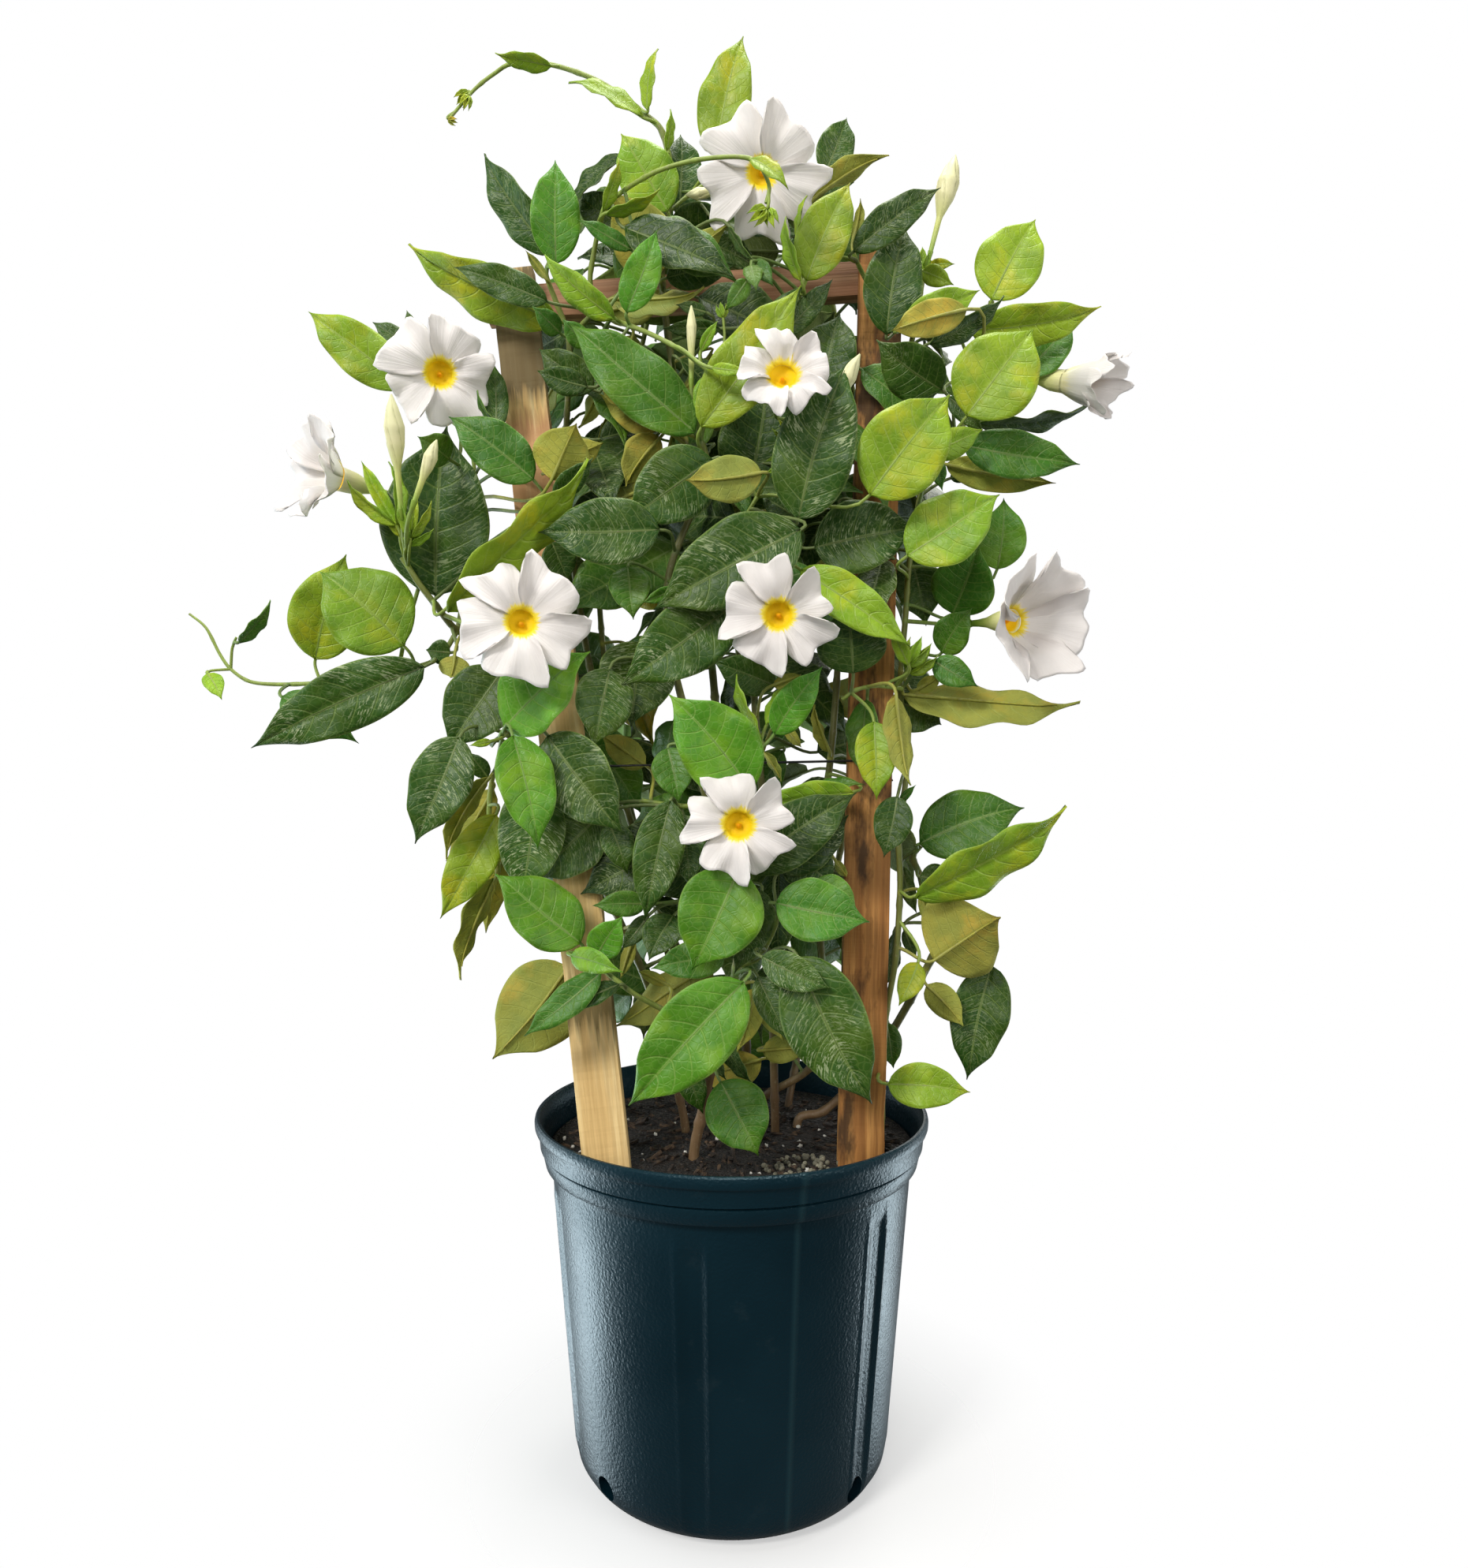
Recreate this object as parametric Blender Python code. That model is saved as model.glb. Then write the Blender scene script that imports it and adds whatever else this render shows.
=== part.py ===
# Potted mandevilla on a small board trellis: twining leafy stems with white blooms, standing in a
# dark nursery pot. Metres, up is +Z, the pot stands on z = 0 with its axis on the origin, front is -Y.
import math
import random

import bmesh
import bpy
from mathutils import Vector
from mathutils.bvhtree import BVHTree

for old in list(bpy.data.objects):
    bpy.data.objects.remove(old, do_unlink=True)

POT_SIDES = 24
GAP = 0.0003               # air left between touching bodies
DRAIN_ANGLES = (-138, -43, 43, 138)
DRAIN_Z, DRAIN_R = 0.0165, 0.0065
RAIL_Z = 0.833             # where the rail's middle crosses the stakes

# All positions in the tables are in millimetres as sighted from the eye point: across, up, and how far
# the point stands in front of the plane through the pot axis. spot() turns them into metres.
EYE = Vector((0.0, -0.7637, 0.477))
EYE_MM = 763.7             # how far in front of the pot axis the eye stands
SOIL_Z = 0.222


def spot(x, z, f):
    k = 1.0 - f / EYE_MM
    return Vector((x * 0.001 * k, -0.001 * f, 0.477 + (z * 0.001 - 0.477) * k))


# Stem routes. Each starts as a straight upright stub standing in the soil at (x, y) metres.
# name: (root x, root y, root radius, end radius, [(across, up, front), ...])
MAINS = {
    "vine_left_low": (-0.034, 0.012, 3.4, 2.2, [(-44, 275, -6), (-60, 330, 4), (-84, 385, 10),
                      (-108, 432, 10), (-132, 475, 12), (-154, 506, 24), (-164, 514, 40)]),
    "vine_left_mid": (-0.004, 0.060, 3.6, 2.0, [(-14, 300, -62), (-50, 380, -62), (-100, 480, -56),
                      (-140, 540, -40), (-172, 572, -14), (-198, 588, 6), (-206, 596, 20), (-212, 604, 30),
                      (-226, 622, 36), (-238, 641, 40)]),
    "vine_left_top": (-0.018, 0.036, 3.6, 1.6, [(-24, 300, -38), (-50, 380, -42), (-76, 460, -40),
                      (-98, 540, -36), (-112, 620, -34), (-120, 700, -24), (-118, 765, -2), (-118, 800, 6),
                      (-127, 826, 14), (-134, 846, 20), (-130, 858, 24)]),
    "vine_centre_top": (0.012, 0.028, 3.6, 1.1, [(10, 300, -22), (0, 380, -24), (-6, 460, -20),
                        (-12, 540, -16), (-20, 620, -8), (-28, 690, 2), (-40, 760, 6), (-50, 838, 10),
                        (-47, 880, 4), (-43, 915, 2), (-50, 948, 8), (-61, 960, 10), (-80, 975, 11),
                        (-100, 987, 12), (-130, 997, 12), (-158, 998, 12), (-171, 991, 12),
                        (-186, 979, 12), (-204, 958, 12)]),
    "vine_middle": (0.032, 0.010, 3.4, 1.6, [(30, 300, -6), (27, 380, -2), (22, 470, 2), (16, 560, 6),
                    (24, 640, 8), (40, 700, 12), (48, 718, 18), (45, 760, 6), (44, 800, 4), (52, 838, 12),
                    (58, 870, 6), (62, 915, 4)]),
    "vine_right_top": (0.022, 0.050, 3.2, 1.8, [(25, 252, -44), (60, 276, -38), (66, 330, -28),
                       (62, 400, -14), (65, 450, 2), (71, 490, 14), (75, 535, 14), (79, 590, -4),
                       (88, 650, -20), (104, 710, -26), (120, 760, -18), (131, 800, -2), (138, 840, 8),
                       (143, 856, 12)]),
    "vine_right_mid": (0.104, -0.030, 2.2, 2.0, [(110, 285, 30), (112, 312, 32), (119, 353, 34),
                       (122, 404, 34), (121, 440, 32), (126, 480, 24), (127, 512, 20), (122, 545, 20),
                       (126, 600, 14), (129, 640, 10), (138, 690, 8), (158, 725, 6), (172, 745, 6),
                       (182, 790, 2), (188, 826, 4)]),
    "vine_right_low": (0.050, 0.026, 3.4, 2.2, [(66, 240, -26), (86, 259, -24), (112, 292, -14),
                       (130, 322, 0), (138, 338, 8), (148, 360, 12), (143, 380, 12), (137, 409, 12),
                       (131, 424, 12), (137, 433, 16)]),
    "vine_front": (-0.0255, -0.043, 4.0, 2.0, [(-20, 245, 46), (-9, 300, 52), (4, 345, 58), (2, 400, 54),
                   (-8, 440, 52), (-22, 480, 62), (-34, 530, 56), (-45, 580, 46), (-45, 630, 38),
                   (-22, 690, 36), (-18, 712, 42), (-25, 731, 46)]),
    "vine_back_left": (-0.030, 0.078, 3.2, 1.8, [(-45, 350, -100), (-82, 500, -110), (-96, 640, -100),
                       (-72, 760, -84), (-52, 850, -66)]),
    "vine_back_right": (0.046, 0.078, 3.2, 1.8, [(62, 350, -104), (92, 500, -110), (104, 640, -100),
                        (88, 760, -84), (66, 850, -66)]),
    "vine_back_mid": (0.006, 0.094, 3.0, 1.8, [(4, 350, -116), (10, 500, -120), (0, 640, -114),
                      (10, 760, -92), (2, 880, -60)]),
}
# Side shoots: (vine, start radius, end radius, [(across, up, front), ...]); the first point lies on the vine.
SHOOTS = [
    ("vine_left_low", 1.9, 1.4, [(-154, 506, 24), (-172, 484, 28), (-175, 445, 28), (-168, 414, 24)]),
    ("vine_left_mid", 1.9, 0.9, [(-198, 588, 6), (-212, 568, 12), (-236, 560, 14), (-290, 551, 14),
                                 (-325, 549, 12), (-348, 551, 12), (-362, 560, 12), (-370, 571, 12),
                                 (-380, 590, 12), (-392, 600, 12)]),
    ("vine_left_mid", 1.1, 0.9, [(-362, 560, 12), (-361, 575, 14), (-358, 583, 16)]),
    ("vine_left_mid", 1.0, 0.8, [(-362, 560, 12), (-376, 559, 16), (-380, 557, 18)]),
    ("vine_left_mid", 1.9, 1.3, [(-198, 588, 6), (-188, 650, -2), (-186, 705, -2), (-196, 752, 4)]),
    ("vine_left_top", 1.9, 1.2, [(-118, 800, 6), (-101, 818, 20), (-102, 846, 30), (-93, 889, 42),
                                 (-82, 903, 50), (-54, 920, 66), (-20, 929, 76), (14, 929, 82),
                                 (27, 911, 84), (25, 897, 84)]),
    ("vine_left_top", 1.8, 1.4, [(-101, 818, 20), (-84, 812, 46), (-60, 803, 66), (-37, 791, 76),
                                 (-17, 776, 76)]),
    ("vine_centre_top", 1.6, 1.1, [(-46, 890, 3), (-24, 908, -4), (-8, 914, -8)]),
    ("vine_right_top", 1.9, 1.5, [(131, 800, -2), (131, 808, 14), (121, 815, 22), (108, 824, 24),
                                  (97, 842, 24), (88, 860, 28)]),
    ("vine_right_mid", 1.6, 1.3, [(122, 545, 20), (122, 546, 38), (105, 548, 48), (90, 545, 52),
                                  (80, 538, 52)]),
    ("vine_front", 2.0, 1.5, [(-14, 275, 49), (-36, 305, 66), (-70, 325, 76), (-92, 342, 74),
                              (-111, 358, 68)]),
    ("vine_front", 1.8, 1.5, [(4, 345, 58), (20, 352, 66), (32, 375, 66), (33, 392, 62)]),
    ("vine_front", 1.7, 1.5, [(-17, 465, 59), (-34, 461, 62), (-65, 465, 62)]),
    ("vine_front", 1.6, 1.3, [(-20, 474, 61), (6, 486, 68), (20, 503, 62)]),
    ("vine_front", 1.6, 1.4, [(-45, 610, 41), (-10, 640, 52), (22, 690, 56)]),
]

# Blooms: name: (across, up, front, turn right, turn up, roll, across the lobes, tube length, vine)
BLOOMS = {
    "bloom_top": (22, 920, 46, 0, 6, 10, 96, 44, "vine_centre_top"),
    "bloom_upper_left": (-211, 775, 58, 0, 8, 30, 88, 46, "vine_left_mid"),
    "bloom_far_left": (-300, 703, 60, -68, 22, 0, 74, 54, "vine_left_mid"),
    "bloom_upper_mid": (38, 778, 66, 6, 36, 50, 78, 44, "vine_middle"),
    "bloom_far_right": (262, 766, 34, 74, 2, 20, 64, 56, "vine_right_mid"),
    "bloom_mid_left": (-152, 596, 108, 0, 16, 5, 104, 46, "vine_left_mid"),
    "bloom_centre": (34, 600, 104, 0, 6, 60, 90, 46, "vine_middle"),
    "bloom_right": (220, 596, 66, 50, 4, 25, 94, 58, "vine_right_mid"),
    "bloom_low": (5, 448, 112, 0, 4, 60, 84, 44, "vine_front"),
}
# Large cream buds: name: (foot across, up, front, tip across, up, front, widest radius, vine)
BUDS = {
    "bud_left_cream": (-239, 676, 72, -246, 759, 92, 7.4, "vine_left_mid"),
    "bud_left_yellow": (-229, 682, 84, -213, 726, 92, 5.2, "vine_left_mid"),
    "bud_top_right": (144, 862, 16, 162, 932, 22, 8.2, "vine_right_top"),
    "bud_mid_right": (63, 733, 76, 93, 788, 94, 6.4, "vine_middle"),
    "bud_centre_slim": (-29, 770, 62, -29, 823, 66, 3.8, "vine_front"),
    "bud_low_left": (-11, 424, 84, -23, 395, 92, 6.0, "vine_front"),
    "bud_low_right": (3, 420, 80, -2, 402, 90, 4.0, "vine_front"),
    "bud_top_left": (-2, 906, 8, -33, 903, 12, 4.4, "vine_centre_top"),
    "bud_upper_left": (-226, 797, 24, -240, 807, 26, 4.0, "vine_left_mid"),
}
# Small green buds, bracts and cut tips that hold together with their stem:
# (foot across, up, front, tip across, up, front, widest radius, vine, tone)
SPRIGS = [
    (-242, 664, 54, -268, 712, 58, 3.8, "vine_left_mid", "lime"),
    (-234, 650, 60, -220, 670, 66, 2.2, "vine_left_mid", "lime"),
    (-240, 656, 50, -241, 684, 52, 2.2, "vine_left_mid", "lime"),
    (-232, 655, 66, -228, 690, 70, 2.4, "vine_left_mid", "lime"),
    (46, 722, 40, 33, 742, 44, 1.8, "vine_middle", "lime"),
    (52, 722, 44, 56, 742, 48, 2.4, "vine_middle", "lime"),
    (44, 712, 44, 24, 701, 52, 2.4, "vine_middle", "lime"),
    (44, 708, 48, 32, 692, 56, 2.2, "vine_middle", "lime"),
    (128, 557, 50, 145, 579, 54, 3.0, "vine_right_mid", "lime"),
    (128, 562, 56, 138, 584, 58, 2.6, "vine_right_mid", "lime"),
    (25, 893, 86, 12, 883, 90, 2.4, "vine_left_top", "lime"),
    (27, 893, 84, 31, 879, 86, 2.4, "vine_left_top", "lime"),
    (-190, 975, 14, -194, 964, 14, 1.8, "vine_centre_top", "lime"),
    (-190, 978, 12, -199, 968, 10, 1.8, "vine_centre_top", "lime"),
    (-205, 958, 12, -198, 955, 12, 1.8, "vine_centre_top", "olive"),
    (132, 842, 18, 133, 858, 22, 2.2, "vine_right_top", "lime"),
    (137, 848, 16, 138, 866, 18, 2.6, "vine_right_top", "lime"),
    (-174, 733, 30, -176, 753, 30, 1.6, "vine_left_mid", "lime"),
    (-6, 814, 50, -8, 826, 52, 1.8, "vine_front", "lime"),
]

# Leaves: (foot across, up, tip across, up, width, front, tone)
LEAVES = [
    (-130, 996, -171, 1004, 12, 12, "lime"), (-64, 960, -117, 988, 13, 13, "lime"),
    (-61, 964, -55, 1010, 11, 10, "lime"), (-12, 931, 8, 1021, 38, 14, "lime"),
    (-4, 934, 10, 986, 26, -10, "lime"), (-46, 891, -80, 949, 42, 20, "lime"),
    (-38, 890, -36, 949, 34, -8, "dark"), (-47, 935, -43, 965, 7, 8, "lime"),
    (-127, 853, -127, 930, 36, 36, "bright"), (-131, 860, -182, 934, 24, 12, "dark"),
    (-126, 812, -237, 865, 34, 28, "lime"), (-133, 826, -202, 852, 24, 48, "dark"),
    (-134, 842, -149, 863, 7, 30, "olive"), (-84, 813, -137, 859, 18, 58, "lime"),
    (-76, 818, -54, 879, 27, 66, "bright"), (-52, 846, -86, 906, 46, 22, "olive"),
    (-72, 863, -111, 886, 13, 46, "mid"), (-80, 880, -113, 904, 26, -6, "dark"),
    (-93, 891, -80, 929, 9, 48, "lime"), (-91, 889, -51, 905, 9, 56, "lime"),
    (-47, 843, 4, 853, 26, 34, "dark"), (-43, 855, -2, 882, 18, 20, "olive"),
    (-44, 866, -2, 892, 40, -4, "dark"), (14, 929, 41, 909, 11, 88, "lime"),
    (67, 917, 84, 960, 27, 8, "dark"), (54, 897, 112, 934, 13, 34, "olive"),
    (50, 874, 88, 914, 16, 22, "dark"), (54, 841, 86, 914, 38, 50, "lime"),
    (88, 869, 94, 900, 8, 18, "olive"), (88, 862, 152, 910, 26, 50, "speckled"),
    (112, 802, 126, 884, 42, 36, "speckled"), (143, 852, 161, 853, 8, 10, "lime"),
    (188, 827, 220, 887, 48, 20, "lime"), (138, 848, 160, 838, 15, 12, "lime"),
    (124, 807, 180, 835, 27, 44, "lime"), (143, 795, 199, 828, 13, 56, "speckled"),
    (170, 820, 114, 804, 26, 66, "olive"), (172, 805, 269, 821, 28, 36, "lime"),
    (210, 772, 248, 814, 34, 10, "mid"), (170, 743, 219, 808, 62, 66, "lime"),
    (152, 762, 105, 797, 40, 42, "speckled"), (100, 686, 159, 760, 62, 82, "lime"),
    (142, 716, 182, 734, 22, 58, "lime"), (157, 757, 182, 731, 15, 40, "dark"),
    (177, 738, 265, 751, 14, 22, "dark"), (168, 722, 253, 709, 34, 44, "mid"),
    (155, 708, 234, 694, 24, 28, "olive"), (127, 642, 194, 688, 52, 66, "lime"),
    (148, 710, 152, 690, 12, 52, "mid"), (158, 698, 178, 705, 12, 18, "dark"),
    (192, 632, 197, 684, 34, 20, "mid"), (60, 648, 136, 663, 52, 46, "speckled"),
    (160, 600, 179, 650, 46, 44, "mid"), (152, 572, 173, 604, 27, 56, "mid"),
    (125, 540, 250, 530, 32, 34, "olive"), (146, 566, 178, 548, 22, 46, "mid"),
    (134, 545, 152, 555, 12, 30, "olive"), (122, 536, 152, 520, 36, 14, "dark"),
    (118, 542, 127, 475, 18, 78, "olive"), (103, 522, 105, 466, 30, 64, "lime"),
    (122, 464, 133, 476, 6, 52, "mid"), (88, 557, 84, 608, 50, 60, "speckled"),
    (50, 632, 130, 577, 34, 78, "lime"), (128, 563, 115, 590, 9, 72, "lime"),
    (130, 640, 141, 592, 34, 14, "dark"), (110, 642, 104, 602, 28, 10, "dark"),
    (32, 548, -14, 566, 28, 22, "dark"),
    (-26, 731, -119, 813, 46, 56, "mid"), (-22, 735, 50, 840, 46, 62, "lime"),
    (8, 785, 52, 840, 20, 38, "dark"), (34, 800, 74, 843, 18, 50, "dark"),
    (-17, 772, -24, 741, 14, 78, "lime"), (-14, 778, 12, 775, 9, 76, "lime"),
    (-22, 790, -10, 812, 8, 78, "lime"), (12, 690, 26, 772, 58, 34, "dark"),
    (48, 668, 84, 784, 58, 48, "speckled"), (44, 672, 21, 686, 18, 56, "speckled"),
    (66, 766, 78, 818, 42, 24, "dark"), (22, 702, -34, 696, 34, 84, "olive"),
    (-14, 712, -77, 667, 52, 60, "speckled"), (-28, 682, -64, 680, 16, 46, "mid"),
    (50, 661, -57, 604, 62, 90, "speckled"), (-52, 661, -140, 660, 48, 72, "speckled"),
    (4, 608, -81, 548, 52, 68, "speckled"), (-66, 580, -72, 519, 56, 54, "speckled"),
    (-88, 560, -99, 504, 44, 66, "speckled"), (-75, 634, -71, 597, 30, 54, "mid"),
    (-40, 617, -64, 608, 11, 62, "mid"), (-130, 652, -118, 623, 26, 44, "dark"),
    (-133, 512, -79, 441, 52, 80, "speckled"), (14, 472, -45, 542, 58, 84, "bright"),
    (-46, 503, -38, 464, 30, 58, "mid"), (-62, 490, -95, 513, 22, 34, "yellow"),
    (-164, 518, -105, 574, 58, 84, "bright"), (-158, 512, -139, 430, 42, 94, "bright"),
    (-165, 560, -206, 502, 50, 52, "speckled"), (-197, 511, -230, 434, 44, 64, "speckled"),
    (-174, 508, -189, 505, 6, 78, "lime"), (-203, 572, -221, 574, 18, 30, "dark"),
    (-200, 570, -203, 553, 22, 40, "olive"),
    (-206, 602, -98, 707, 36, 98, "lime"), (-214, 613, -207, 738, 76, 40, "speckled"),
    (-143, 697, -205, 744, 38, 56, "mid"), (-204, 712, -226, 728, 24, 34, "mid"),
    (-170, 731, -172, 783, 18, 34, "dark"), (-160, 722, -186, 760, 8, 48, "mid"),
    (-130, 697, -112, 738, 42, 62, "olive"), (-104, 764, -141, 776, 20, 54, "dark"),
    (-100, 762, -140, 792, 28, 40, "dark"), (-128, 684, -100, 712, 18, 40, "dark"),
    (-72, 750, -92, 786, 24, 52, "olive"), (-52, 735, -95, 758, 26, 44, "olive"),
    (-128, 705, -92, 724, 22, 46, "olive"), (-52, 728, -78, 692, 30, 42, "yellow"),
    (-104, 793, -122, 813, 16, 50, "mid"), (-124, 803, -143, 822, 16, 36, "mid"),
    (-18, 818, -40, 824, 10, 50, "dark"), (-8, 806, -50, 806, 14, 38, "dark"),
    (15, 855, 30, 838, 14, 40, "mid"), (14, 852, 18, 835, 14, 52, "mid"),
    (12, 842, -4, 820, 14, 54, "mid"), (-2, 880, 15, 855, 6, 30, "dark"),
    (50, 841, 37, 887, 11, 54, "lime"), (47, 872, 53, 903, 5, 50, "lime"),
    (-237, 577, -298, 632, 64, 36, "lime"), (-301, 567, -279, 643, 48, 14, "lime"),
    (-222, 562, -350, 502, 46, 58, "speckled"), (-325, 540, -271, 508, 30, 34, "mid"),
    (-356, 579, -332, 608, 10, 18, "mid"), (-379, 557, -369, 539, 14, 18, "lime"),
    (-235, 764, -308, 820, 36, 12, "lime"), (-228, 790, -260, 812, 16, 0, "dark"),
    (-228, 800, -235, 820, 8, -2, "dark"),
    (-176, 482, -190, 500, 14, 30, "dark"), (-176, 482, -209, 424, 11, 36, "olive"),
    (-172, 474, -206, 421, 22, 18, "olive"), (-170, 455, -211, 379, 34, 58, "lime"),
    (-172, 409, -200, 337, 15, 36, "olive"), (-164, 426, -178, 370, 22, 20, "olive"),
    (-142, 478, -153, 392, 48, 66, "speckled"), (-92, 458, -146, 408, 50, 58, "speckled"),
    (-89, 449, -75, 412, 24, 72, "dark"), (-109, 362, -170, 413, 48, 78, "bright"),
    (-118, 345, -172, 279, 62, 50, "yellow"), (-94, 341, -151, 295, 24, 84, "mid"),
    (-81, 332, -124, 309, 17, 78, "dark"), (-98, 352, -79, 381, 26, 80, "bright"),
    (-116, 353, -80, 341, 18, 84, "bright"), (-62, 390, -100, 389, 19, 70, "mid"),
    (-44, 465, -63, 378, 36, 76, "speckled"), (-35, 455, -30, 402, 28, 62, "speckled"),
    (-60, 382, -80, 357, 14, 66, "dark"), (-42, 382, -60, 350, 28, 60, "dark"),
    (-5, 352, -58, 344, 28, 84, "mid"), (-71, 365, -80, 336, 10, 46, "olive"),
    (-47, 332, -68, 342, 9, 48, "olive"), (5, 415, -29, 342, 62, 98, "bright"),
    (9, 334, -75, 243, 58, 108, "bright"), (22, 400, 2, 340, 30, 66, "dark"),
    (32, 391, 100, 378, 46, 92, "mid"), (58, 405, 92, 383, 30, 78, "mid"),
    (38, 432, 76, 402, 38, 54, "dark"), (75, 422, 84, 409, 7, 40, "olive"),
    (10, 416, 91, 471, 44, 76, "dark"), (88, 471, 16, 462, 22, 66, "lime"),
    (60, 474, 95, 478, 12, 50, "mid"), (48, 352, 102, 244, 60, 98, "speckled"),
    (22, 352, 72, 329, 26, 104, "speckled"), (19, 338, 41, 291, 22, 88, "speckled"),
    (18, 330, 4, 283, 20, 40, "olive"), (20, 325, 37, 292, 16, 34, "olive"),
    (22, 284, 56, 286, 20, 16, "yellow"), (-8, 262, 20, 208, 46, 78, "mid"),
    (-38, 283, -20, 238, 22, 60, "dark"), (-17, 291, -4, 262, 9, 30, "dark"),
    (-8, 295, 14, 260, 10, 16, "dark"),
    (136, 434, 212, 461, 48, 28, "mid"), (133, 395, 246, 457, 31, 54, "lime"),
    (136, 410, 162, 405, 22, 14, "dark"), (137, 398, 144, 372, 9, 26, "olive"),
    (146, 350, 194, 382, 70, 42, "yellow"), (188, 346, 171, 262, 42, 16, "dark"),
    (141, 332, 168, 302, 22, 22, "olive"), (135, 348, 121, 317, 19, 50, "lime"),
    (118, 370, 110, 328, 12, 8, "dark"), (123, 418, 134, 383, 12, 14, "dark"),
    (125, 372, 134, 350, 9, 14, "dark"), (112, 305, 117, 271, 18, 18, "dark"),
    (113, 260, 173, 254, 32, 60, "lime"), (120, 468, 110, 424, 28, 66, "dark"),
    (22, 506, 1, 555, 10, 60, "lime"), (25, 520, 40, 550, 9, 62, "lime"),
    (31, 513, 66, 562, 27, 72, "bright"), (30, 548, 51, 556, 12, 34, "olive"),
    (70, 500, 58, 534, 8, 14, "olive"), (24, 500, 37, 479, 7, 40, "olive"),
    (38, 520, 51, 503, 8, 30, "olive"),
]
BACK_LEAVES = 22


def tube(points, r0, r1, sides=6, caps=True):
    """Round rod along points, tapering from r0 to r1: returns vertices and faces."""
    verts, faces = [], []
    n = len(points)
    side = None
    for i, p in enumerate(points):
        a = points[max(i - 1, 0)]
        b = points[min(i + 1, n - 1)]
        d = (b - a).normalized()
        if side is None:
            side = d.orthogonal().normalized()
        side = (side - d * side.dot(d)).normalized()
        up = d.cross(side)
        r = r0 + (r1 - r0) * i / max(n - 1, 1)
        for k in range(sides):
            t = 2.0 * math.pi * k / sides
            verts.append(p + (side * math.cos(t) + up * math.sin(t)) * r)
    for i in range(n - 1):
        for k in range(sides):
            a = i * sides + k
            b = i * sides + (k + 1) % sides
            faces.append((a, b, b + sides, a + sides))
    if caps:
        faces.append(tuple(range(sides - 1, -1, -1)))
        faces.append(tuple((n - 1) * sides + k for k in range(sides)))
    return verts, faces


def route_points():
    """Every stem as (vine, radius at start, radius at end, world points)."""
    out = []
    for name, (x, y, r0, r1, pts) in MAINS.items():
        line = [Vector((x, y, SOIL_Z - 0.030)), Vector((x, y, SOIL_Z + 0.004))]
        line += [spot(*p) for p in pts]
        out.append((name, r0 * 0.001, r1 * 0.001, line))
    for name, r0, r1, pts in SHOOTS:
        out.append((name, r0 * 0.001, r1 * 0.001, [spot(*p) for p in pts]))
    return out


def samples(routes):
    """Points along the stems a stalk can spring from: (point, radius, vine)."""
    out = []
    for j, (name, r0, r1, line) in enumerate(routes):
        n = len(line)
        for i in range(n - 1):
            a, b = line[i], line[i + 1]
            if b.z < SOIL_Z + 0.012:
                continue
            steps = max(1, int((b - a).length / 0.009))
            for q in range(steps):
                u = (q + 0.5) / steps
                p = a.lerp(b, u)
                if p.z < SOIL_Z + 0.014:
                    continue
                out.append((p, r0 + (r1 - r0) * (i + u) / (n - 1), name))
    return out


class Room:
    """What already stands in the air, kept as small trees of triangles with their boxes."""

    def __init__(self):
        self.items = []

    def add(self, verts, faces, vine, kind):
        lo = Vector([min(v[k] for v in verts) for k in range(3)])
        hi = Vector([max(v[k] for v in verts) for k in range(3)])
        self.items.append((lo, hi, BVHTree.FromPolygons(verts, faces), vine, kind))

    def hit(self, verts, faces, free=()):
        lo = [min(v[k] for v in verts) for k in range(3)]
        hi = [max(v[k] for v in verts) for k in range(3)]
        tree = None
        for a, b, other, vine, kind in self.items:
            if (vine, kind) in free:
                continue
            if (a[0] > hi[0] or b[0] < lo[0] or a[1] > hi[1] or b[1] < lo[1]
                    or a[2] > hi[2] or b[2] < lo[2]):
                continue
            if tree is None:
                tree = BVHTree.FromPolygons(verts, faces)
            if tree.overlap(other):
                return (vine, kind)
        return None


def aim(foot, tip, look, turn):
    """Frame of a blade: along, side and the way its upper or seen face looks."""
    u = (tip - foot).normalized()
    n = look - u * look.dot(u)
    n.normalize()
    s = u.cross(n)
    c, q = math.cos(turn), math.sin(turn)
    return u, s * c - n * q, n * c + s * q


def blade_point(leaf, t, v, lift=0.0):
    """A point of the blade's middle sheet: t from foot to tip, v from -1 to 1 across its half width."""
    u, s, n = leaf["axes"]
    ln = leaf["length"]
    c = leaf["foot"] + u * (ln * t) + n * (leaf["arch"] * ln * 4.0 * t * (1.0 - t))
    c = c + s * (leaf["sway"] * ln * math.sin(math.pi * t))
    wide = leaf["half"] * v
    rise = leaf["fold"] * abs(wide) * leaf["face"]
    return c + s * wide + n * (rise + lift)


SHAPE = ((0.0, 0.05), (0.12, 0.70), (0.42, 1.0), (0.78, 0.56), (1.0, 0.02))


def blade_proxy(leaf):
    """The room a blade needs, three and a half millimetres thick."""
    verts, faces = [], []
    h = 0.00175
    for t, w in SHAPE:
        w = max(w * 1.03, 0.03)
        for v, lift in ((-w, h), (0, h), (w, h), (w, -h), (0, -h), (-w, -h)):
            verts.append(blade_point(leaf, t, v, lift))
    m = len(SHAPE)
    for i in range(m - 1):
        for k in range(6):
            a, b = i * 6 + k, i * 6 + (k + 1) % 6
            faces.append((a, b, b + 6, a + 6))
    faces.append((5, 4, 3, 2, 1, 0))
    faces.append(tuple((m - 1) * 6 + k for k in range(6)))
    return verts, faces


def stalk_room(a, b, ra, r=0.0017):
    d = (b - a)
    if d.length < ra + 0.002:
        return None
    return tube([a + d.normalized() * (ra + 0.0012), b], r, r, 4)


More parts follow.
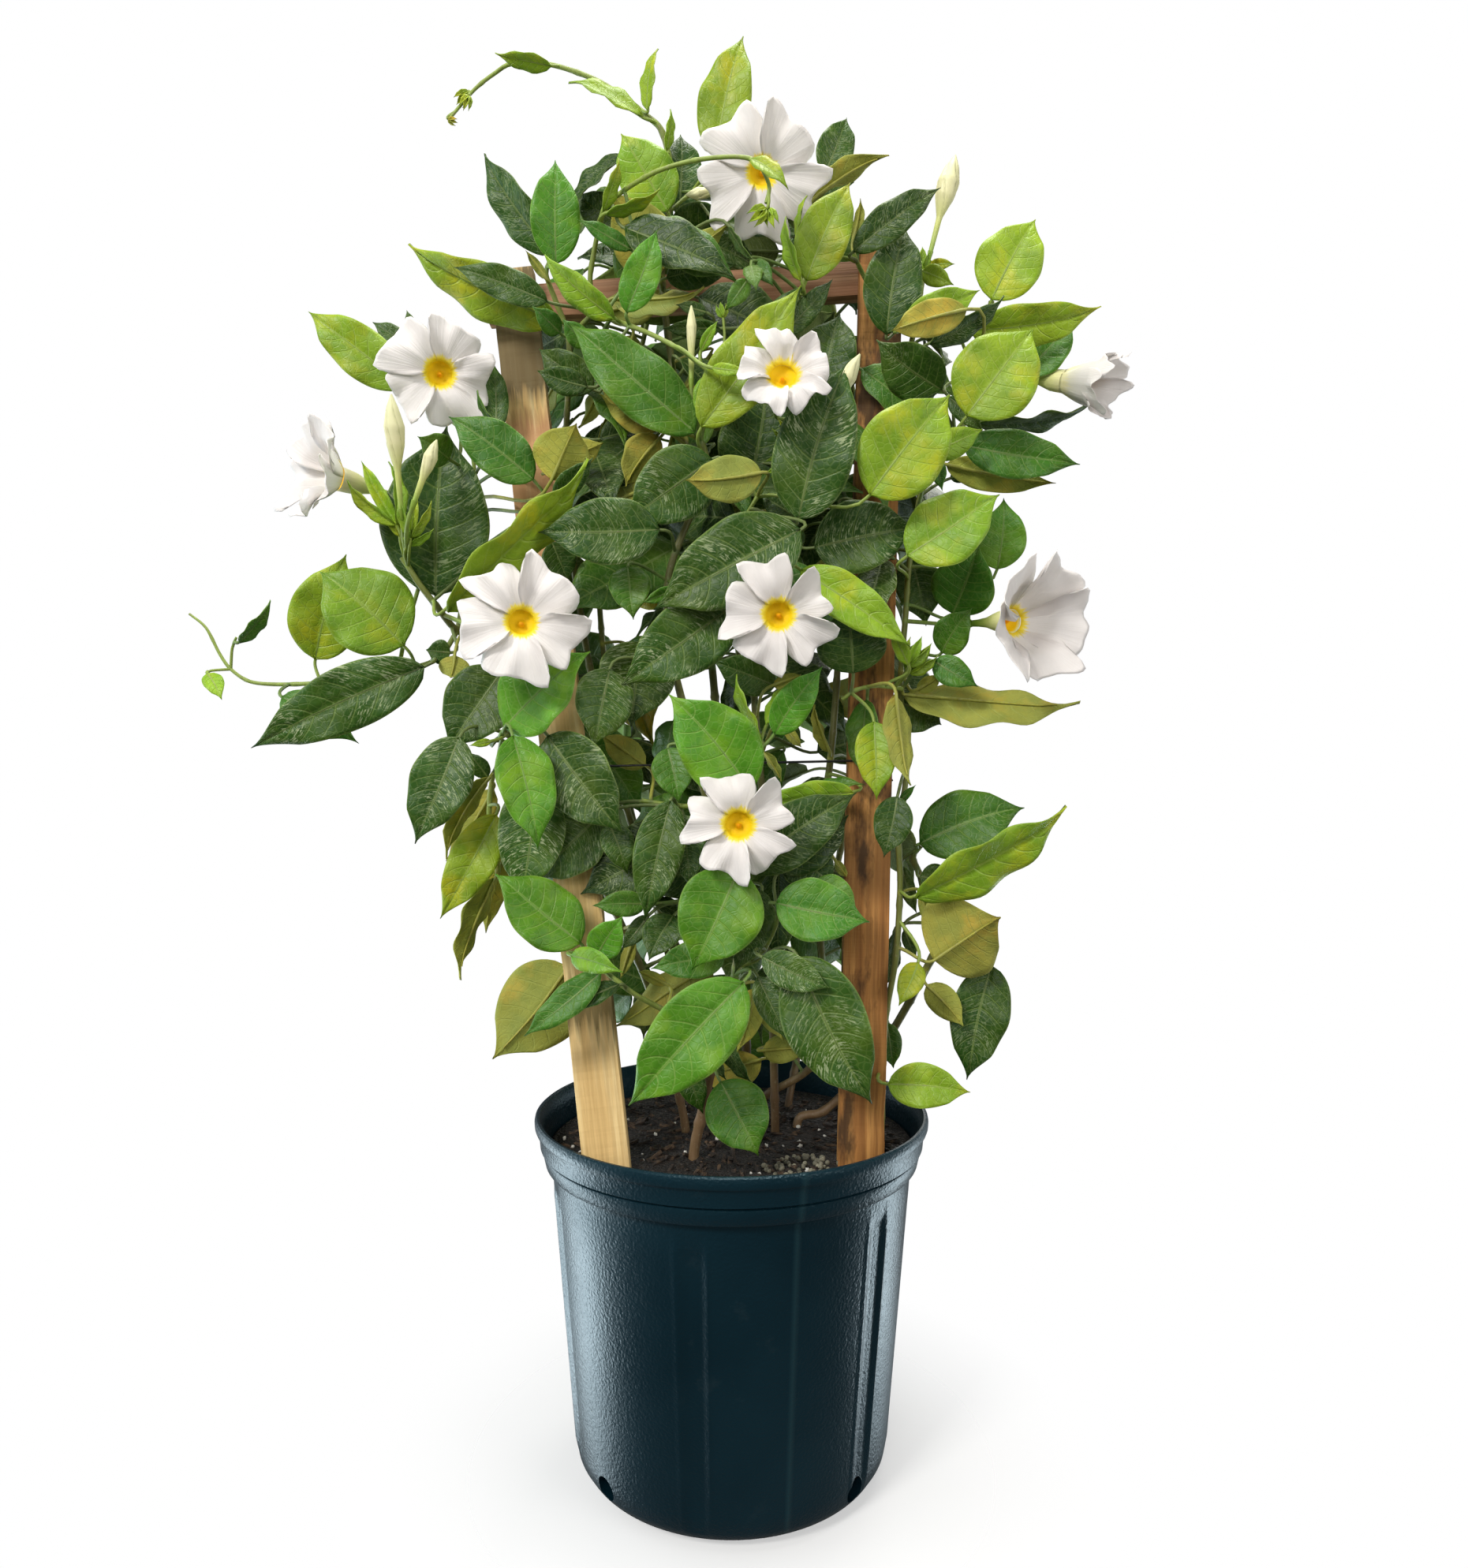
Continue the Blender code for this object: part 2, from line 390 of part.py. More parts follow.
def make_leaf(foot, tip, wide, look, rng, tone, extra_turn=0.0):
    ln = (tip - foot).length
    real = wide
    turn = extra_turn
    if wide < 0.30 * ln:
        real = min(0.34 * ln, wide * 1.9)
        turn += math.acos(max(0.45, wide / real)) * (1 if rng.random() < 0.5 else -1)
    face = -1 if tone in ("olive", "yellow") else 1
    return {"foot": foot, "tip": tip, "length": ln, "half": real * 0.5, "turn": turn, "look": look,
            "arch": rng.uniform(0.02, 0.07) * (1 if face > 0 else -1) * 0.8,
            "sway": rng.uniform(-0.03, 0.03), "fold": rng.uniform(0.10, 0.24), "face": face, "tone": tone,
            "wave": rng.uniform(0.0, 6.28)}


def place(leaf, pull, room, spots, tries, only=None):
    """Moves a leaf along its line of sight until blade and stalk cross nothing; picks its stem."""
    foot0, tip0 = leaf["foot"].copy(), leaf["tip"].copy()
    half0 = leaf["half"]
    for loose in (False, True):
        for step, twist, dip in tries:
            move = step * 0.001
            kf = 1.0 - move / max((foot0 - EYE).length, 0.2) if pull else 1.0
            kt = 1.0 - (move + dip * 0.001) / max((tip0 - EYE).length, 0.2) if pull else 1.0
            if pull:
                foot = EYE + (foot0 - EYE) * kf
                tip = EYE + (tip0 - EYE) * kt
            else:
                foot = foot0 + leaf["look"] * move
                tip = tip0 + leaf["look"] * (move + dip * 0.001)
            leaf["foot"], leaf["tip"] = foot, tip
            leaf["length"] = (tip - foot).length
            leaf["half"] = half0 * kf
            leaf["axes"] = aim(foot, tip, leaf["look"], leaf["turn"] + twist)
            verts, faces = blade_proxy(leaf)
            if room.hit(verts, faces):
                continue
            u = leaf["axes"][0]
            near = []
            for p, r, name in spots:
                d = foot - p
                ld = d.length
                if ld > 0.16 or ld < r + 0.004:
                    continue
                if only and name != only:
                    continue
                back = max(0.0, -d.dot(u) / ld - 0.15)
                near.append((ld * (1.0 + 1.5 * back), p, r, name))
            near.sort(key=lambda q: q[0])
            picked = 0
            last = []
            for cost, p, r, name in near:
                if any((p - q).length < 0.014 for q in last):
                    continue
                last.append(p)
                picked += 1
                if picked > 9:
                    break
                rod = stalk_room(p, foot, r)
                free = {(name, "stem")}
                if loose:
                    free |= {(name, "leaf"), (name, "stalk")}
                if rod and room.hit(rod[0], rod[1], free):
                    continue
                leaf["vine"], leaf["root"], leaf["root_r"] = name, p, r
                room.add(verts, faces, name, "leaf")
                if rod:
                    room.add(rod[0], rod[1], name, "stalk")
                return True
    return False


def stake_frame(foot, top):
    """Axes of a stake: along it, across it and through it."""
    a = (top - foot).normalized()
    w = Vector((1, 0, 0)) - a * a.x
    w.normalize()
    return a, w, a.cross(w)


def beam(foot, top, wide, thick, grow=0.0, frame=None):
    """A flat board from foot to top; grow adds room on every side."""
    a, w, t = frame or stake_frame(foot, top)
    hw, ht = wide * 0.5 + grow, thick * 0.5 + grow
    verts = []
    for end in (foot - a * grow, top + a * grow):
        for sw, st in ((-1, -1), (1, -1), (1, 1), (-1, 1)):
            verts.append(end + w * (hw * sw) + t * (ht * st))
    faces = [(3, 2, 1, 0), (4, 5, 6, 7), (0, 1, 5, 4), (1, 2, 6, 5), (2, 3, 7, 6), (3, 0, 4, 7)]
    return verts, faces


WOOD_W, WOOD_T = 0.0315, 0.012
LEFT_A, LEFT_B = spot(-90, 203, 64), spot(-156.5, 832, 0)
RIGHT_A, RIGHT_B = spot(93, 200, 52), spot(107.3, 835, 0)


def along(a, b, z):
    return a + (b - a) * ((z - a.z) / (b.z - a.z))


LEFT_FOOT, LEFT_TOP = along(LEFT_A, LEFT_B, 0.165), along(LEFT_A, LEFT_B, 0.848)
RIGHT_FOOT, RIGHT_TOP = along(RIGHT_A, RIGHT_B, 0.165), along(RIGHT_A, RIGHT_B, 0.868)
RAIL_H = 0.027


def rail_setting():
    """The rail lies 0.3 mm behind the backs of both stakes, tilted as they lean."""
    a = spot(-176, 822, -12)
    b = spot(126, 843.5, -12)
    r = (b - a).normalized()
    up = ((LEFT_B - LEFT_A).normalized() + (RIGHT_B - RIGHT_A).normalized()).normalized()
    up = (up - r * up.dot(r)).normalized()
    back = up.cross(r)
    if back.y < 0:
        back = -back
    gap = 1.0
    for foot, top in ((LEFT_FOOT, LEFT_TOP), (RIGHT_FOOT, RIGHT_TOP)):
        sa, sw, st = stake_frame(foot, top)
        if st.y < 0:
            st = -st
        for zz in (-0.020, 0.0, 0.020):
            mid = along(foot, top, min(0.833 + zz, top.z))
            for e in (-1, 1):
                c = mid + sw * (WOOD_W * 0.5 * e) + st * (WOOD_T * 0.5)
                gap = min(gap, (a - c).dot(back) - WOOD_T * 0.5)
    shift = back * (0.0003 - gap)
    return a + shift, b + shift, (r, up, back)


def bloom_frame(name):
    x, z, f, right, up, roll, across, length, vine = BLOOMS[name]
    c = spot(x, z, f)
    e = (EYE - c).normalized()
    yaw = math.atan2(e.x, -e.y) + math.radians(right)
    pitch = math.asin(e.z) + math.radians(up)
    d = Vector((math.sin(yaw) * math.cos(pitch), -math.cos(yaw) * math.cos(pitch), math.sin(pitch)))
    s = Vector((0, 0, 1)).cross(d).normalized()
    q = d.cross(s)
    ro = math.radians(roll)
    s, q = s * math.cos(ro) + q * math.sin(ro), q * math.cos(ro) - s * math.sin(ro)
    k = 1.0 - f / EYE_MM
    return c, d, s, q, across * 0.0005 * k, length * 0.001


def bloom_room(name):
    """Funnel and lobes as a plain trumpet a little larger than the bloom."""
    c, d, s, q, r, ln = bloom_frame(name)
    verts, faces = [], []
    rows = ((-ln - 0.010, 0.0042), (-0.62 * ln, 0.0048), (-0.28 * ln, 0.0100), (-0.006, 0.0160),
            (-0.0065, r * 1.02), (0.0065, r * 1.02), (0.006, 0.001))
    m = 12
    for h, rr in rows:
        for k in range(m):
            t = 2 * math.pi * k / m
            verts.append(c + d * h + (s * math.cos(t) + q * math.sin(t)) * rr)
    for i in range(len(rows) - 1):
        for k in range(m):
            a, b = i * m + k, i * m + (k + 1) % m
            faces.append((a, b, b + m, a + m))
    faces.append(tuple(range(m - 1, -1, -1)))
    return verts, faces


POT_ROOM = ((0.1335, 0.150), (0.1430, 0.2465), (0.1300, 0.2465), (0.1225, 0.2270), (0.0005, 0.2262))
BLADE_STEPS = (0, 6, -6, 12, -12, 18, -18, 24, -24, 30, -30, 38, -38, 46, 54)
BLADE_TURNS = ((0, 0), (0.25, 0), (-0.25, 0), (0, 12), (0, -12), (0.45, 8), (-0.45, 8))
BACK_STEPS = (0, 10, 20)
BACK_TURNS = ((0, 0), (0.5, 6), (-0.5, 6))
FLOWER_KNOB, BUD_KNOB, SPRIG_KNOB = 0.0105, 0.0065, 0.002


def pot_room():
    verts, faces = [], []
    m = 24
    for r, z in POT_ROOM:
        for k in range(m):
            t = 2 * math.pi * k / m
            verts.append(Vector((r * math.cos(t), r * math.sin(t), z)))
    for i in range(len(POT_ROOM) - 1):
        for k in range(m):
            a, b = i * m + k, i * m + (k + 1) % m
            faces.append((a, b, b + m, a + m))
    return verts, faces


def fill_room(routes):
    """Room taken by boards, wire, pot, stems, blooms, buds and small shoots."""
    room = Room()
    margin = 0.0015
    for foot, top in ((LEFT_FOOT, LEFT_TOP), (RIGHT_FOOT, RIGHT_TOP)):
        room.add(*beam(foot, top, WOOD_W, WOOD_T, margin), "wood", "wood")
    ra, rb, rail_axes = rail_setting()
    room.add(*beam(ra, rb, RAIL_H, WOOD_T, margin, rail_axes), "wood", "wood")
    room.add(*tube(WIRE_PATH + WIRE_PATH[:1], 0.0024, 0.0024, 4), "wire", "wire")
    room.add(*pot_room(), "pot", "pot")
    for name, r0, r1, line in routes:
        n = len(line)
        for i in range(n - 1):
            wide = r0 + (r1 - r0) * i / (n - 1) + 0.0012
            room.add(*tube(line[i:i + 2], wide, wide, 6), name, "stem")
    for name in BLOOMS:
        room.add(*bloom_room(name), name, "bloom")
    for name, (x, z, f, tx, tz, tf, r, vine) in BUDS.items():
        a, b = spot(x, z, f), spot(tx, tz, tf)
        room.add(*tube([a, a.lerp(b, 0.5), b], (r + 1.2) * 0.001, 0.0022, 6), name, "bud")
    for x, z, f, tx, tz, tf, r, vine, tone in SPRIGS:
        room.add(*tube([spot(x, z, f), spot(tx, tz, tf)], (r + 0.8) * 0.001, 0.0014, 5), vine, "sprig")
    return room


def plan_stalks(room, spots):
    """Stalks of blooms, buds and small shoots: (name, vine, root, root radius, knob, seat, way out)."""
    jobs = []
    for name in BLOOMS:
        c, d, s, q, r, ln = bloom_frame(name)
        jobs.append((name, c - d * ln, -d, BLOOMS[name][8], FLOWER_KNOB))
    for name, (x, z, f, tx, tz, tf, r, vine) in BUDS.items():
        a, b = spot(x, z, f), spot(tx, tz, tf)
        jobs.append((name, a, (a - b).normalized(), vine, BUD_KNOB))
    for i, (x, z, f, tx, tz, tf, r, vine, tone) in enumerate(SPRIGS):
        a, b = spot(x, z, f), spot(tx, tz, tf)
        jobs.append(("sprig%d" % i, a, (a - b).normalized(), vine, SPRIG_KNOB))
    stalks = []
    for name, seat, out, vine, knob in jobs:
        a = seat + out * knob
        near = sorted(((p - a).length * (1.0 + 0.9 * max(0.0, -(p - a).normalized().dot(out))), i)
                      for i, (p, r, stem) in enumerate(spots) if stem == vine)
        free = {(vine, "stem"), (vine, "sprig"), (name, "bloom"), (name, "bud"), (vine, "stalk")}
        for cost, i in near[:60:2] + near[:1]:
            p, r, stem = spots[i]
            rod_room = stalk_room(p, a, r, 0.0019)
            if rod_room is None or not room.hit(*rod_room, free):
                break
        if rod_room:
            room.add(*rod_room, vine, "stalk")
        stalks.append((name, vine, p, r, a, seat, out))
    return stalks


def plan_plant():
    """Runs the rule: returns stem routes, stalks of blooms, buds and shoots, and the placed leaves."""
    rng = random.Random(20261)
    routes = route_points()
    spots = samples(routes)
    room = fill_room(routes)
    stalks = plan_stalks(room, spots)
    tries = [(step, twist, dip) for step in BLADE_STEPS for twist, dip in BLADE_TURNS]
    leaves = []
    for x, z, tx, tz, w, f, tone in LEAVES:
        look_tip = 10 if tone != "dark" else 4
        foot, tip = spot(x, z, f), spot(tx, tz, f + look_tip)
        look = (EYE - foot.lerp(tip, 0.5)).normalized()
        look = (look + Vector((rng.uniform(-0.22, 0.22), 0, rng.uniform(-0.1, 0.3)))).normalized()
        leaf = make_leaf(foot, tip, w * 0.001 * (1 - f / EYE_MM), look, rng, tone)
        if place(leaf, True, room, spots, tries):
            leaves.append(leaf)
    back_spots = [q for q in spots if q[2].startswith("vine_back")]
    tries = [(step, twist, dip) for step in BACK_STEPS for twist, dip in BACK_TURNS]
    made = 0
    for guard in range(900):
        if made == BACK_LEAVES:
            break
        p, r, name = rng.choice(back_spots)
        ang = rng.uniform(0.02 * math.pi, 0.98 * math.pi)
        out = Vector((math.cos(ang), math.sin(ang) * 0.9, rng.uniform(-0.25, 0.45))).normalized()
        foot = p + out * rng.uniform(0.022, 0.060)
        droop = Vector((rng.uniform(-0.5, 0.5), rng.uniform(-0.1, 0.25), rng.uniform(-0.9, 0.35)))
        ln = rng.uniform(0.068, 0.108)
        tip = foot + (out * 0.8 + droop).normalized() * ln
        if math.hypot(tip.x, tip.y) > 0.235 or tip.z < 0.262:
            continue
        look = (out + Vector((0, 0.3, 0.55))).normalized()
        if abs(look.dot((tip - foot).normalized())) > 0.9:
            continue
        tone = rng.choice(("dark", "dark", "speckled", "mid", "bright", "olive"))
        leaf = make_leaf(foot, tip, ln * rng.uniform(0.38, 0.5), look, rng, tone)
        if place(leaf, False, room, spots, tries, name):
            leaves.append(leaf)
            made += 1
    return routes, stalks, leaves


def wire_loop():
    """Corners of the tie wire round both stakes."""
    a, b = along(LEFT_A, LEFT_B, 0.489), along(RIGHT_A, RIGHT_B, 0.493)
    x0, x1 = a.x - 0.0173, b.x + 0.0173
    k = 0.0012
    fa, ba, fb, bb = a.y - 0.0075, a.y + 0.0075, b.y - 0.0075, b.y + 0.0075
    xa, xb = a.x + 0.0175, b.x - 0.0175
    pts = [(x0 + k, fa, a.z), (xa, fa, a.z), (xb, fb, b.z), (x1 - k, fb, b.z), (x1, fb + k, b.z),
           (x1, bb - k, b.z), (x1 - k, bb, b.z), (xb, bb, b.z), (xa, ba, a.z), (x0 + k, ba, a.z),
           (x0, ba - k, a.z), (x0, fa + k, a.z)]
    return [Vector(p) for p in pts]


WIRE_PATH = wire_loop()


def rod(points, radii, sides=6):
    verts, faces = tube(points, 1.0, 1.0, sides)
    for i, r in enumerate(radii):
        for k in range(sides):
            v = verts[i * sides + k]
            verts[i * sides + k] = points[i] + (v - points[i]) * r
    return verts, faces


THREE_ROWS, ONE_ROW = 0.0270, 0.0125      # half widths: broad blades take three rows, small ones one


def leaf_solid(leaf):
    """Stalk and blade in one body: four-sided sections from inside the stem to a pointed tip."""
    verts, faces = [], []
    u, s, n = leaf["axes"]
    root, foot = leaf["root"], leaf["foot"]
    d = (foot - root).normalized()
    m = (d + u).normalized() if (d + u).length > 0.2 else n
    s1 = u.rotation_difference(m) @ s
    s0 = m.rotation_difference(d) @ s1
    r = 0.0011
    for c, side, ahead, rr in ((root, s0, d, min(leaf["root_r"] * 0.7, r)), (foot, s1, m, r)):
        top = side.cross(ahead)
        verts += [c - side * rr, c + top * rr, c + side * rr, c - top * rr]
    rows = SHAPE[1:-1] if leaf["half"] > THREE_ROWS else ((0.22, 0.88), (0.66, 0.80))
    if leaf["half"] < ONE_ROW:
        rows = ((0.38, 0.98),)
    for t, w in rows:
        lift = 0.0010 * math.sin(leaf["wave"] + 9.0 * t)
        lift2 = 0.0010 * math.sin(leaf["wave"] * 1.7 + 8.0 * t)
        h = 0.00065
        verts += [blade_point(leaf, t, -w, lift), blade_point(leaf, t, 0, h),
                  blade_point(leaf, t, w, lift2), blade_point(leaf, t, 0, -h)]
    m = len(verts) // 4
    for i in range(m - 1):
        for k in range(4):
            a, b = i * 4 + k, i * 4 + (k + 1) % 4
            if k % 2 == 0:
                faces += [(a, b, b + 4), (a, b + 4, a + 4)]
            else:
                faces += [(a, b, a + 4), (b, b + 4, a + 4)]
    faces.append((3, 2, 1, 0))
    verts.append(blade_point(leaf, 1.0, 0.0))
    e = (m - 1) * 4
    for k in range(4):
        faces.append((e + k, e + (k + 1) % 4, len(verts) - 1))
    return verts, faces


def corolla(name):
    """Funnel tube opening into five lobes that lap like a pinwheel; one wall about a millimetre thick."""
    c, d, s, q, r, ln = bloom_frame(name)
    m = 15
    outer, inner = [], []
    rows = ((-ln, 0.0018), (-0.50 * ln, 0.0038), (-0.004, 0.0122))
    for h, rr in rows:
        for k in range(m):
            t = 2 * math.pi * k / m
            e = s * math.cos(t) + q * math.sin(t)
            outer.append(c + d * h + e * rr)
            thin = 0.0009 if rr > 0.002 else 0.0008
            inner.append(c + d * (h + (0.0012 if h == -ln else 0.0)) + e * (rr - thin))
    reach = (0.62, 1.0, 0.95)
    lift = (-0.0010, 0.0030, -0.0020)
    for k in range(m):
        t = 2 * math.pi * k / m
        p = c + (s * math.cos(t) + q * math.sin(t)) * (r * reach[k % 3]) + d * (lift[k % 3] - 0.0008)
        outer.append(p)
        inner.append(p + d * 0.0010)
    verts = outer + inner
    faces = []
    o = len(outer)
    rings = o // m
    for i in range(rings - 1):
        for k in range(m):
            a, b = i * m + k, i * m + (k + 1) % m
            faces += [(a, b, b + m), (a, b + m, a + m)]
            faces += [(o + a, o + b + m, o + b), (o + a, o + a + m, o + b + m)]
    for k in range(m):
        a, b = (rings - 1) * m + k, (rings - 1) * m + (k + 1) % m
        faces.append((a, b, o + b, o + a))
    faces.append(tuple(range(m - 1, -1, -1)))
    faces.append(tuple(o + k for k in range(m)))
    return verts, faces


def lathe(profile, sides, wobble=None):
    """Closed body of revolution; the first and last profile points lie on the axis."""
    verts, faces = [], []
    ring = {}
    for i, (r, z) in enumerate(profile):
        if r == 0.0:
            ring[i] = [len(verts)]
            verts.append(Vector((0, 0, z)))
            continue
        ids = []
        for k in range(sides):
            t = 2 * math.pi * k / sides
            zz = z + (wobble(i, k) if wobble else 0.0)
            ids.append(len(verts))
            verts.append(Vector((r * math.cos(t), r * math.sin(t), zz)))
        ring[i] = ids
    for i in range(len(profile) - 1):
        a, b = ring[i], ring[i + 1]
        for k in range(sides):
            k2 = (k + 1) % sides
            if len(a) == 1:
                faces.append((a[0], b[k2], b[k]))
            elif len(b) == 1:
                faces.append((a[k], a[k2], b[0]))
            else:
                faces.append((a[k], a[k2], b[k2], b[k]))
    return verts, faces


def put(name, verts, faces, mat=None):
    me = bpy.data.meshes.new(name)
    bm = bmesh.new()
    vs = [bm.verts.new(v) for v in verts]
    for f in faces:
        bm.faces.new([vs[i] for i in f])
    bmesh.ops.triangulate(bm, faces=[f for f in bm.faces if len(f.verts) > 4])
    bmesh.ops.recalc_face_normals(bm, faces=bm.faces)
    bm.to_mesh(me)
    bm.free()
    ob = bpy.data.objects.new(name, me)
    bpy.context.scene.collection.objects.link(ob)
    if mat:
        me.materials.append(mat)
    return ob


def fuse(base, others, how="UNION", solver="MANIFOLD"):
    """One Boolean over a collection, applied; the collection and its objects go away again."""
    if not others:
        return base
    col = bpy.data.collections.new("fuse")
    bpy.context.scene.collection.children.link(col)
    for ob in others:
        bpy.context.scene.collection.objects.unlink(ob)
        col.objects.link(ob)
    mod = base.modifiers.new("fuse", "BOOLEAN")
    mod.operation = how
    mod.solver = solver
    mod.operand_type = "COLLECTION"
    mod.collection = col
    deps = bpy.context.evaluated_depsgraph_get()
    made = bpy.data.meshes.new_from_object(base.evaluated_get(deps))
    base.modifiers.clear()
    old = base.data
    base.data = made
    bpy.data.meshes.remove(old)
    for ob in others:
        bpy.data.objects.remove(ob, do_unlink=True)
    bpy.data.collections.remove(col)
    return base


def paint(name, color, rough=0.5, metal=0.0):
    m = bpy.data.materials.new(name)
    m.use_nodes = True
    b = m.node_tree.nodes["Principled BSDF"]
    b.inputs["Base Color"].default_value = (*color, 1.0)
    b.inputs["Roughness"].default_value = rough
    b.inputs["Metallic"].default_value = metal
    m.diffuse_color = (*color, 1.0)
    return m


# Pot: one thin wall, outside from the base centre up to the rolled rim, then down the inside.
OUTSIDE = ((0.0, 0.0), (0.092, 0.0), (0.1072, 0.0070), (0.1115, 0.022), (0.1267, 0.199),
           (0.1272, 0.2105), (0.1324, 0.2120), (0.1345, 0.2216), (0.1337, 0.2228),
           (0.1362, 0.2242), (0.1372, 0.2350), (0.1399, 0.2368), (0.1399, 0.2415), (0.1382, 0.2440))
INSIDE = ((0.1355, 0.2440), (0.1315, 0.2330), (0.1302, 0.2190), (0.1250, 0.2140),
          (0.1092, 0.022), (0.092, 0.0032), (0.0, 0.0032))
plastic = paint("pot_plastic", (0.018, 0.040, 0.052), 0.38)
pot = put("nursery_pot", *lathe(OUTSIDE + INSIDE, POT_SIDES), plastic)
drains = []
for i, ang in enumerate(DRAIN_ANGLES):
    t = math.radians(ang)
    inner, outer = (Vector((r * math.cos(t), r * math.sin(t), DRAIN_Z)) for r in (0.098, 0.120))
    drains.append(put("drain_%d" % i, *tube([inner, outer], DRAIN_R, DRAIN_R, 6)))
fuse(pot, drains, "DIFFERENCE")

# Potting mix: fills the pot to 22 mm under the rim, with a low uneven top and a plain hole for each stem.
bumps = random.Random(5)
heights = [[bumps.uniform(-0.0013, 0.0013) for k in range(POT_SIDES)] for i in range(10)]
SOIL = ((0.0, 0.0035), (0.0918, 0.0035), (0.10885, 0.0222), (0.12463, 0.2139), (0.12985, 0.2192),
        (0.1297, 0.2212), (0.112, 0.2225), (0.080, 0.2210), (0.040, 0.2222), (0.0, 0.2218))
soil = put("potting_soil", *lathe(SOIL, POT_SIDES, lambda i, k: heights[i][k] if 5 < i < 9 else 0.0),
           paint("potting_mix", (0.018, 0.013, 0.010), 0.95))
holes = []
for name, (x, y, r0, r1, pts) in MAINS.items():
    r = (r0 * 0.001 + 0.00035) / math.cos(math.pi / 6)
    v, f = tube([Vector((x, y, SOIL_Z - 0.0303)), Vector((x, y, SOIL_Z + 0.02))], r, r, 6)
    holes.append(put("hole_" + name, v, f))
for foot, top, nm in ((LEFT_FOOT, LEFT_TOP, "a"), (RIGHT_FOOT, RIGHT_TOP, "b")):
    holes.append(put("slot_" + nm, *beam(foot, top, WOOD_W, WOOD_T, GAP + 0.00003)))
fuse(soil, holes, "DIFFERENCE")

# Trellis: two stakes, a rail behind their tops, a nail through each crossing and a wire round both.
pale = paint("pale_pine", (0.42, 0.27, 0.13), 0.75)
orange = paint("orange_pine", (0.36, 0.16, 0.05), 0.72)
stake_l = put("stake_left", *beam(LEFT_FOOT, LEFT_TOP, WOOD_W, WOOD_T), pale)
stake_r = put("stake_right", *beam(RIGHT_FOOT, RIGHT_TOP, WOOD_W, WOOD_T), orange)
RAIL_A, RAIL_B, RAIL_FRAME = rail_setting()
pink = paint("pink_pine", (0.40, 0.20, 0.11), 0.75)
rail = put("rail_top", *beam(RAIL_A, RAIL_B, RAIL_H, WOOD_T, 0.0, RAIL_FRAME), pink)
NAILS = []
for nm, foot, top, stake in (("nail_left", LEFT_FOOT, LEFT_TOP, stake_l),
                             ("nail_right", RIGHT_FOOT, RIGHT_TOP, stake_r)):
    a, w, t = stake_frame(foot, top)
    t = t if t.y > 0 else -t
    low, high = (along(foot, top, z) for z in (RAIL_Z - 0.04, RAIL_Z + 0.04))
    off_low, off_high = ((p - RAIL_A).dot(RAIL_FRAME[1]) for p in (low, high))
    NAILS.append((nm, low.lerp(high, off_low / (off_low - off_high)) - t * (WOOD_T * 0.5), t, stake))
for nm, face, t, stake in NAILS:
    for ob in (stake, rail):
        bore = tube([face - t * 0.004, face + t * 0.0215], 0.0017, 0.0017, 8)
        fuse(ob, [put("bore", *bore)], "DIFFERENCE")
steel = paint("nail_steel", (0.09, 0.085, 0.08), 0.45, 0.9)
for nm, face, t, stake in NAILS:
    pts = [face + t * 0.0205, face - t * 0.00035, face - t * 0.0004, face - t * 0.0016]
    put(nm, *rod(pts, (0.0012, 0.0012, 0.0030, 0.0028), 8), steel)
wire_verts, wire_faces = tube(WIRE_PATH + WIRE_PATH[:1], 0.00085, 0.00085, 6, caps=False)
ring = len(WIRE_PATH) * 6
wire_faces = [tuple(i % ring for i in face) for face in wire_faces]
put("tie_wire", wire_verts[:ring], wire_faces, paint("black_wire", (0.012, 0.012, 0.014), 0.4))

# Plant: every stem with what grows from it is one body; blooms and large buds are bodies of their own.
routes, stalks, leaves = plan_plant()
green = paint("leafy_stem", (0.07, 0.16, 0.03), 0.42)
white = paint("bloom_white", (0.86, 0.85, 0.83), 0.45)
cream = paint("bud_cream", (0.80, 0.80, 0.48), 0.45)
bodies = {name: [] for name in MAINS}
for name, r0, r1, line in routes:
    n = len(line)
    radii = [r0 + (r1 - r0) * i / (n - 1) for i in range(n)]
    bodies[name].append(rod(line, radii, 5 if r0 > 0.0021 else 4))
for name, vine, p, r, a, seat, out in stalks:
    if name.startswith("sprig"):
        i = int(name[5:])
        tip = spot(*SPRIGS[i][3:6])
        w = SPRIGS[i][6] * 0.001
        pts = [p, a, seat.lerp(tip, 0.45), tip]
        bodies[vine].append(rod(pts, (min(0.001, r * 0.8), 0.0010, w, 0.0004), 4))
    else:
        end = seat + out * GAP
        big = 0.0028 if name in BLOOMS else 0.0023
        pts = [p, a, a.lerp(end, 0.5), end]
        bodies[vine].append(rod(pts, (min(0.0013, r * 0.8), 0.0013, big, big * 0.85), 5))
for leaf in leaves:
    bodies[leaf["vine"]].append(leaf_solid(leaf))
for name, parts in bodies.items():
    obs = [put(name if i == 0 else "%s_%d" % (name, i), *p, green if i == 0 else None)
           for i, p in enumerate(parts)]
    fuse(obs[0], obs[1:])
for name in BLOOMS:
    put(name, *corolla(name), white)
for name, (x, z, f, tx, tz, tf, r, vine) in BUDS.items():
    a, b = spot(x, z, f), spot(tx, tz, tf)
    r *= 0.001
    pts = [a, a.lerp(b, 0.35), a.lerp(b, 0.56), a.lerp(b, 0.72), a.lerp(b, 0.88), b]
    put(name, *rod(pts, (0.0016, 0.0021, r * 0.86, r, r * 0.55, 0.0005), 6), cream)
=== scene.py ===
import math
import random

import bpy
import numpy as np
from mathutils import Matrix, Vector, noise
from mathutils.bvhtree import BVHTree
from mathutils.kdtree import KDTree


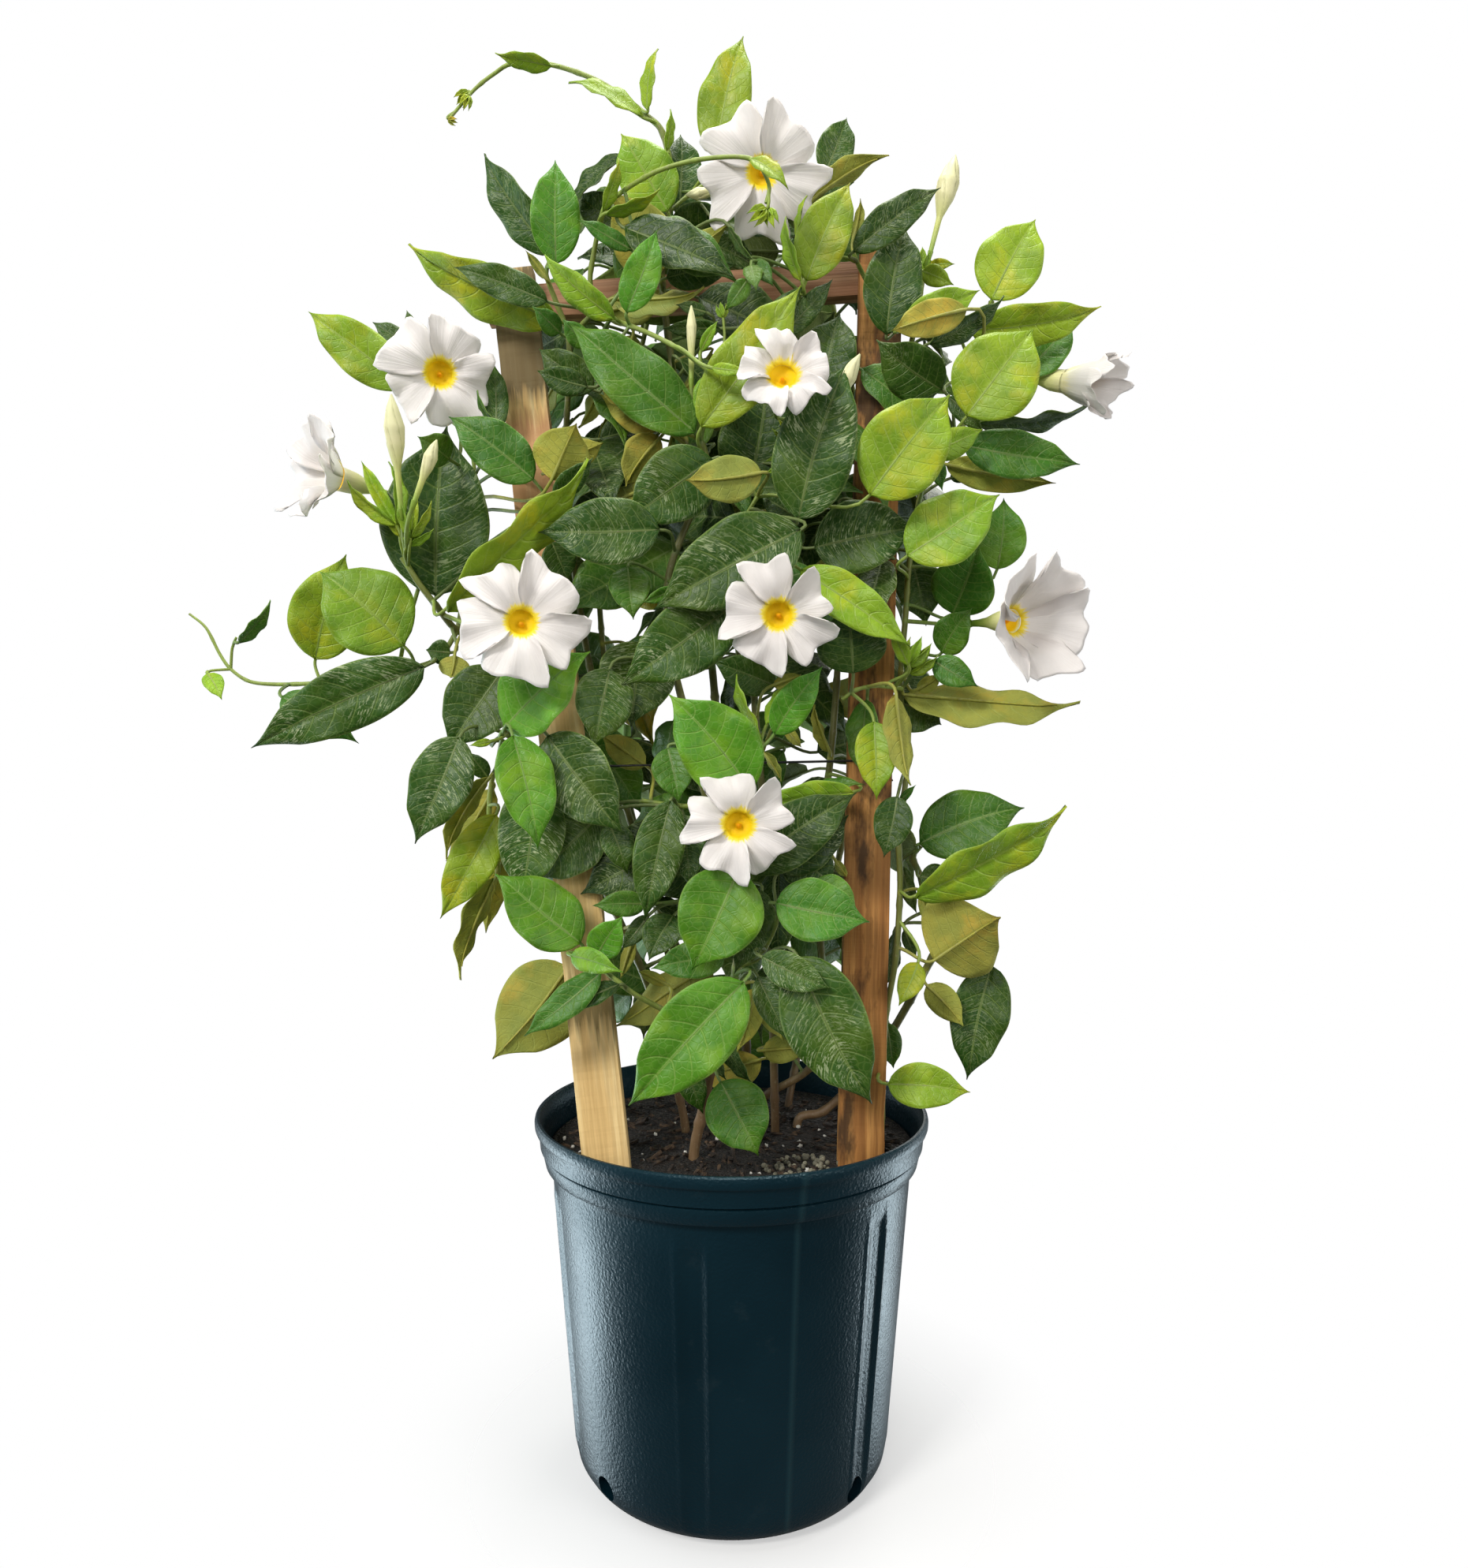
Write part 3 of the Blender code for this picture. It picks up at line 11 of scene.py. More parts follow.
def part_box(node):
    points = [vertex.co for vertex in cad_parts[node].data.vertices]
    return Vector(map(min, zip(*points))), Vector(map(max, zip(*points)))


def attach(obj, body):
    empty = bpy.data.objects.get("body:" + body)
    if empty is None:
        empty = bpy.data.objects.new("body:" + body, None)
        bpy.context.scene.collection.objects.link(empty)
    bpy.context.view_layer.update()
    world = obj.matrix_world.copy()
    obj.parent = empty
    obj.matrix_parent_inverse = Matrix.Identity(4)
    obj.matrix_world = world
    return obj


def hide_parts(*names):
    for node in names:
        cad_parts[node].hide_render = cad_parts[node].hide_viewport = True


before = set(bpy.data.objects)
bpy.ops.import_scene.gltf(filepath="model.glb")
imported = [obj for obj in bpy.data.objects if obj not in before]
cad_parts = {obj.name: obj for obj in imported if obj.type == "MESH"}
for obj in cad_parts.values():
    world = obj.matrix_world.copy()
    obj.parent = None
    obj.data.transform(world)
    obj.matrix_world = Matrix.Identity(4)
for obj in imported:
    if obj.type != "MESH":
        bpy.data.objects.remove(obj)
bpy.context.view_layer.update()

# Eye point. The plant was looked at square on, level, from three quarters of a metre in front of the pot's
# axis and at the height of the middle blooms. The picture is taller than wide, so its long side is upright.
EYE_MM = 763.7
EYE_UP = 0.477
EYE = Vector((0.0, -0.001 * EYE_MM, EYE_UP))
PICTURE_HIGH = 1988
FOCAL_PIXELS = 1339
AXIS_LEFT_OF_MIDDLE_PIXELS = 3.2
camera = bpy.data.objects.new("camera", bpy.data.cameras.new("camera"))
bpy.context.scene.collection.objects.link(camera)
camera.location = EYE
camera.rotation_euler = (math.radians(90), 0, 0)
camera.data.sensor_width = 36
camera.data.lens = 36 * FOCAL_PIXELS / PICTURE_HIGH
camera.data.shift_x = AXIS_LEFT_OF_MIDDLE_PIXELS / PICTURE_HIGH
camera.data.clip_start = 0.02
bpy.context.scene.camera = camera

# Studio. A pale floor, a pale surround, a large soft light at the upper left, weaker ones in front and at the
# right, two from above and behind for the leaf edges, and cool strips at the sides for the sheen of the pot.
def material(name, color, rough=0.5, metal=0.0, specular=0.5):
    """A plain material of one colour; what is drawn on it comes later."""
    mat = bpy.data.materials.new(name)
    mat.use_nodes = True
    shader = mat.node_tree.nodes["Principled BSDF"]
    shader.inputs["Base Color"].default_value = (*color, 1.0)
    shader.inputs["Roughness"].default_value = rough
    shader.inputs["Metallic"].default_value = metal
    shader.inputs["Specular IOR Level"].default_value = specular
    return mat


def select_only(*objects):
    """Selects the given objects alone and makes the first one active."""
    if bpy.context.mode != "OBJECT":
        bpy.ops.object.mode_set(mode="OBJECT")
    bpy.ops.object.select_all(action="DESELECT")
    for ob in objects:
        ob.select_set(True)
    bpy.context.view_layer.objects.active = objects[0] if objects else None


FLOOR_RADIUS, FLOOR_DROP = 1.6, 0.0006
select_only()
bpy.ops.mesh.primitive_circle_add(vertices=96, radius=FLOOR_RADIUS, fill_type="NGON",
                                  location=(0, 0, -FLOOR_DROP))
floor = bpy.context.object
floor.name = "studio_floor"
world = bpy.data.worlds.new("studio_air")
world.use_nodes = True
air = world.node_tree
soft = air.nodes["Background"]
soft.inputs["Color"].default_value = (1.0, 0.985, 0.96, 1)
soft.inputs["Strength"].default_value = 0.15
paper = air.nodes.new("ShaderNodeBackground")
paper.inputs["Color"].default_value = (1, 1, 1, 1)
seen = air.nodes.new("ShaderNodeLightPath")
either = air.nodes.new("ShaderNodeMixShader")
air.links.new(seen.outputs["Is Camera Ray"], either.inputs[0])
air.links.new(soft.outputs[0], either.inputs[1])
air.links.new(paper.outputs[0], either.inputs[2])
air.links.new(either.outputs[0], air.nodes["World Output"].inputs["Surface"])
bpy.context.scene.world = world
bpy.context.scene.view_settings.view_transform = "Standard"
# name, place, side in metres, watts
LIGHTS = (("key_light", (-1.5, -2.0, 2.2), 0.7, 62),
          ("fill_light", (1.9, -1.5, 0.9), 1.2, 19),
          ("front_light", (-0.4, -2.4, 1.2), 0.8, 13),
          ("top_light", (0.1, -0.1, 2.3), 0.8, 26),
          ("back_light", (0.9, 1.9, 1.7), 1.2, 18),
          ("left_strip", (-1.5, 0.40, 0.40), 2.0, 24),
          ("right_strip", (1.5, 1.00, 0.40), 1.1, 5.5),
          ("left_low_strip", (-1.1, 0.45, -0.50), 0.9, 1.35),
          ("right_low_strip", (1.15, 0.60, -0.45), 0.7, 0.6))
DAYLIGHT, COOL_LIGHT = (1.0, 0.98, 0.94), (0.80, 0.93, 1.0)
POT_MIDDLE_UP, LEAVES_MIDDLE_UP = 0.2, 0.5
NARROW_SPREAD, WIDE_SPREAD = 40, 180
for name, place_at, size, watts in LIGHTS:
    light = bpy.data.objects.new(name, bpy.data.lights.new(name, "AREA"))
    bpy.context.scene.collection.objects.link(light)
    light.location = place_at
    aim_at = Vector((0, 0, POT_MIDDLE_UP if "strip" in name else LEAVES_MIDDLE_UP))
    light.rotation_euler = (aim_at - light.location).to_track_quat("-Z", "Y").to_euler()
    light.data.size = size
    light.visible_camera = False
    light.data.spread = math.radians(NARROW_SPREAD if "low" in name else WIDE_SPREAD)
    light.data.energy = watts
    light.data.color = COOL_LIGHT if "strip" in name else DAYLIGHT


def node(mat, kind, sockets=None, **settings):
    """Adds a shader node; a socket is given a value or joined to another node's output."""
    made = mat.node_tree.nodes.new("ShaderNode" + kind)
    for key, value in settings.items():
        setattr(made, key, value)
    for key, value in (sockets or {}).items():
        if isinstance(value, bpy.types.NodeSocket):
            mat.node_tree.links.new(value, made.inputs[key])
        else:
            made.inputs[key].default_value = value
    return made


def sum_of(mat, operation, a, b=0.0, c=0.0):
    """Arithmetic on sockets or numbers."""
    return node(mat, "Math", {0: a, 1: b, 2: c}, operation=operation).outputs[0]


def mixed(mat, factor, a, b, how="MIX"):
    """Blend of two colours, each a socket or three numbers."""
    a, b = (x if isinstance(x, bpy.types.NodeSocket) else (*x, 1.0) for x in (a, b))
    return node(mat, "Mix", {0: factor, 6: a, 7: b}, data_type="RGBA", blend_type=how).outputs[2]


def ramp(mat, factor, *stops):
    """Colour ramp; stops are (place, colour or grey)."""
    made = node(mat, "ValToRGB", {0: factor})
    band = made.color_ramp.elements
    while len(band) < len(stops):
        band.new(0.5)
    for element, (place, color) in zip(band, stops):
        element.position = place
        element.color = (*(color if isinstance(color, tuple) else (color,) * 3), 1.0)
    return made.outputs[0]


def grain(mat, at, scale, detail=3.0, stretch=None, rough=0.5):
    """Noise on the given coordinates, drawn out along an axis if stretch is given."""
    if stretch:
        at = node(mat, "Mapping", {"Vector": at, "Scale": stretch}).outputs[0]
    sockets = {"Vector": at, "Scale": scale, "Detail": detail, "Roughness": rough}
    return node(mat, "TexNoise", sockets).outputs[0]


def finish_with(mat, color=None, rough=None, bump=None, depth=0.001, strength=1.0):
    """Joins colour, roughness and a height to the material's shader."""
    shader = mat.node_tree.nodes["Principled BSDF"]
    for key, value in (("Base Color", color), ("Roughness", rough)):
        if value is not None:
            mat.node_tree.links.new(value, shader.inputs[key])
    if bump is not None:
        made = node(mat, "Bump", {"Height": bump, "Distance": depth, "Strength": strength})
        mat.node_tree.links.new(made.outputs[0], shader.inputs["Normal"])


floor_paint = material("floor_paint", (0.86, 0.86, 0.86), 0.9, specular=0.1)
at = node(floor_paint, "TexCoord").outputs["Object"]
far = node(floor_paint, "VectorMath", {0: at}, operation="LENGTH")
straight = node(floor_paint, "LightPath").outputs["Is Camera Ray"]
finish_with(floor_paint, mixed(floor_paint, straight, (0.25, 0.25, 0.25), (0.88, 0.88, 0.88)))
fading = ramp(floor_paint, far.outputs["Value"], (0.10, 0.45), (0.27, 1.0))
faded = node(floor_paint, "MixShader", {0: fading,
                                        1: floor_paint.node_tree.nodes["Principled BSDF"].outputs[0],
                                        2: node(floor_paint, "BsdfTransparent").outputs[0]})
floor_paint.node_tree.links.new(faded.outputs[0], floor_paint.node_tree.nodes["Material Output"].inputs[0])
floor.data.materials.append(floor_paint)


# Nursery pot. A thin blow-moulded plastic can, dark blue-green with a fine pebbled skin: rolled lip, two
# bands with a groove between them, shallow upright channels, one mould seam and four drain holes at the
# bottom edge. PROFILE goes out, up, over the lip and down again inside: (radius, height) in metres.
PROFILE = ((0.0920, 0.0000), (0.1000, 0.0022), (0.1060, 0.0060), (0.1095, 0.0115), (0.1115, 0.0220),
           (0.1137, 0.0480), (0.1202, 0.1230), (0.1252, 0.1820), (0.1262, 0.1925), (0.1267, 0.1990),
           (0.1270, 0.2085), (0.1275, 0.2112), (0.1318, 0.2118), (0.1324, 0.2126), (0.1344, 0.2212),
           (0.1343, 0.2222), (0.1334, 0.2228), (0.1343, 0.2235), (0.1360, 0.2243), (0.1370, 0.2345),
           (0.1376, 0.2358), (0.1392, 0.2364), (0.1398, 0.2380), (0.1400, 0.2410), (0.1396, 0.2430),
           (0.1384, 0.2440), (0.1368, 0.2440), (0.1357, 0.2430), (0.1330, 0.2380), (0.1313, 0.2330),
           (0.1302, 0.2190), (0.1250, 0.2140), (0.1092, 0.0220), (0.0920, 0.0032))
POT_AROUND = 480
CHANNEL_FIRST, CHANNEL_STEP = -11.5, 60.0     # degrees from the front, towards the right
CHANNEL_HALF = 4.1                            # degrees; the channels narrow with the pot
CHANNEL_WALLS = 2.6, 1.2                      # degrees that the left and the right side take to go down
CHANNEL_DEEP = 0.0020
CHANNEL_FOOT, CHANNEL_HEAD, CHANNEL_RUN_OUT = 0.012, 0.1985, 0.012
RIDGE_WIDE, RIDGE_HIGH = 1.0, 0.0005          # a low ridge beside each channel; its width in degrees
WALL_AT_FOOT, WALL_SLOPE = 0.1095, 0.083      # only the outer wall lies outside this cone
SEAM_ANGLE = 18.5
DRAIN_ANGLES = (-48, 47, 133, -132)
DRAIN_RADIUS, DRAIN_UP, DRAIN_OUT = 0.0082, 0.0165, 0.109

bpy.ops.mesh.primitive_circle_add(vertices=POT_AROUND, radius=PROFILE[0][0], fill_type="NGON")
pot = bpy.context.object
pot.name = "pot_shell"
bpy.ops.object.mode_set(mode="EDIT")
bpy.ops.mesh.select_all(action="SELECT")
for (r0, z0), (r1, z1) in zip(PROFILE, PROFILE[1:]):
    bpy.ops.mesh.extrude_region_move(TRANSFORM_OT_translate={"value": (0, 0, z1 - z0)})
    bpy.ops.transform.resize(value=(r1 / r0, r1 / r0, 1), center_override=(0, 0, 0))
bpy.ops.mesh.select_all(action="SELECT")
bpy.ops.mesh.normals_make_consistent(inside=False)
bpy.ops.object.mode_set(mode="OBJECT")
for v in pot.data.vertices:
    r = math.hypot(v.co.x, v.co.y)
    if not CHANNEL_FOOT < v.co.z < CHANNEL_HEAD or r < WALL_AT_FOOT + WALL_SLOPE * (v.co.z - CHANNEL_FOOT):
        continue
    angle = math.degrees(math.atan2(v.co.x, -v.co.y))
    off = (angle - CHANNEL_FIRST + CHANNEL_STEP / 2) % CHANNEL_STEP - CHANNEL_STEP / 2
    ends = min(1.0, max(0.0, (v.co.z - CHANNEL_FOOT) / CHANNEL_RUN_OUT))
    inside_edge = CHANNEL_HALF - abs(off)
    wall = CHANNEL_WALLS[0] if off < 0 else CHANNEL_WALLS[1]
    push = -CHANNEL_DEEP * min(1.0, max(0.0, inside_edge / wall))
    if -RIDGE_WIDE < inside_edge < 0:
        push = RIDGE_HIGH
    v.co.x, v.co.y = (c * (1 + push * ends / r) for c in v.co.xy)
for angle in DRAIN_ANGLES:
    t = math.radians(angle)
    place_at = (DRAIN_OUT * math.sin(t), -DRAIN_OUT * math.cos(t), DRAIN_UP)
    bpy.ops.mesh.primitive_cylinder_add(vertices=20, radius=DRAIN_RADIUS, depth=0.030, location=place_at,
                                        rotation=(math.radians(90), 0, t))
    cutter = bpy.context.object
    cut = pot.modifiers.new("drain", "BOOLEAN")
    cut.operation = "DIFFERENCE"
    cut.object = cutter
    select_only(pot)
    bpy.ops.object.modifier_apply(modifier="drain")
    bpy.data.objects.remove(cutter)
select_only(pot)
bpy.ops.object.shade_smooth_by_angle(angle=math.radians(32))

pot_plastic = material("pebbled_pot_plastic", (0.004, 0.012, 0.017), 0.36, specular=0.32)
pot_plastic.node_tree.nodes["Principled BSDF"].inputs["Specular Tint"].default_value = (0.62, 0.90, 1.0, 1.0)
at = node(pot_plastic, "TexCoord").outputs["Object"]
pebble = grain(pot_plastic, at, 520, 1.0)
cloud = grain(pot_plastic, at, 9, 4.0)
dust = ramp(pot_plastic, grain(pot_plastic, at, 34, 6.0, rough=0.7), (0.60, 0.0), (0.74, 1.0))
turn = node(pot_plastic, "Mapping", {"Vector": at, "Rotation": (0, 0, math.radians(90 - SEAM_ANGLE))})
sweep = node(pot_plastic, "TexGradient", {"Vector": turn.outputs[0]}, gradient_type="RADIAL").outputs[1]
seam_ridge_and_highlight = ramp(pot_plastic, sweep, (0.4987, 0.0), (0.4997, 1.0), (0.5003, 1.0), (0.5013, 0.0))
colour = ramp(pot_plastic, cloud, (0.35, (0.0012, 0.0115, 0.0185)), (0.65, (0.0026, 0.0170, 0.0265)))
colour = mixed(pot_plastic, sum_of(pot_plastic, "MULTIPLY", dust, 0.06), colour, (0.10, 0.12, 0.12))
# Along the mould seam the plastic is coloured lighter: a painted highlight on its ridge, which the bump also
# raises.
colour = mixed(pot_plastic, sum_of(pot_plastic, "MULTIPLY", seam_ridge_and_highlight, 0.36), colour, (0.022, 0.060, 0.070))
finish_with(pot_plastic, colour, ramp(pot_plastic, cloud, (0.3, 0.27), (0.7, 0.38)),
            sum_of(pot_plastic, "ADD", pebble, sum_of(pot_plastic, "MULTIPLY", seam_ridge_and_highlight, 0.8)), 0.0005, 0.75)
pot.data.materials.append(pot_plastic)
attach(pot, "root")
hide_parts("nursery_pot")


# Potting mix. Damp near-black bark and peat, uneven on top, with chips of bark, white perlite and a spill of
# round beige feed pellets at the right front; it fills the pot to 22 mm below the rim.
SOIL_Z = 0.222
SOIL_RADIUS = 0.1290
SOIL_FLOOR = 0.0035
SOIL_FLOOR_RADIUS = 0.0915
CLEAR_OF_WALL = 0.1235


def soil_height(x, y):
    """Height of the uneven top of the mix."""
    lumps = noise.noise(Vector((x * 60, y * 60, 0.3))) * 0.0016
    small_lumps = noise.noise(Vector((x * 210, y * 210, 4.1))) * 0.0009
    return SOIL_Z - 0.0006 + (lumps + small_lumps)


bpy.ops.mesh.primitive_circle_add(vertices=120, radius=SOIL_FLOOR_RADIUS, fill_type="NGON",
                                  location=(0, 0, SOIL_FLOOR))
soil = bpy.context.object
soil.name = "soil_mix"
bpy.ops.object.mode_set(mode="EDIT")
bpy.ops.mesh.select_all(action="SELECT")
rings = [(SOIL_FLOOR_RADIUS, SOIL_FLOOR), (0.1085, 0.0222), (0.1243, 0.2139), (0.1296, 0.2193),
         (SOIL_RADIUS, 0.2212)]
rings += [(SOIL_RADIUS - 0.0043 * i, SOIL_Z) for i in range(1, 30)]
for (r0, z0), (r1, z1) in zip(rings, rings[1:]):
    bpy.ops.mesh.extrude_region_move(TRANSFORM_OT_translate={"value": (0, 0, z1 - z0)})
    bpy.ops.transform.resize(value=(r1 / r0, r1 / r0, 1), center_override=(0, 0, SOIL_FLOOR))
bpy.ops.mesh.select_all(action="SELECT")
bpy.ops.mesh.normals_make_consistent(inside=False)
bpy.ops.object.mode_set(mode="OBJECT")
select_only(soil)
bpy.ops.object.transform_apply()
for v in soil.data.vertices:
    if v.co.z > SOIL_Z - 0.0005:
        v.co.z = soil_height(v.co.x, v.co.y)
bpy.ops.object.shade_smooth_by_angle(angle=math.radians(50))
soil_dark = material("damp_bark_mix", (0.014, 0.010, 0.008), 0.85)
at = node(soil_dark, "TexCoord").outputs["Object"]
crumbs = node(soil_dark, "TexVoronoi", {"Vector": at, "Scale": 420.0}).outputs["Distance"]
specks = grain(soil_dark, at, 300, 5.0, rough=0.7)
colour = ramp(soil_dark, specks, (0.38, (0.004, 0.003, 0.0027)), (0.55, (0.014, 0.0095, 0.007)),
              (0.68, (0.045, 0.029, 0.019)))
finish_with(soil_dark, colour, ramp(soil_dark, specks, (0.4, 0.95), (0.65, 0.6)), crumbs, 0.0022)
soil.data.materials.append(soil_dark)
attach(soil, "root")
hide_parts("potting_soil")


def scatter(name, mat, masters, places):
    """Copies small shapes to places (x, y, lift, size, turns), each with its own mesh, and joins them."""
    made = []
    for i, (x, y, lift, size, turns) in enumerate(places):
        one = masters[i % len(masters)].copy()
        one.data = one.data.copy()
        bpy.context.scene.collection.objects.link(one)
        one.rotation_euler = turns
        one.scale = (size,) * 3
        one.location = (x, y, soil_height(x, y) + lift * size)
        made.append(one)
    for ob in masters:
        bpy.data.objects.remove(ob)
    select_only(*made)
    bpy.ops.object.join()
    bpy.ops.object.transform_apply()
    piece = bpy.context.object
    piece.name = name
    piece.data.materials.clear()
    piece.data.materials.append(mat)
    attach(piece, "root")


def pebble_master(squash, rough_edge, detail):
    """One rounded grain, unit size."""
    bpy.ops.mesh.primitive_ico_sphere_add(subdivisions=detail, radius=0.5)
    one = bpy.context.object
    for v in one.data.vertices:
        v.co *= 1 + rough_edge * noise.noise(v.co * 3.1 + Vector((squash, detail, 0)))
        v.co.z *= squash
    bpy.ops.object.shade_smooth()
    return one


stir = random.Random(77)


def spots_on_soil(count, sizes, lift, tilt=3.1, centre=(0, 0), spread=0.121):
    """Places for small shapes on the mix, clear of the pot's wall."""
    rows = []
    while len(rows) < count:
        a, r = stir.uniform(0, 6.283), spread * math.sqrt(stir.random())
        x, y = centre[0] + r * math.cos(a), centre[1] + r * math.sin(a)
        if math.hypot(x, y) < CLEAR_OF_WALL:
            size = stir.uniform(*sizes)
            rows.append((x, y, lift, size, (stir.uniform(-tilt, tilt), stir.uniform(-tilt, tilt), a)))
    return rows


bark = material("bark_chips", (0.05, 0.03, 0.018), 0.8)
at = node(bark, "TexCoord").outputs["Object"]
chips = grain(bark, at, 160, 3.0)
finish_with(bark, ramp(bark, chips, (0.36, (0.008, 0.006, 0.005)), (0.52, (0.030, 0.018, 0.011)),
                       (0.70, (0.11, 0.066, 0.036))), None, chips, 0.0008)
perlite = material("perlite_white", (0.62, 0.60, 0.55), 0.9)
pellets = material("feed_pellets", (0.20, 0.18, 0.12), 0.6)
at = node(pellets, "TexCoord").outputs["Object"]
colour = ramp(pellets, grain(pellets, at, 120, 2.0), (0.35, (0.075, 0.070, 0.045)),
              (0.65, (0.26, 0.24, 0.17)))
finish_with(pellets, colour)

chip_masters = []
for i in range(5):
    bpy.ops.mesh.primitive_cube_add(size=1)
    chip = bpy.context.object
    bpy.ops.object.mode_set(mode="EDIT")
    bpy.ops.transform.resize(value=(1.0 + 0.35 * i, 0.55, 0.22 + 0.05 * i))
    bpy.ops.mesh.subdivide(number_cuts=1)
    bpy.ops.object.mode_set(mode="OBJECT")
    for v in chip.data.vertices:
        v.co += Vector([noise.noise(v.co * 2.3 + Vector((i, k * 9, 0))) * 0.22 for k in range(3)])
    chip_masters.append(chip)
scatter("soil_bark_chips", bark, chip_masters, spots_on_soil(520, (0.0022, 0.0062), 0.12, 0.5))
scatter("soil_perlite", perlite, [pebble_master(0.8, 0.5, 2), pebble_master(0.65, 0.7, 2)],
        spots_on_soil(70, (0.0016, 0.0038), 0.18))
scatter("soil_feed_pellets", pellets, [pebble_master(0.95, 0.12, 2)],
        spots_on_soil(130, (0.0028, 0.0038), 0.36, 3.1, (0.052, -0.072), 0.034))


# Trellis boards. Two rough-sawn pine stakes stand in the mix and lean apart; a third board is nailed across
# behind their tops. The left one is pale with darker bands, the right one orange with dark knots.
def spot(x, z, f):
    """A point sighted at x across and z up (mm, in the plane through the pot's axis), f mm nearer."""
    k = 1.0 - f / EYE_MM
    return Vector((x * 0.001 * k, -0.001 * f, EYE_UP + (z * 0.001 - EYE_UP) * k))


def along(a, b, z):
    """The point at height z on the line through a and b."""
    return a + (b - a) * ((z - a.z) / (b.z - a.z))


def stake_frame(foot, top):
    """Axes of a stake: along it, across its face and through it."""
    a = (top - foot).normalized()
    w = Vector((1, 0, 0)) - a * a.x
    w.normalize()
    return a, w, a.cross(w)


WOOD_W, WOOD_T, RAIL_H = 0.0315, 0.012, 0.027
BOARD_ROWS = 40
RAIL_GAP, RAIL_Z = 0.0003, 0.833
LEFT_A, LEFT_B = spot(-90, 203, 64), spot(-156.5, 832, 0)
RIGHT_A, RIGHT_B = spot(93, 200, 52), spot(107.3, 835, 0)
LEFT_FOOT, LEFT_TOP = along(LEFT_A, LEFT_B, 0.165), along(LEFT_A, LEFT_B, 0.848)
RIGHT_FOOT, RIGHT_TOP = along(RIGHT_A, RIGHT_B, 0.165), along(RIGHT_A, RIGHT_B, 0.868)
STAKES = {"left": (LEFT_FOOT, LEFT_TOP), "right": (RIGHT_FOOT, RIGHT_TOP)}


def rail_setting():
    """The rail lies 0.3 mm behind the backs of both stakes, tilted as they lean."""
    a = spot(-176, 822, -12)
    b = spot(126, 843.5, -12)
    r = (b - a).normalized()
    up = ((LEFT_B - LEFT_A).normalized() + (RIGHT_B - RIGHT_A).normalized()).normalized()
    up = (up - r * up.dot(r)).normalized()
    back = up.cross(r)
    if back.y < 0:
        back = -back
    gap = 1.0
    for foot, top in STAKES.values():
        across, through = stake_frame(foot, top)[1:]
        if through.y < 0:
            through = -through
        for zz in (-0.020, 0.0, 0.020):
            mid = along(foot, top, min(RAIL_Z + zz, top.z))
            for e in (-1, 1):
                c = mid + across * (WOOD_W * 0.5 * e) + through * (WOOD_T * 0.5)
                gap = min(gap, (a - c).dot(back) - WOOD_T * 0.5)
    shift = back * (RAIL_GAP - gap)
    return a + shift, b + shift, (r, up, back)


RAIL_A, RAIL_B, RAIL_FRAME = rail_setting()


def wood(name, pale, dark, fibre, bands=(), blotch=0.0):
    """Sawn pine read from the board's own 'board' attribute: x across, y through, z along, in metres.
    bands are (from z, to z, colour, strength) of lengths given another colour."""
    mat = material(name, pale, 0.72, specular=0.3)
    at = node(mat, "Attribute", attribute_name="board").outputs["Vector"]
    rings = grain(mat, at, 26, 4.0, (5.0, 5.0, 0.22))
    lines = grain(mat, at, 320, 4.0, (1.0, 1.0, 0.035), 0.65)
    cuts = grain(mat, at, 240, 2.0, (0.08, 1.0, 1.2))
    colour = ramp(mat, rings, (0.30, dark), (0.48, pale), (0.62, fibre), (0.74, pale))
    colour = mixed(mat, ramp(mat, lines, (0.42, 0.55), (0.60, 0.0)), colour, dark)
    z = node(mat, "SeparateXYZ", {"Vector": at}).outputs["Z"]
    frayed = sum_of(mat, "MULTIPLY_ADD", lines, 0.05, z)
    for low, high, tone, much in bands:
        a = sum_of(mat, "MULTIPLY", sum_of(mat, "SUBTRACT", frayed, low + 0.025), 60.0)
        b = sum_of(mat, "MULTIPLY", sum_of(mat, "SUBTRACT", high + 0.025, frayed), 60.0)
        inside = node(mat, "Clamp", {"Value": sum_of(mat, "MINIMUM", a, b)}).outputs[0]
        colour = mixed(mat, sum_of(mat, "MULTIPLY", inside, much), colour, tone)
    if blotch:
        stains = grain(mat, at, 30, 5.0, (1.4, 1.4, 0.45), 0.62)
        colour = mixed(mat, ramp(mat, stains, (0.50, 0.0), (0.60, blotch)), colour, (0.030, 0.016, 0.007))
    drawn_out = node(mat, "Mapping", {"Vector": at, "Scale": (1, 1, 0.42)}).outputs[0]
    knots = node(mat, "TexVoronoi", {"Vector": drawn_out, "Scale": 17.0}).outputs["Distance"]
    colour = mixed(mat, ramp(mat, knots, (0.055, 0.85), (0.105, 0.0)), colour, (0.045, 0.022, 0.010))
    finish_with(mat, colour, None, sum_of(mat, "MULTIPLY_ADD", cuts, 0.7, lines), 0.0007, 0.8)
    return mat


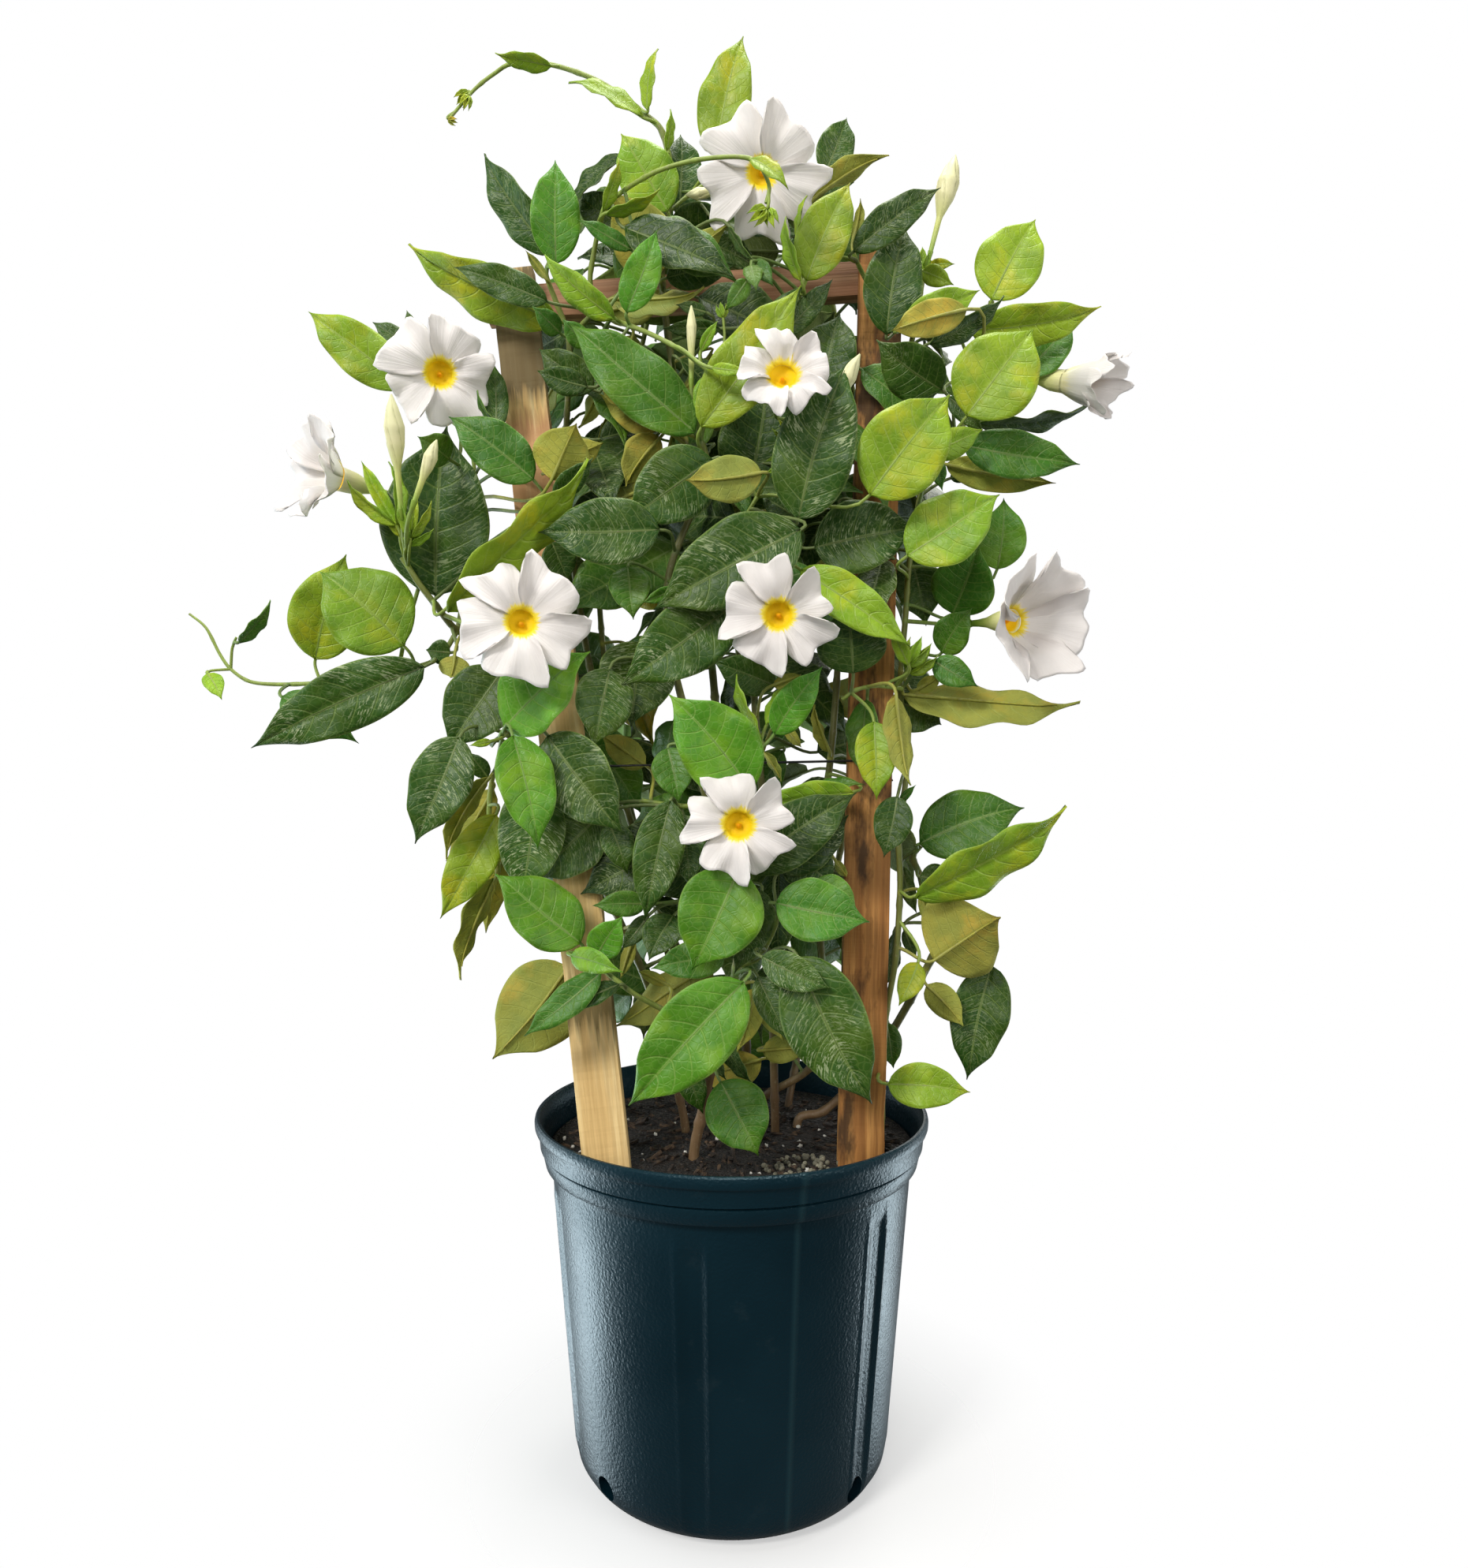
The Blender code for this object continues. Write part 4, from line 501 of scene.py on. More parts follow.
def board(name, foot, top, wide, thick, frame_axes, mat, slot_name, node_name, seed):
    """A sawn board: a cube drawn out, its edges worn round, its faces very slightly uneven."""
    length = (top - foot).length
    select_only()
    bpy.ops.mesh.primitive_cube_add(size=1)
    ob = bpy.context.object
    ob.name = name
    bpy.ops.object.mode_set(mode="EDIT")
    bpy.ops.transform.resize(value=(wide - 0.0004, thick - 0.0004, length))
    bpy.ops.mesh.bevel(offset=0.0009, segments=2, affect="EDGES")
    for i in range(1, BOARD_ROWS):
        bpy.ops.mesh.select_all(action="SELECT")
        bpy.ops.mesh.bisect(plane_co=(0, 0, length * (i / BOARD_ROWS - 0.5)), plane_no=(0, 0, 1))
    bpy.ops.object.mode_set(mode="OBJECT")
    a, w, t = frame_axes
    middle = (foot + top) * 0.5
    at = ob.data.attributes.new("board", "FLOAT_VECTOR", "POINT")
    for v in ob.data.vertices:
        p = v.co.copy()
        at.data[v.index].vector = (p.x + seed, p.y, (middle + a * p.z).z)
        uneven = noise.noise(Vector((p.x * 40 + seed, p.y * 40, p.z * 22))) * 0.0005
        chipped = max(0.0, noise.noise(Vector((seed, p.x * 60, p.z * 70))) - 0.25) * 0.0022
        worn_w, worn_t = 1 - abs(uneven + chipped) / 0.016, 1 - abs(uneven) / 0.012
        v.co = middle + a * p.z + w * p.x * worn_w + t * p.y * worn_t
    select_only(ob)
    bpy.ops.object.shade_smooth_by_angle(angle=math.radians(40))
    ob.data.materials.append(mat)
    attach(ob, "root")
    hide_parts(node_name)


OLIVE_GREY, DARK_OLIVE = (0.115, 0.085, 0.026), (0.085, 0.062, 0.024)
# The left stake is olive-grey from 0.305 to 0.352 m up, pink-brown from 0.56 to 0.745 m and dark olive from
# 0.742 to 0.86 m.
left_wood = wood("pine_pale_banded", (0.86, 0.60, 0.26), (0.58, 0.36, 0.13), (0.95, 0.74, 0.38),
                 ((0.305, 0.352, OLIVE_GREY, 0.88), (0.56, 0.745, (0.50, 0.24, 0.12), 0.75),
                  (0.742, 0.86, DARK_OLIVE, 0.9)))
right_wood = wood("pine_orange_knotty", (0.47, 0.21, 0.055), (0.19, 0.075, 0.020), (0.62, 0.31, 0.09),
                  ((0.39, 0.46, (0.22, 0.10, 0.03), 0.55),), 0.85)
rail_wood = wood("pine_pink_sawn", (0.42, 0.22, 0.12), (0.24, 0.11, 0.055), (0.52, 0.30, 0.17), (), 0.35)
board("stake_left_board", *STAKES["left"], WOOD_W, WOOD_T, stake_frame(*STAKES["left"]), left_wood,
      "pale_pine", "stake_left", 0.31)
board("stake_right_board", *STAKES["right"], WOOD_W, WOOD_T, stake_frame(*STAKES["right"]), right_wood,
      "orange_pine", "stake_right", 0.87)
board("rail_board", RAIL_A, RAIL_B, RAIL_H, WOOD_T, RAIL_FRAME, rail_wood, "pink_pine", "rail_top", 1.53)

# Nails. One round dark steel nail through each stake into the rail, its flat head just proud of the wood.
nail_steel = material("rusted_nail_steel", (0.07, 0.055, 0.045), 0.5, 0.85)
at = node(nail_steel, "TexCoord").outputs["Object"]
rust = grain(nail_steel, at, 900, 3.0)
finish_with(nail_steel, ramp(nail_steel, rust, (0.4, (0.05, 0.045, 0.042)), (0.62, (0.10, 0.045, 0.022))),
            ramp(nail_steel, rust, (0.4, 0.35), (0.6, 0.8)), rust, 0.0002)
NAIL_RADIUS, NAIL_HEAD_THICK, NAIL_HEAD_WIDER = 0.0012, 0.0012, 2.5
for side, (foot, top) in STAKES.items():
    low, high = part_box("nail_" + side)
    middle = (low + high) * 0.5
    reach = high.y - low.y
    select_only()
    bpy.ops.mesh.primitive_cylinder_add(vertices=24, radius=NAIL_RADIUS, depth=reach - NAIL_HEAD_THICK)
    nail = bpy.context.object
    nail.name = "nail_%s_round" % side
    bpy.ops.object.mode_set(mode="EDIT")
    bpy.ops.mesh.select_all(action="DESELECT")
    bpy.ops.object.mode_set(mode="OBJECT")
    for face in nail.data.polygons:
        face.select = face.normal.z > 0.9
    bpy.ops.object.mode_set(mode="EDIT")
    bpy.ops.mesh.inset(thickness=0.0)
    bpy.ops.transform.resize(value=(NAIL_HEAD_WIDER, NAIL_HEAD_WIDER, 1))
    bpy.ops.mesh.extrude_region_move(TRANSFORM_OT_translate={"value": (0, 0, NAIL_HEAD_THICK)})
    bpy.ops.mesh.bevel(offset=0.0003, segments=2, affect="EDGES")
    bpy.ops.object.mode_set(mode="OBJECT")
    through = stake_frame(foot, top)[2]
    through = through if through.y < 0 else -through
    nail.rotation_euler = through.to_track_quat("Z", "Y").to_euler()
    nail.location = middle
    bpy.ops.object.transform_apply()
    bpy.ops.object.shade_smooth_by_angle(angle=math.radians(30))
    nail.data.materials.append(nail_steel)
    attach(nail, "root")
    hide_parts("nail_" + side)


# Tie wire. Thin black coated wire once round both stakes at mid height, its ends twisted together behind the
# right stake and left hanging.
WIRE_UP_LEFT, WIRE_UP_RIGHT = 0.489, 0.493
WIRE_OUTSIDE, WIRE_INSIDE, WIRE_DEEP, WIRE_CORNER = 0.0173, 0.0175, 0.0075, 0.0012


def wire_loop():
    """Corners of the tie wire round both stakes, a on the left one and b on the right one."""
    a, b = along(LEFT_A, LEFT_B, WIRE_UP_LEFT), along(RIGHT_A, RIGHT_B, WIRE_UP_RIGHT)
    left, right, k = a.x - WIRE_OUTSIDE, b.x + WIRE_OUTSIDE, WIRE_CORNER
    inner_a, inner_b = a.x + WIRE_INSIDE, b.x - WIRE_INSIDE
    front_a, front_b = a.y - WIRE_DEEP, b.y - WIRE_DEEP
    back_a, back_b = a.y + WIRE_DEEP, b.y + WIRE_DEEP
    corners = [(left + k, front_a, a.z), (inner_a, front_a, a.z), (inner_b, front_b, b.z),
               (right - k, front_b, b.z), (right, front_b + k, b.z), (right, back_b - k, b.z),
               (right - k, back_b, b.z), (inner_b, back_b, b.z), (inner_a, back_a, a.z),
               (left + k, back_a, a.z), (left, back_a - k, a.z), (left, front_a + k, a.z)]
    return [Vector(corner) for corner in corners]


WIRE_PATH = wire_loop()


def rod_curve(name, lines, sides=2):
    """Round rods as one curve object; lines are lists of (point, radius), each a spline, turned to a mesh."""
    curve = bpy.data.curves.new(name, "CURVE")
    curve.dimensions = "3D"
    curve.bevel_depth = 1.0
    curve.bevel_resolution = sides
    curve.use_fill_caps = True
    for line in lines:
        spline = curve.splines.new("POLY")
        spline.points.add(len(line) - 1)
        for point, (p, r) in zip(spline.points, line):
            point.co = (*p, 1.0)
            point.radius = r
    ob = bpy.data.objects.new(name, curve)
    bpy.context.scene.collection.objects.link(ob)
    select_only(ob)
    bpy.ops.object.convert(target="MESH")
    bpy.ops.object.shade_smooth()
    return bpy.context.object


def bent_way(a, out, b, into, t):
    """Point at t on the smooth way that leaves a along out and comes to b along into."""
    return (a * (2 * t ** 3 - 3 * t ** 2 + 1) + out * (t ** 3 - 2 * t ** 2 + t)
            + b * (3 * t ** 2 - 2 * t ** 3) + into * (t ** 3 - t ** 2))


def eased(points, step=0.004):
    """Closely spaced points on a smooth curve through the given ones, each with its place in 0..count-1."""
    pts = [points[0] * 2 - points[1]] + list(points) + [points[-1] * 2 - points[-2]]
    out = []
    for i in range(1, len(pts) - 2):
        p0, p1, p2, p3 = pts[i - 1:i + 3]
        count = max(2, int((p2 - p1).length / step))
        for j in range(count):
            t = j / count
            leaving, coming = (p2 - p0) * 0.5 * 0.9, (p3 - p1) * 0.5 * 0.9
            out.append((bent_way(p1, leaving, p2, coming, t), i - 1 + t))
    out.append((points[-1], len(points) - 1.0))
    return out


WIRE_RADIUS, TWIST_RADIUS, TWIST_POINTS = 0.0007, 0.0006, 26
twist = []
for k in range(TWIST_POINTS):
    t = k * 0.5
    way = Vector((0.0014 * math.cos(t), 0.0017 + 0.0008 * math.sin(t), -t * 0.0011))
    twist.append((WIRE_PATH[6] + way, TWIST_RADIUS))
wire_mesh = rod_curve("wire_black_tie", [[(p, WIRE_RADIUS) for p in WIRE_PATH + WIRE_PATH[:1]], twist])
wire_black = material("black_wire_coat", (0.010, 0.010, 0.012), 0.38)
at = node(wire_black, "TexCoord").outputs["Object"]
finish_with(wire_black, None, ramp(wire_black, grain(wire_black, at, 500, 2.0), (0.4, 0.3), (0.6, 0.5)))
wire_mesh.data.materials.append(wire_black)
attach(wire_mesh, "root")
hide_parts("tie_wire")


# Plant, its layout. Twelve twining stems rise from one crown, with side shoots; leaves stand on stalks along
# them, blooms and buds at their ends. The tables give what shows from the front, sighted in mm as spot()
# says; the rest is worked out: each leaf moves along its line of sight until it clears its neighbours.

# Stem routes. Each starts as a straight upright stub standing in the soil at (x, y) metres; radii are in mm.
# name: (root x, root y, root radius, end radius, [(across, up, front), ...])
MAINS = {
    "vine_left_low": (-0.034, 0.012, 3.4, 2.2, [(-44, 275, -6), (-60, 330, 4), (-84, 385, 10),
                      (-108, 432, 10), (-132, 475, 12), (-154, 506, 24), (-164, 514, 40)]),
    "vine_left_mid": (-0.004, 0.060, 3.6, 2.0, [(-14, 300, -62), (-50, 380, -62), (-100, 480, -56),
                      (-140, 540, -40), (-172, 572, -14), (-198, 588, 6), (-206, 596, 20), (-212, 604, 30),
                      (-226, 622, 36), (-238, 641, 40)]),
    "vine_left_top": (-0.018, 0.036, 3.6, 1.6, [(-24, 300, -38), (-50, 380, -42), (-76, 460, -40),
                      (-98, 540, -36), (-112, 620, -34), (-120, 700, -24), (-118, 765, -2), (-118, 800, 6),
                      (-127, 826, 14), (-134, 846, 20), (-130, 858, 24)]),
    "vine_centre_top": (0.012, 0.028, 3.6, 1.1, [(10, 300, -22), (0, 380, -24), (-6, 460, -20),
                        (-12, 540, -16), (-20, 620, -8), (-28, 690, 2), (-40, 760, 6), (-50, 838, 10),
                        (-47, 880, 4), (-43, 915, 2), (-50, 948, 8), (-61, 960, 10), (-80, 975, 11),
                        (-100, 987, 12), (-130, 997, 12), (-158, 998, 12), (-171, 991, 12),
                        (-186, 979, 12), (-204, 958, 12)]),
    "vine_middle": (0.032, 0.010, 3.4, 1.6, [(30, 300, -6), (27, 380, -2), (22, 470, 2), (16, 560, 6),
                    (24, 640, 8), (40, 700, 12), (48, 718, 18), (45, 760, 6), (44, 800, 4), (52, 838, 12),
                    (58, 870, 6), (62, 915, 4)]),
    "vine_right_top": (0.022, 0.050, 3.2, 1.8, [(25, 252, -44), (60, 276, -38), (66, 330, -28),
                       (62, 400, -14), (65, 450, 2), (71, 490, 14), (75, 535, 14), (79, 590, -4),
                       (88, 650, -20), (104, 710, -26), (120, 760, -18), (131, 800, -2), (138, 840, 8),
                       (143, 856, 12)]),
    "vine_right_mid": (0.104, -0.030, 2.2, 2.0, [(110, 285, 30), (112, 312, 32), (119, 353, 34),
                       (122, 404, 34), (121, 440, 32), (126, 480, 24), (127, 512, 20), (122, 545, 20),
                       (126, 600, 14), (129, 640, 10), (138, 690, 8), (158, 725, 6), (172, 745, 6),
                       (182, 790, 2), (188, 826, 4)]),
    "vine_right_low": (0.050, 0.026, 3.4, 2.2, [(66, 240, -26), (86, 259, -24), (112, 292, -14),
                       (130, 322, 0), (138, 338, 8), (148, 360, 12), (143, 380, 12), (137, 409, 12),
                       (131, 424, 12), (137, 433, 16)]),
    "vine_front": (-0.0255, -0.043, 4.0, 2.0, [(-20, 245, 46), (-9, 300, 52), (4, 345, 58), (2, 400, 54),
                   (-8, 440, 52), (-22, 480, 62), (-34, 530, 56), (-45, 580, 46), (-45, 630, 38),
                   (-22, 690, 36), (-18, 712, 42), (-25, 731, 46)]),
    "vine_back_left": (-0.030, 0.078, 3.2, 1.8, [(-45, 350, -100), (-82, 500, -110), (-96, 640, -100),
                       (-72, 760, -84), (-52, 850, -66)]),
    "vine_back_right": (0.046, 0.078, 3.2, 1.8, [(62, 350, -104), (92, 500, -110), (104, 640, -100),
                        (88, 760, -84), (66, 850, -66)]),
    "vine_back_mid": (0.006, 0.094, 3.0, 1.8, [(4, 350, -116), (10, 500, -120), (0, 640, -114),
                      (10, 760, -92), (2, 880, -60)]),
}
# Side shoots: (vine, start radius, end radius, [(across, up, front), ...]); the first point lies on the vine.
SHOOTS = [
    ("vine_left_low", 1.9, 1.4, [(-154, 506, 24), (-172, 484, 28), (-175, 445, 28), (-168, 414, 24)]),
    ("vine_left_mid", 1.9, 0.9, [(-198, 588, 6), (-212, 568, 12), (-236, 560, 14), (-290, 551, 14),
                                 (-325, 549, 12), (-348, 551, 12), (-362, 560, 12), (-370, 571, 12),
                                 (-380, 590, 12), (-392, 600, 12)]),
    ("vine_left_mid", 1.1, 0.9, [(-362, 560, 12), (-361, 575, 14), (-358, 583, 16)]),
    ("vine_left_mid", 1.0, 0.8, [(-362, 560, 12), (-376, 559, 16), (-380, 557, 18)]),
    ("vine_left_mid", 1.9, 1.3, [(-198, 588, 6), (-188, 650, -2), (-186, 705, -2), (-196, 752, 4)]),
    ("vine_left_top", 1.9, 1.2, [(-118, 800, 6), (-101, 818, 20), (-102, 846, 30), (-93, 889, 42),
                                 (-82, 903, 50), (-54, 920, 66), (-20, 929, 76), (14, 929, 82),
                                 (27, 911, 84), (25, 897, 84)]),
    ("vine_left_top", 1.8, 1.4, [(-101, 818, 20), (-84, 812, 46), (-60, 803, 66), (-37, 791, 76),
                                 (-17, 776, 76)]),
    ("vine_centre_top", 1.6, 1.1, [(-46, 890, 3), (-24, 908, -4), (-8, 914, -8)]),
    ("vine_right_top", 1.9, 1.5, [(131, 800, -2), (131, 808, 14), (121, 815, 22), (108, 824, 24),
                                  (97, 842, 24), (88, 860, 28)]),
    ("vine_right_mid", 1.6, 1.3, [(122, 545, 20), (122, 546, 38), (105, 548, 48), (90, 545, 52),
                                  (80, 538, 52)]),
    ("vine_front", 2.0, 1.5, [(-14, 275, 49), (-36, 305, 66), (-70, 325, 76), (-92, 342, 74),
                              (-111, 358, 68)]),
    ("vine_front", 1.8, 1.5, [(4, 345, 58), (20, 352, 66), (32, 375, 66), (33, 392, 62)]),
    ("vine_front", 1.7, 1.5, [(-17, 465, 59), (-34, 461, 62), (-65, 465, 62)]),
    ("vine_front", 1.6, 1.3, [(-20, 474, 61), (6, 486, 68), (20, 503, 62)]),
    ("vine_front", 1.6, 1.4, [(-45, 610, 41), (-10, 640, 52), (22, 690, 56)]),
]

# Blooms: name: (across, up, front, turn right, turn up, roll, across the lobes, tube length, vine)
BLOOMS = {
    "bloom_top": (22, 920, 46, 0, 6, 10, 96, 44, "vine_centre_top"),
    "bloom_upper_left": (-211, 775, 58, 0, 8, 30, 88, 46, "vine_left_mid"),
    "bloom_far_left": (-300, 703, 60, -68, 22, 0, 74, 54, "vine_left_mid"),
    "bloom_upper_mid": (38, 778, 66, 6, 36, 50, 78, 44, "vine_middle"),
    "bloom_far_right": (262, 766, 34, 74, 2, 20, 64, 56, "vine_right_mid"),
    "bloom_mid_left": (-152, 596, 108, 0, 16, 5, 104, 46, "vine_left_mid"),
    "bloom_centre": (34, 600, 104, 0, 6, 60, 90, 46, "vine_middle"),
    "bloom_right": (220, 596, 66, 50, 4, 25, 94, 58, "vine_right_mid"),
    "bloom_low": (5, 448, 112, 0, 4, 60, 84, 44, "vine_front"),
}
# Large cream buds: name: (foot across, up, front, tip across, up, front, widest radius, vine)
BUDS = {
    "bud_left_cream": (-239, 676, 72, -246, 759, 92, 7.4, "vine_left_mid"),
    "bud_left_yellow": (-229, 682, 84, -213, 726, 92, 5.2, "vine_left_mid"),
    "bud_top_right": (144, 862, 16, 162, 932, 22, 8.2, "vine_right_top"),
    "bud_mid_right": (63, 733, 76, 93, 788, 94, 6.4, "vine_middle"),
    "bud_centre_slim": (-29, 770, 62, -29, 823, 66, 3.8, "vine_front"),
    "bud_low_left": (-11, 424, 84, -23, 395, 92, 6.0, "vine_front"),
    "bud_low_right": (3, 420, 80, -2, 402, 90, 4.0, "vine_front"),
    "bud_top_left": (-2, 906, 8, -33, 903, 12, 4.4, "vine_centre_top"),
    "bud_upper_left": (-226, 797, 24, -240, 807, 26, 4.0, "vine_left_mid"),
}
# Small green buds, bracts and cut tips that hold together with their stem:
# (foot across, up, front, tip across, up, front, widest radius, vine, tone)
SPRIGS = [
    (-242, 664, 54, -268, 712, 58, 3.8, "vine_left_mid", "lime"),
    (-234, 650, 60, -220, 670, 66, 2.2, "vine_left_mid", "lime"),
    (-240, 656, 50, -241, 684, 52, 2.2, "vine_left_mid", "lime"),
    (-232, 655, 66, -228, 690, 70, 2.4, "vine_left_mid", "lime"),
    (46, 722, 40, 33, 742, 44, 1.8, "vine_middle", "lime"),
    (52, 722, 44, 56, 742, 48, 2.4, "vine_middle", "lime"),
    (44, 712, 44, 24, 701, 52, 2.4, "vine_middle", "lime"),
    (44, 708, 48, 32, 692, 56, 2.2, "vine_middle", "lime"),
    (128, 557, 50, 145, 579, 54, 3.0, "vine_right_mid", "lime"),
    (128, 562, 56, 138, 584, 58, 2.6, "vine_right_mid", "lime"),
    (25, 893, 86, 12, 883, 90, 2.4, "vine_left_top", "lime"),
    (27, 893, 84, 31, 879, 86, 2.4, "vine_left_top", "lime"),
    (-190, 975, 14, -194, 964, 14, 1.8, "vine_centre_top", "lime"),
    (-190, 978, 12, -199, 968, 10, 1.8, "vine_centre_top", "lime"),
    (-205, 958, 12, -198, 955, 12, 1.8, "vine_centre_top", "olive"),
    (132, 842, 18, 133, 858, 22, 2.2, "vine_right_top", "lime"),
    (137, 848, 16, 138, 866, 18, 2.6, "vine_right_top", "lime"),
    (-174, 733, 30, -176, 753, 30, 1.6, "vine_left_mid", "lime"),
    (-6, 814, 50, -8, 826, 52, 1.8, "vine_front", "lime"),
]

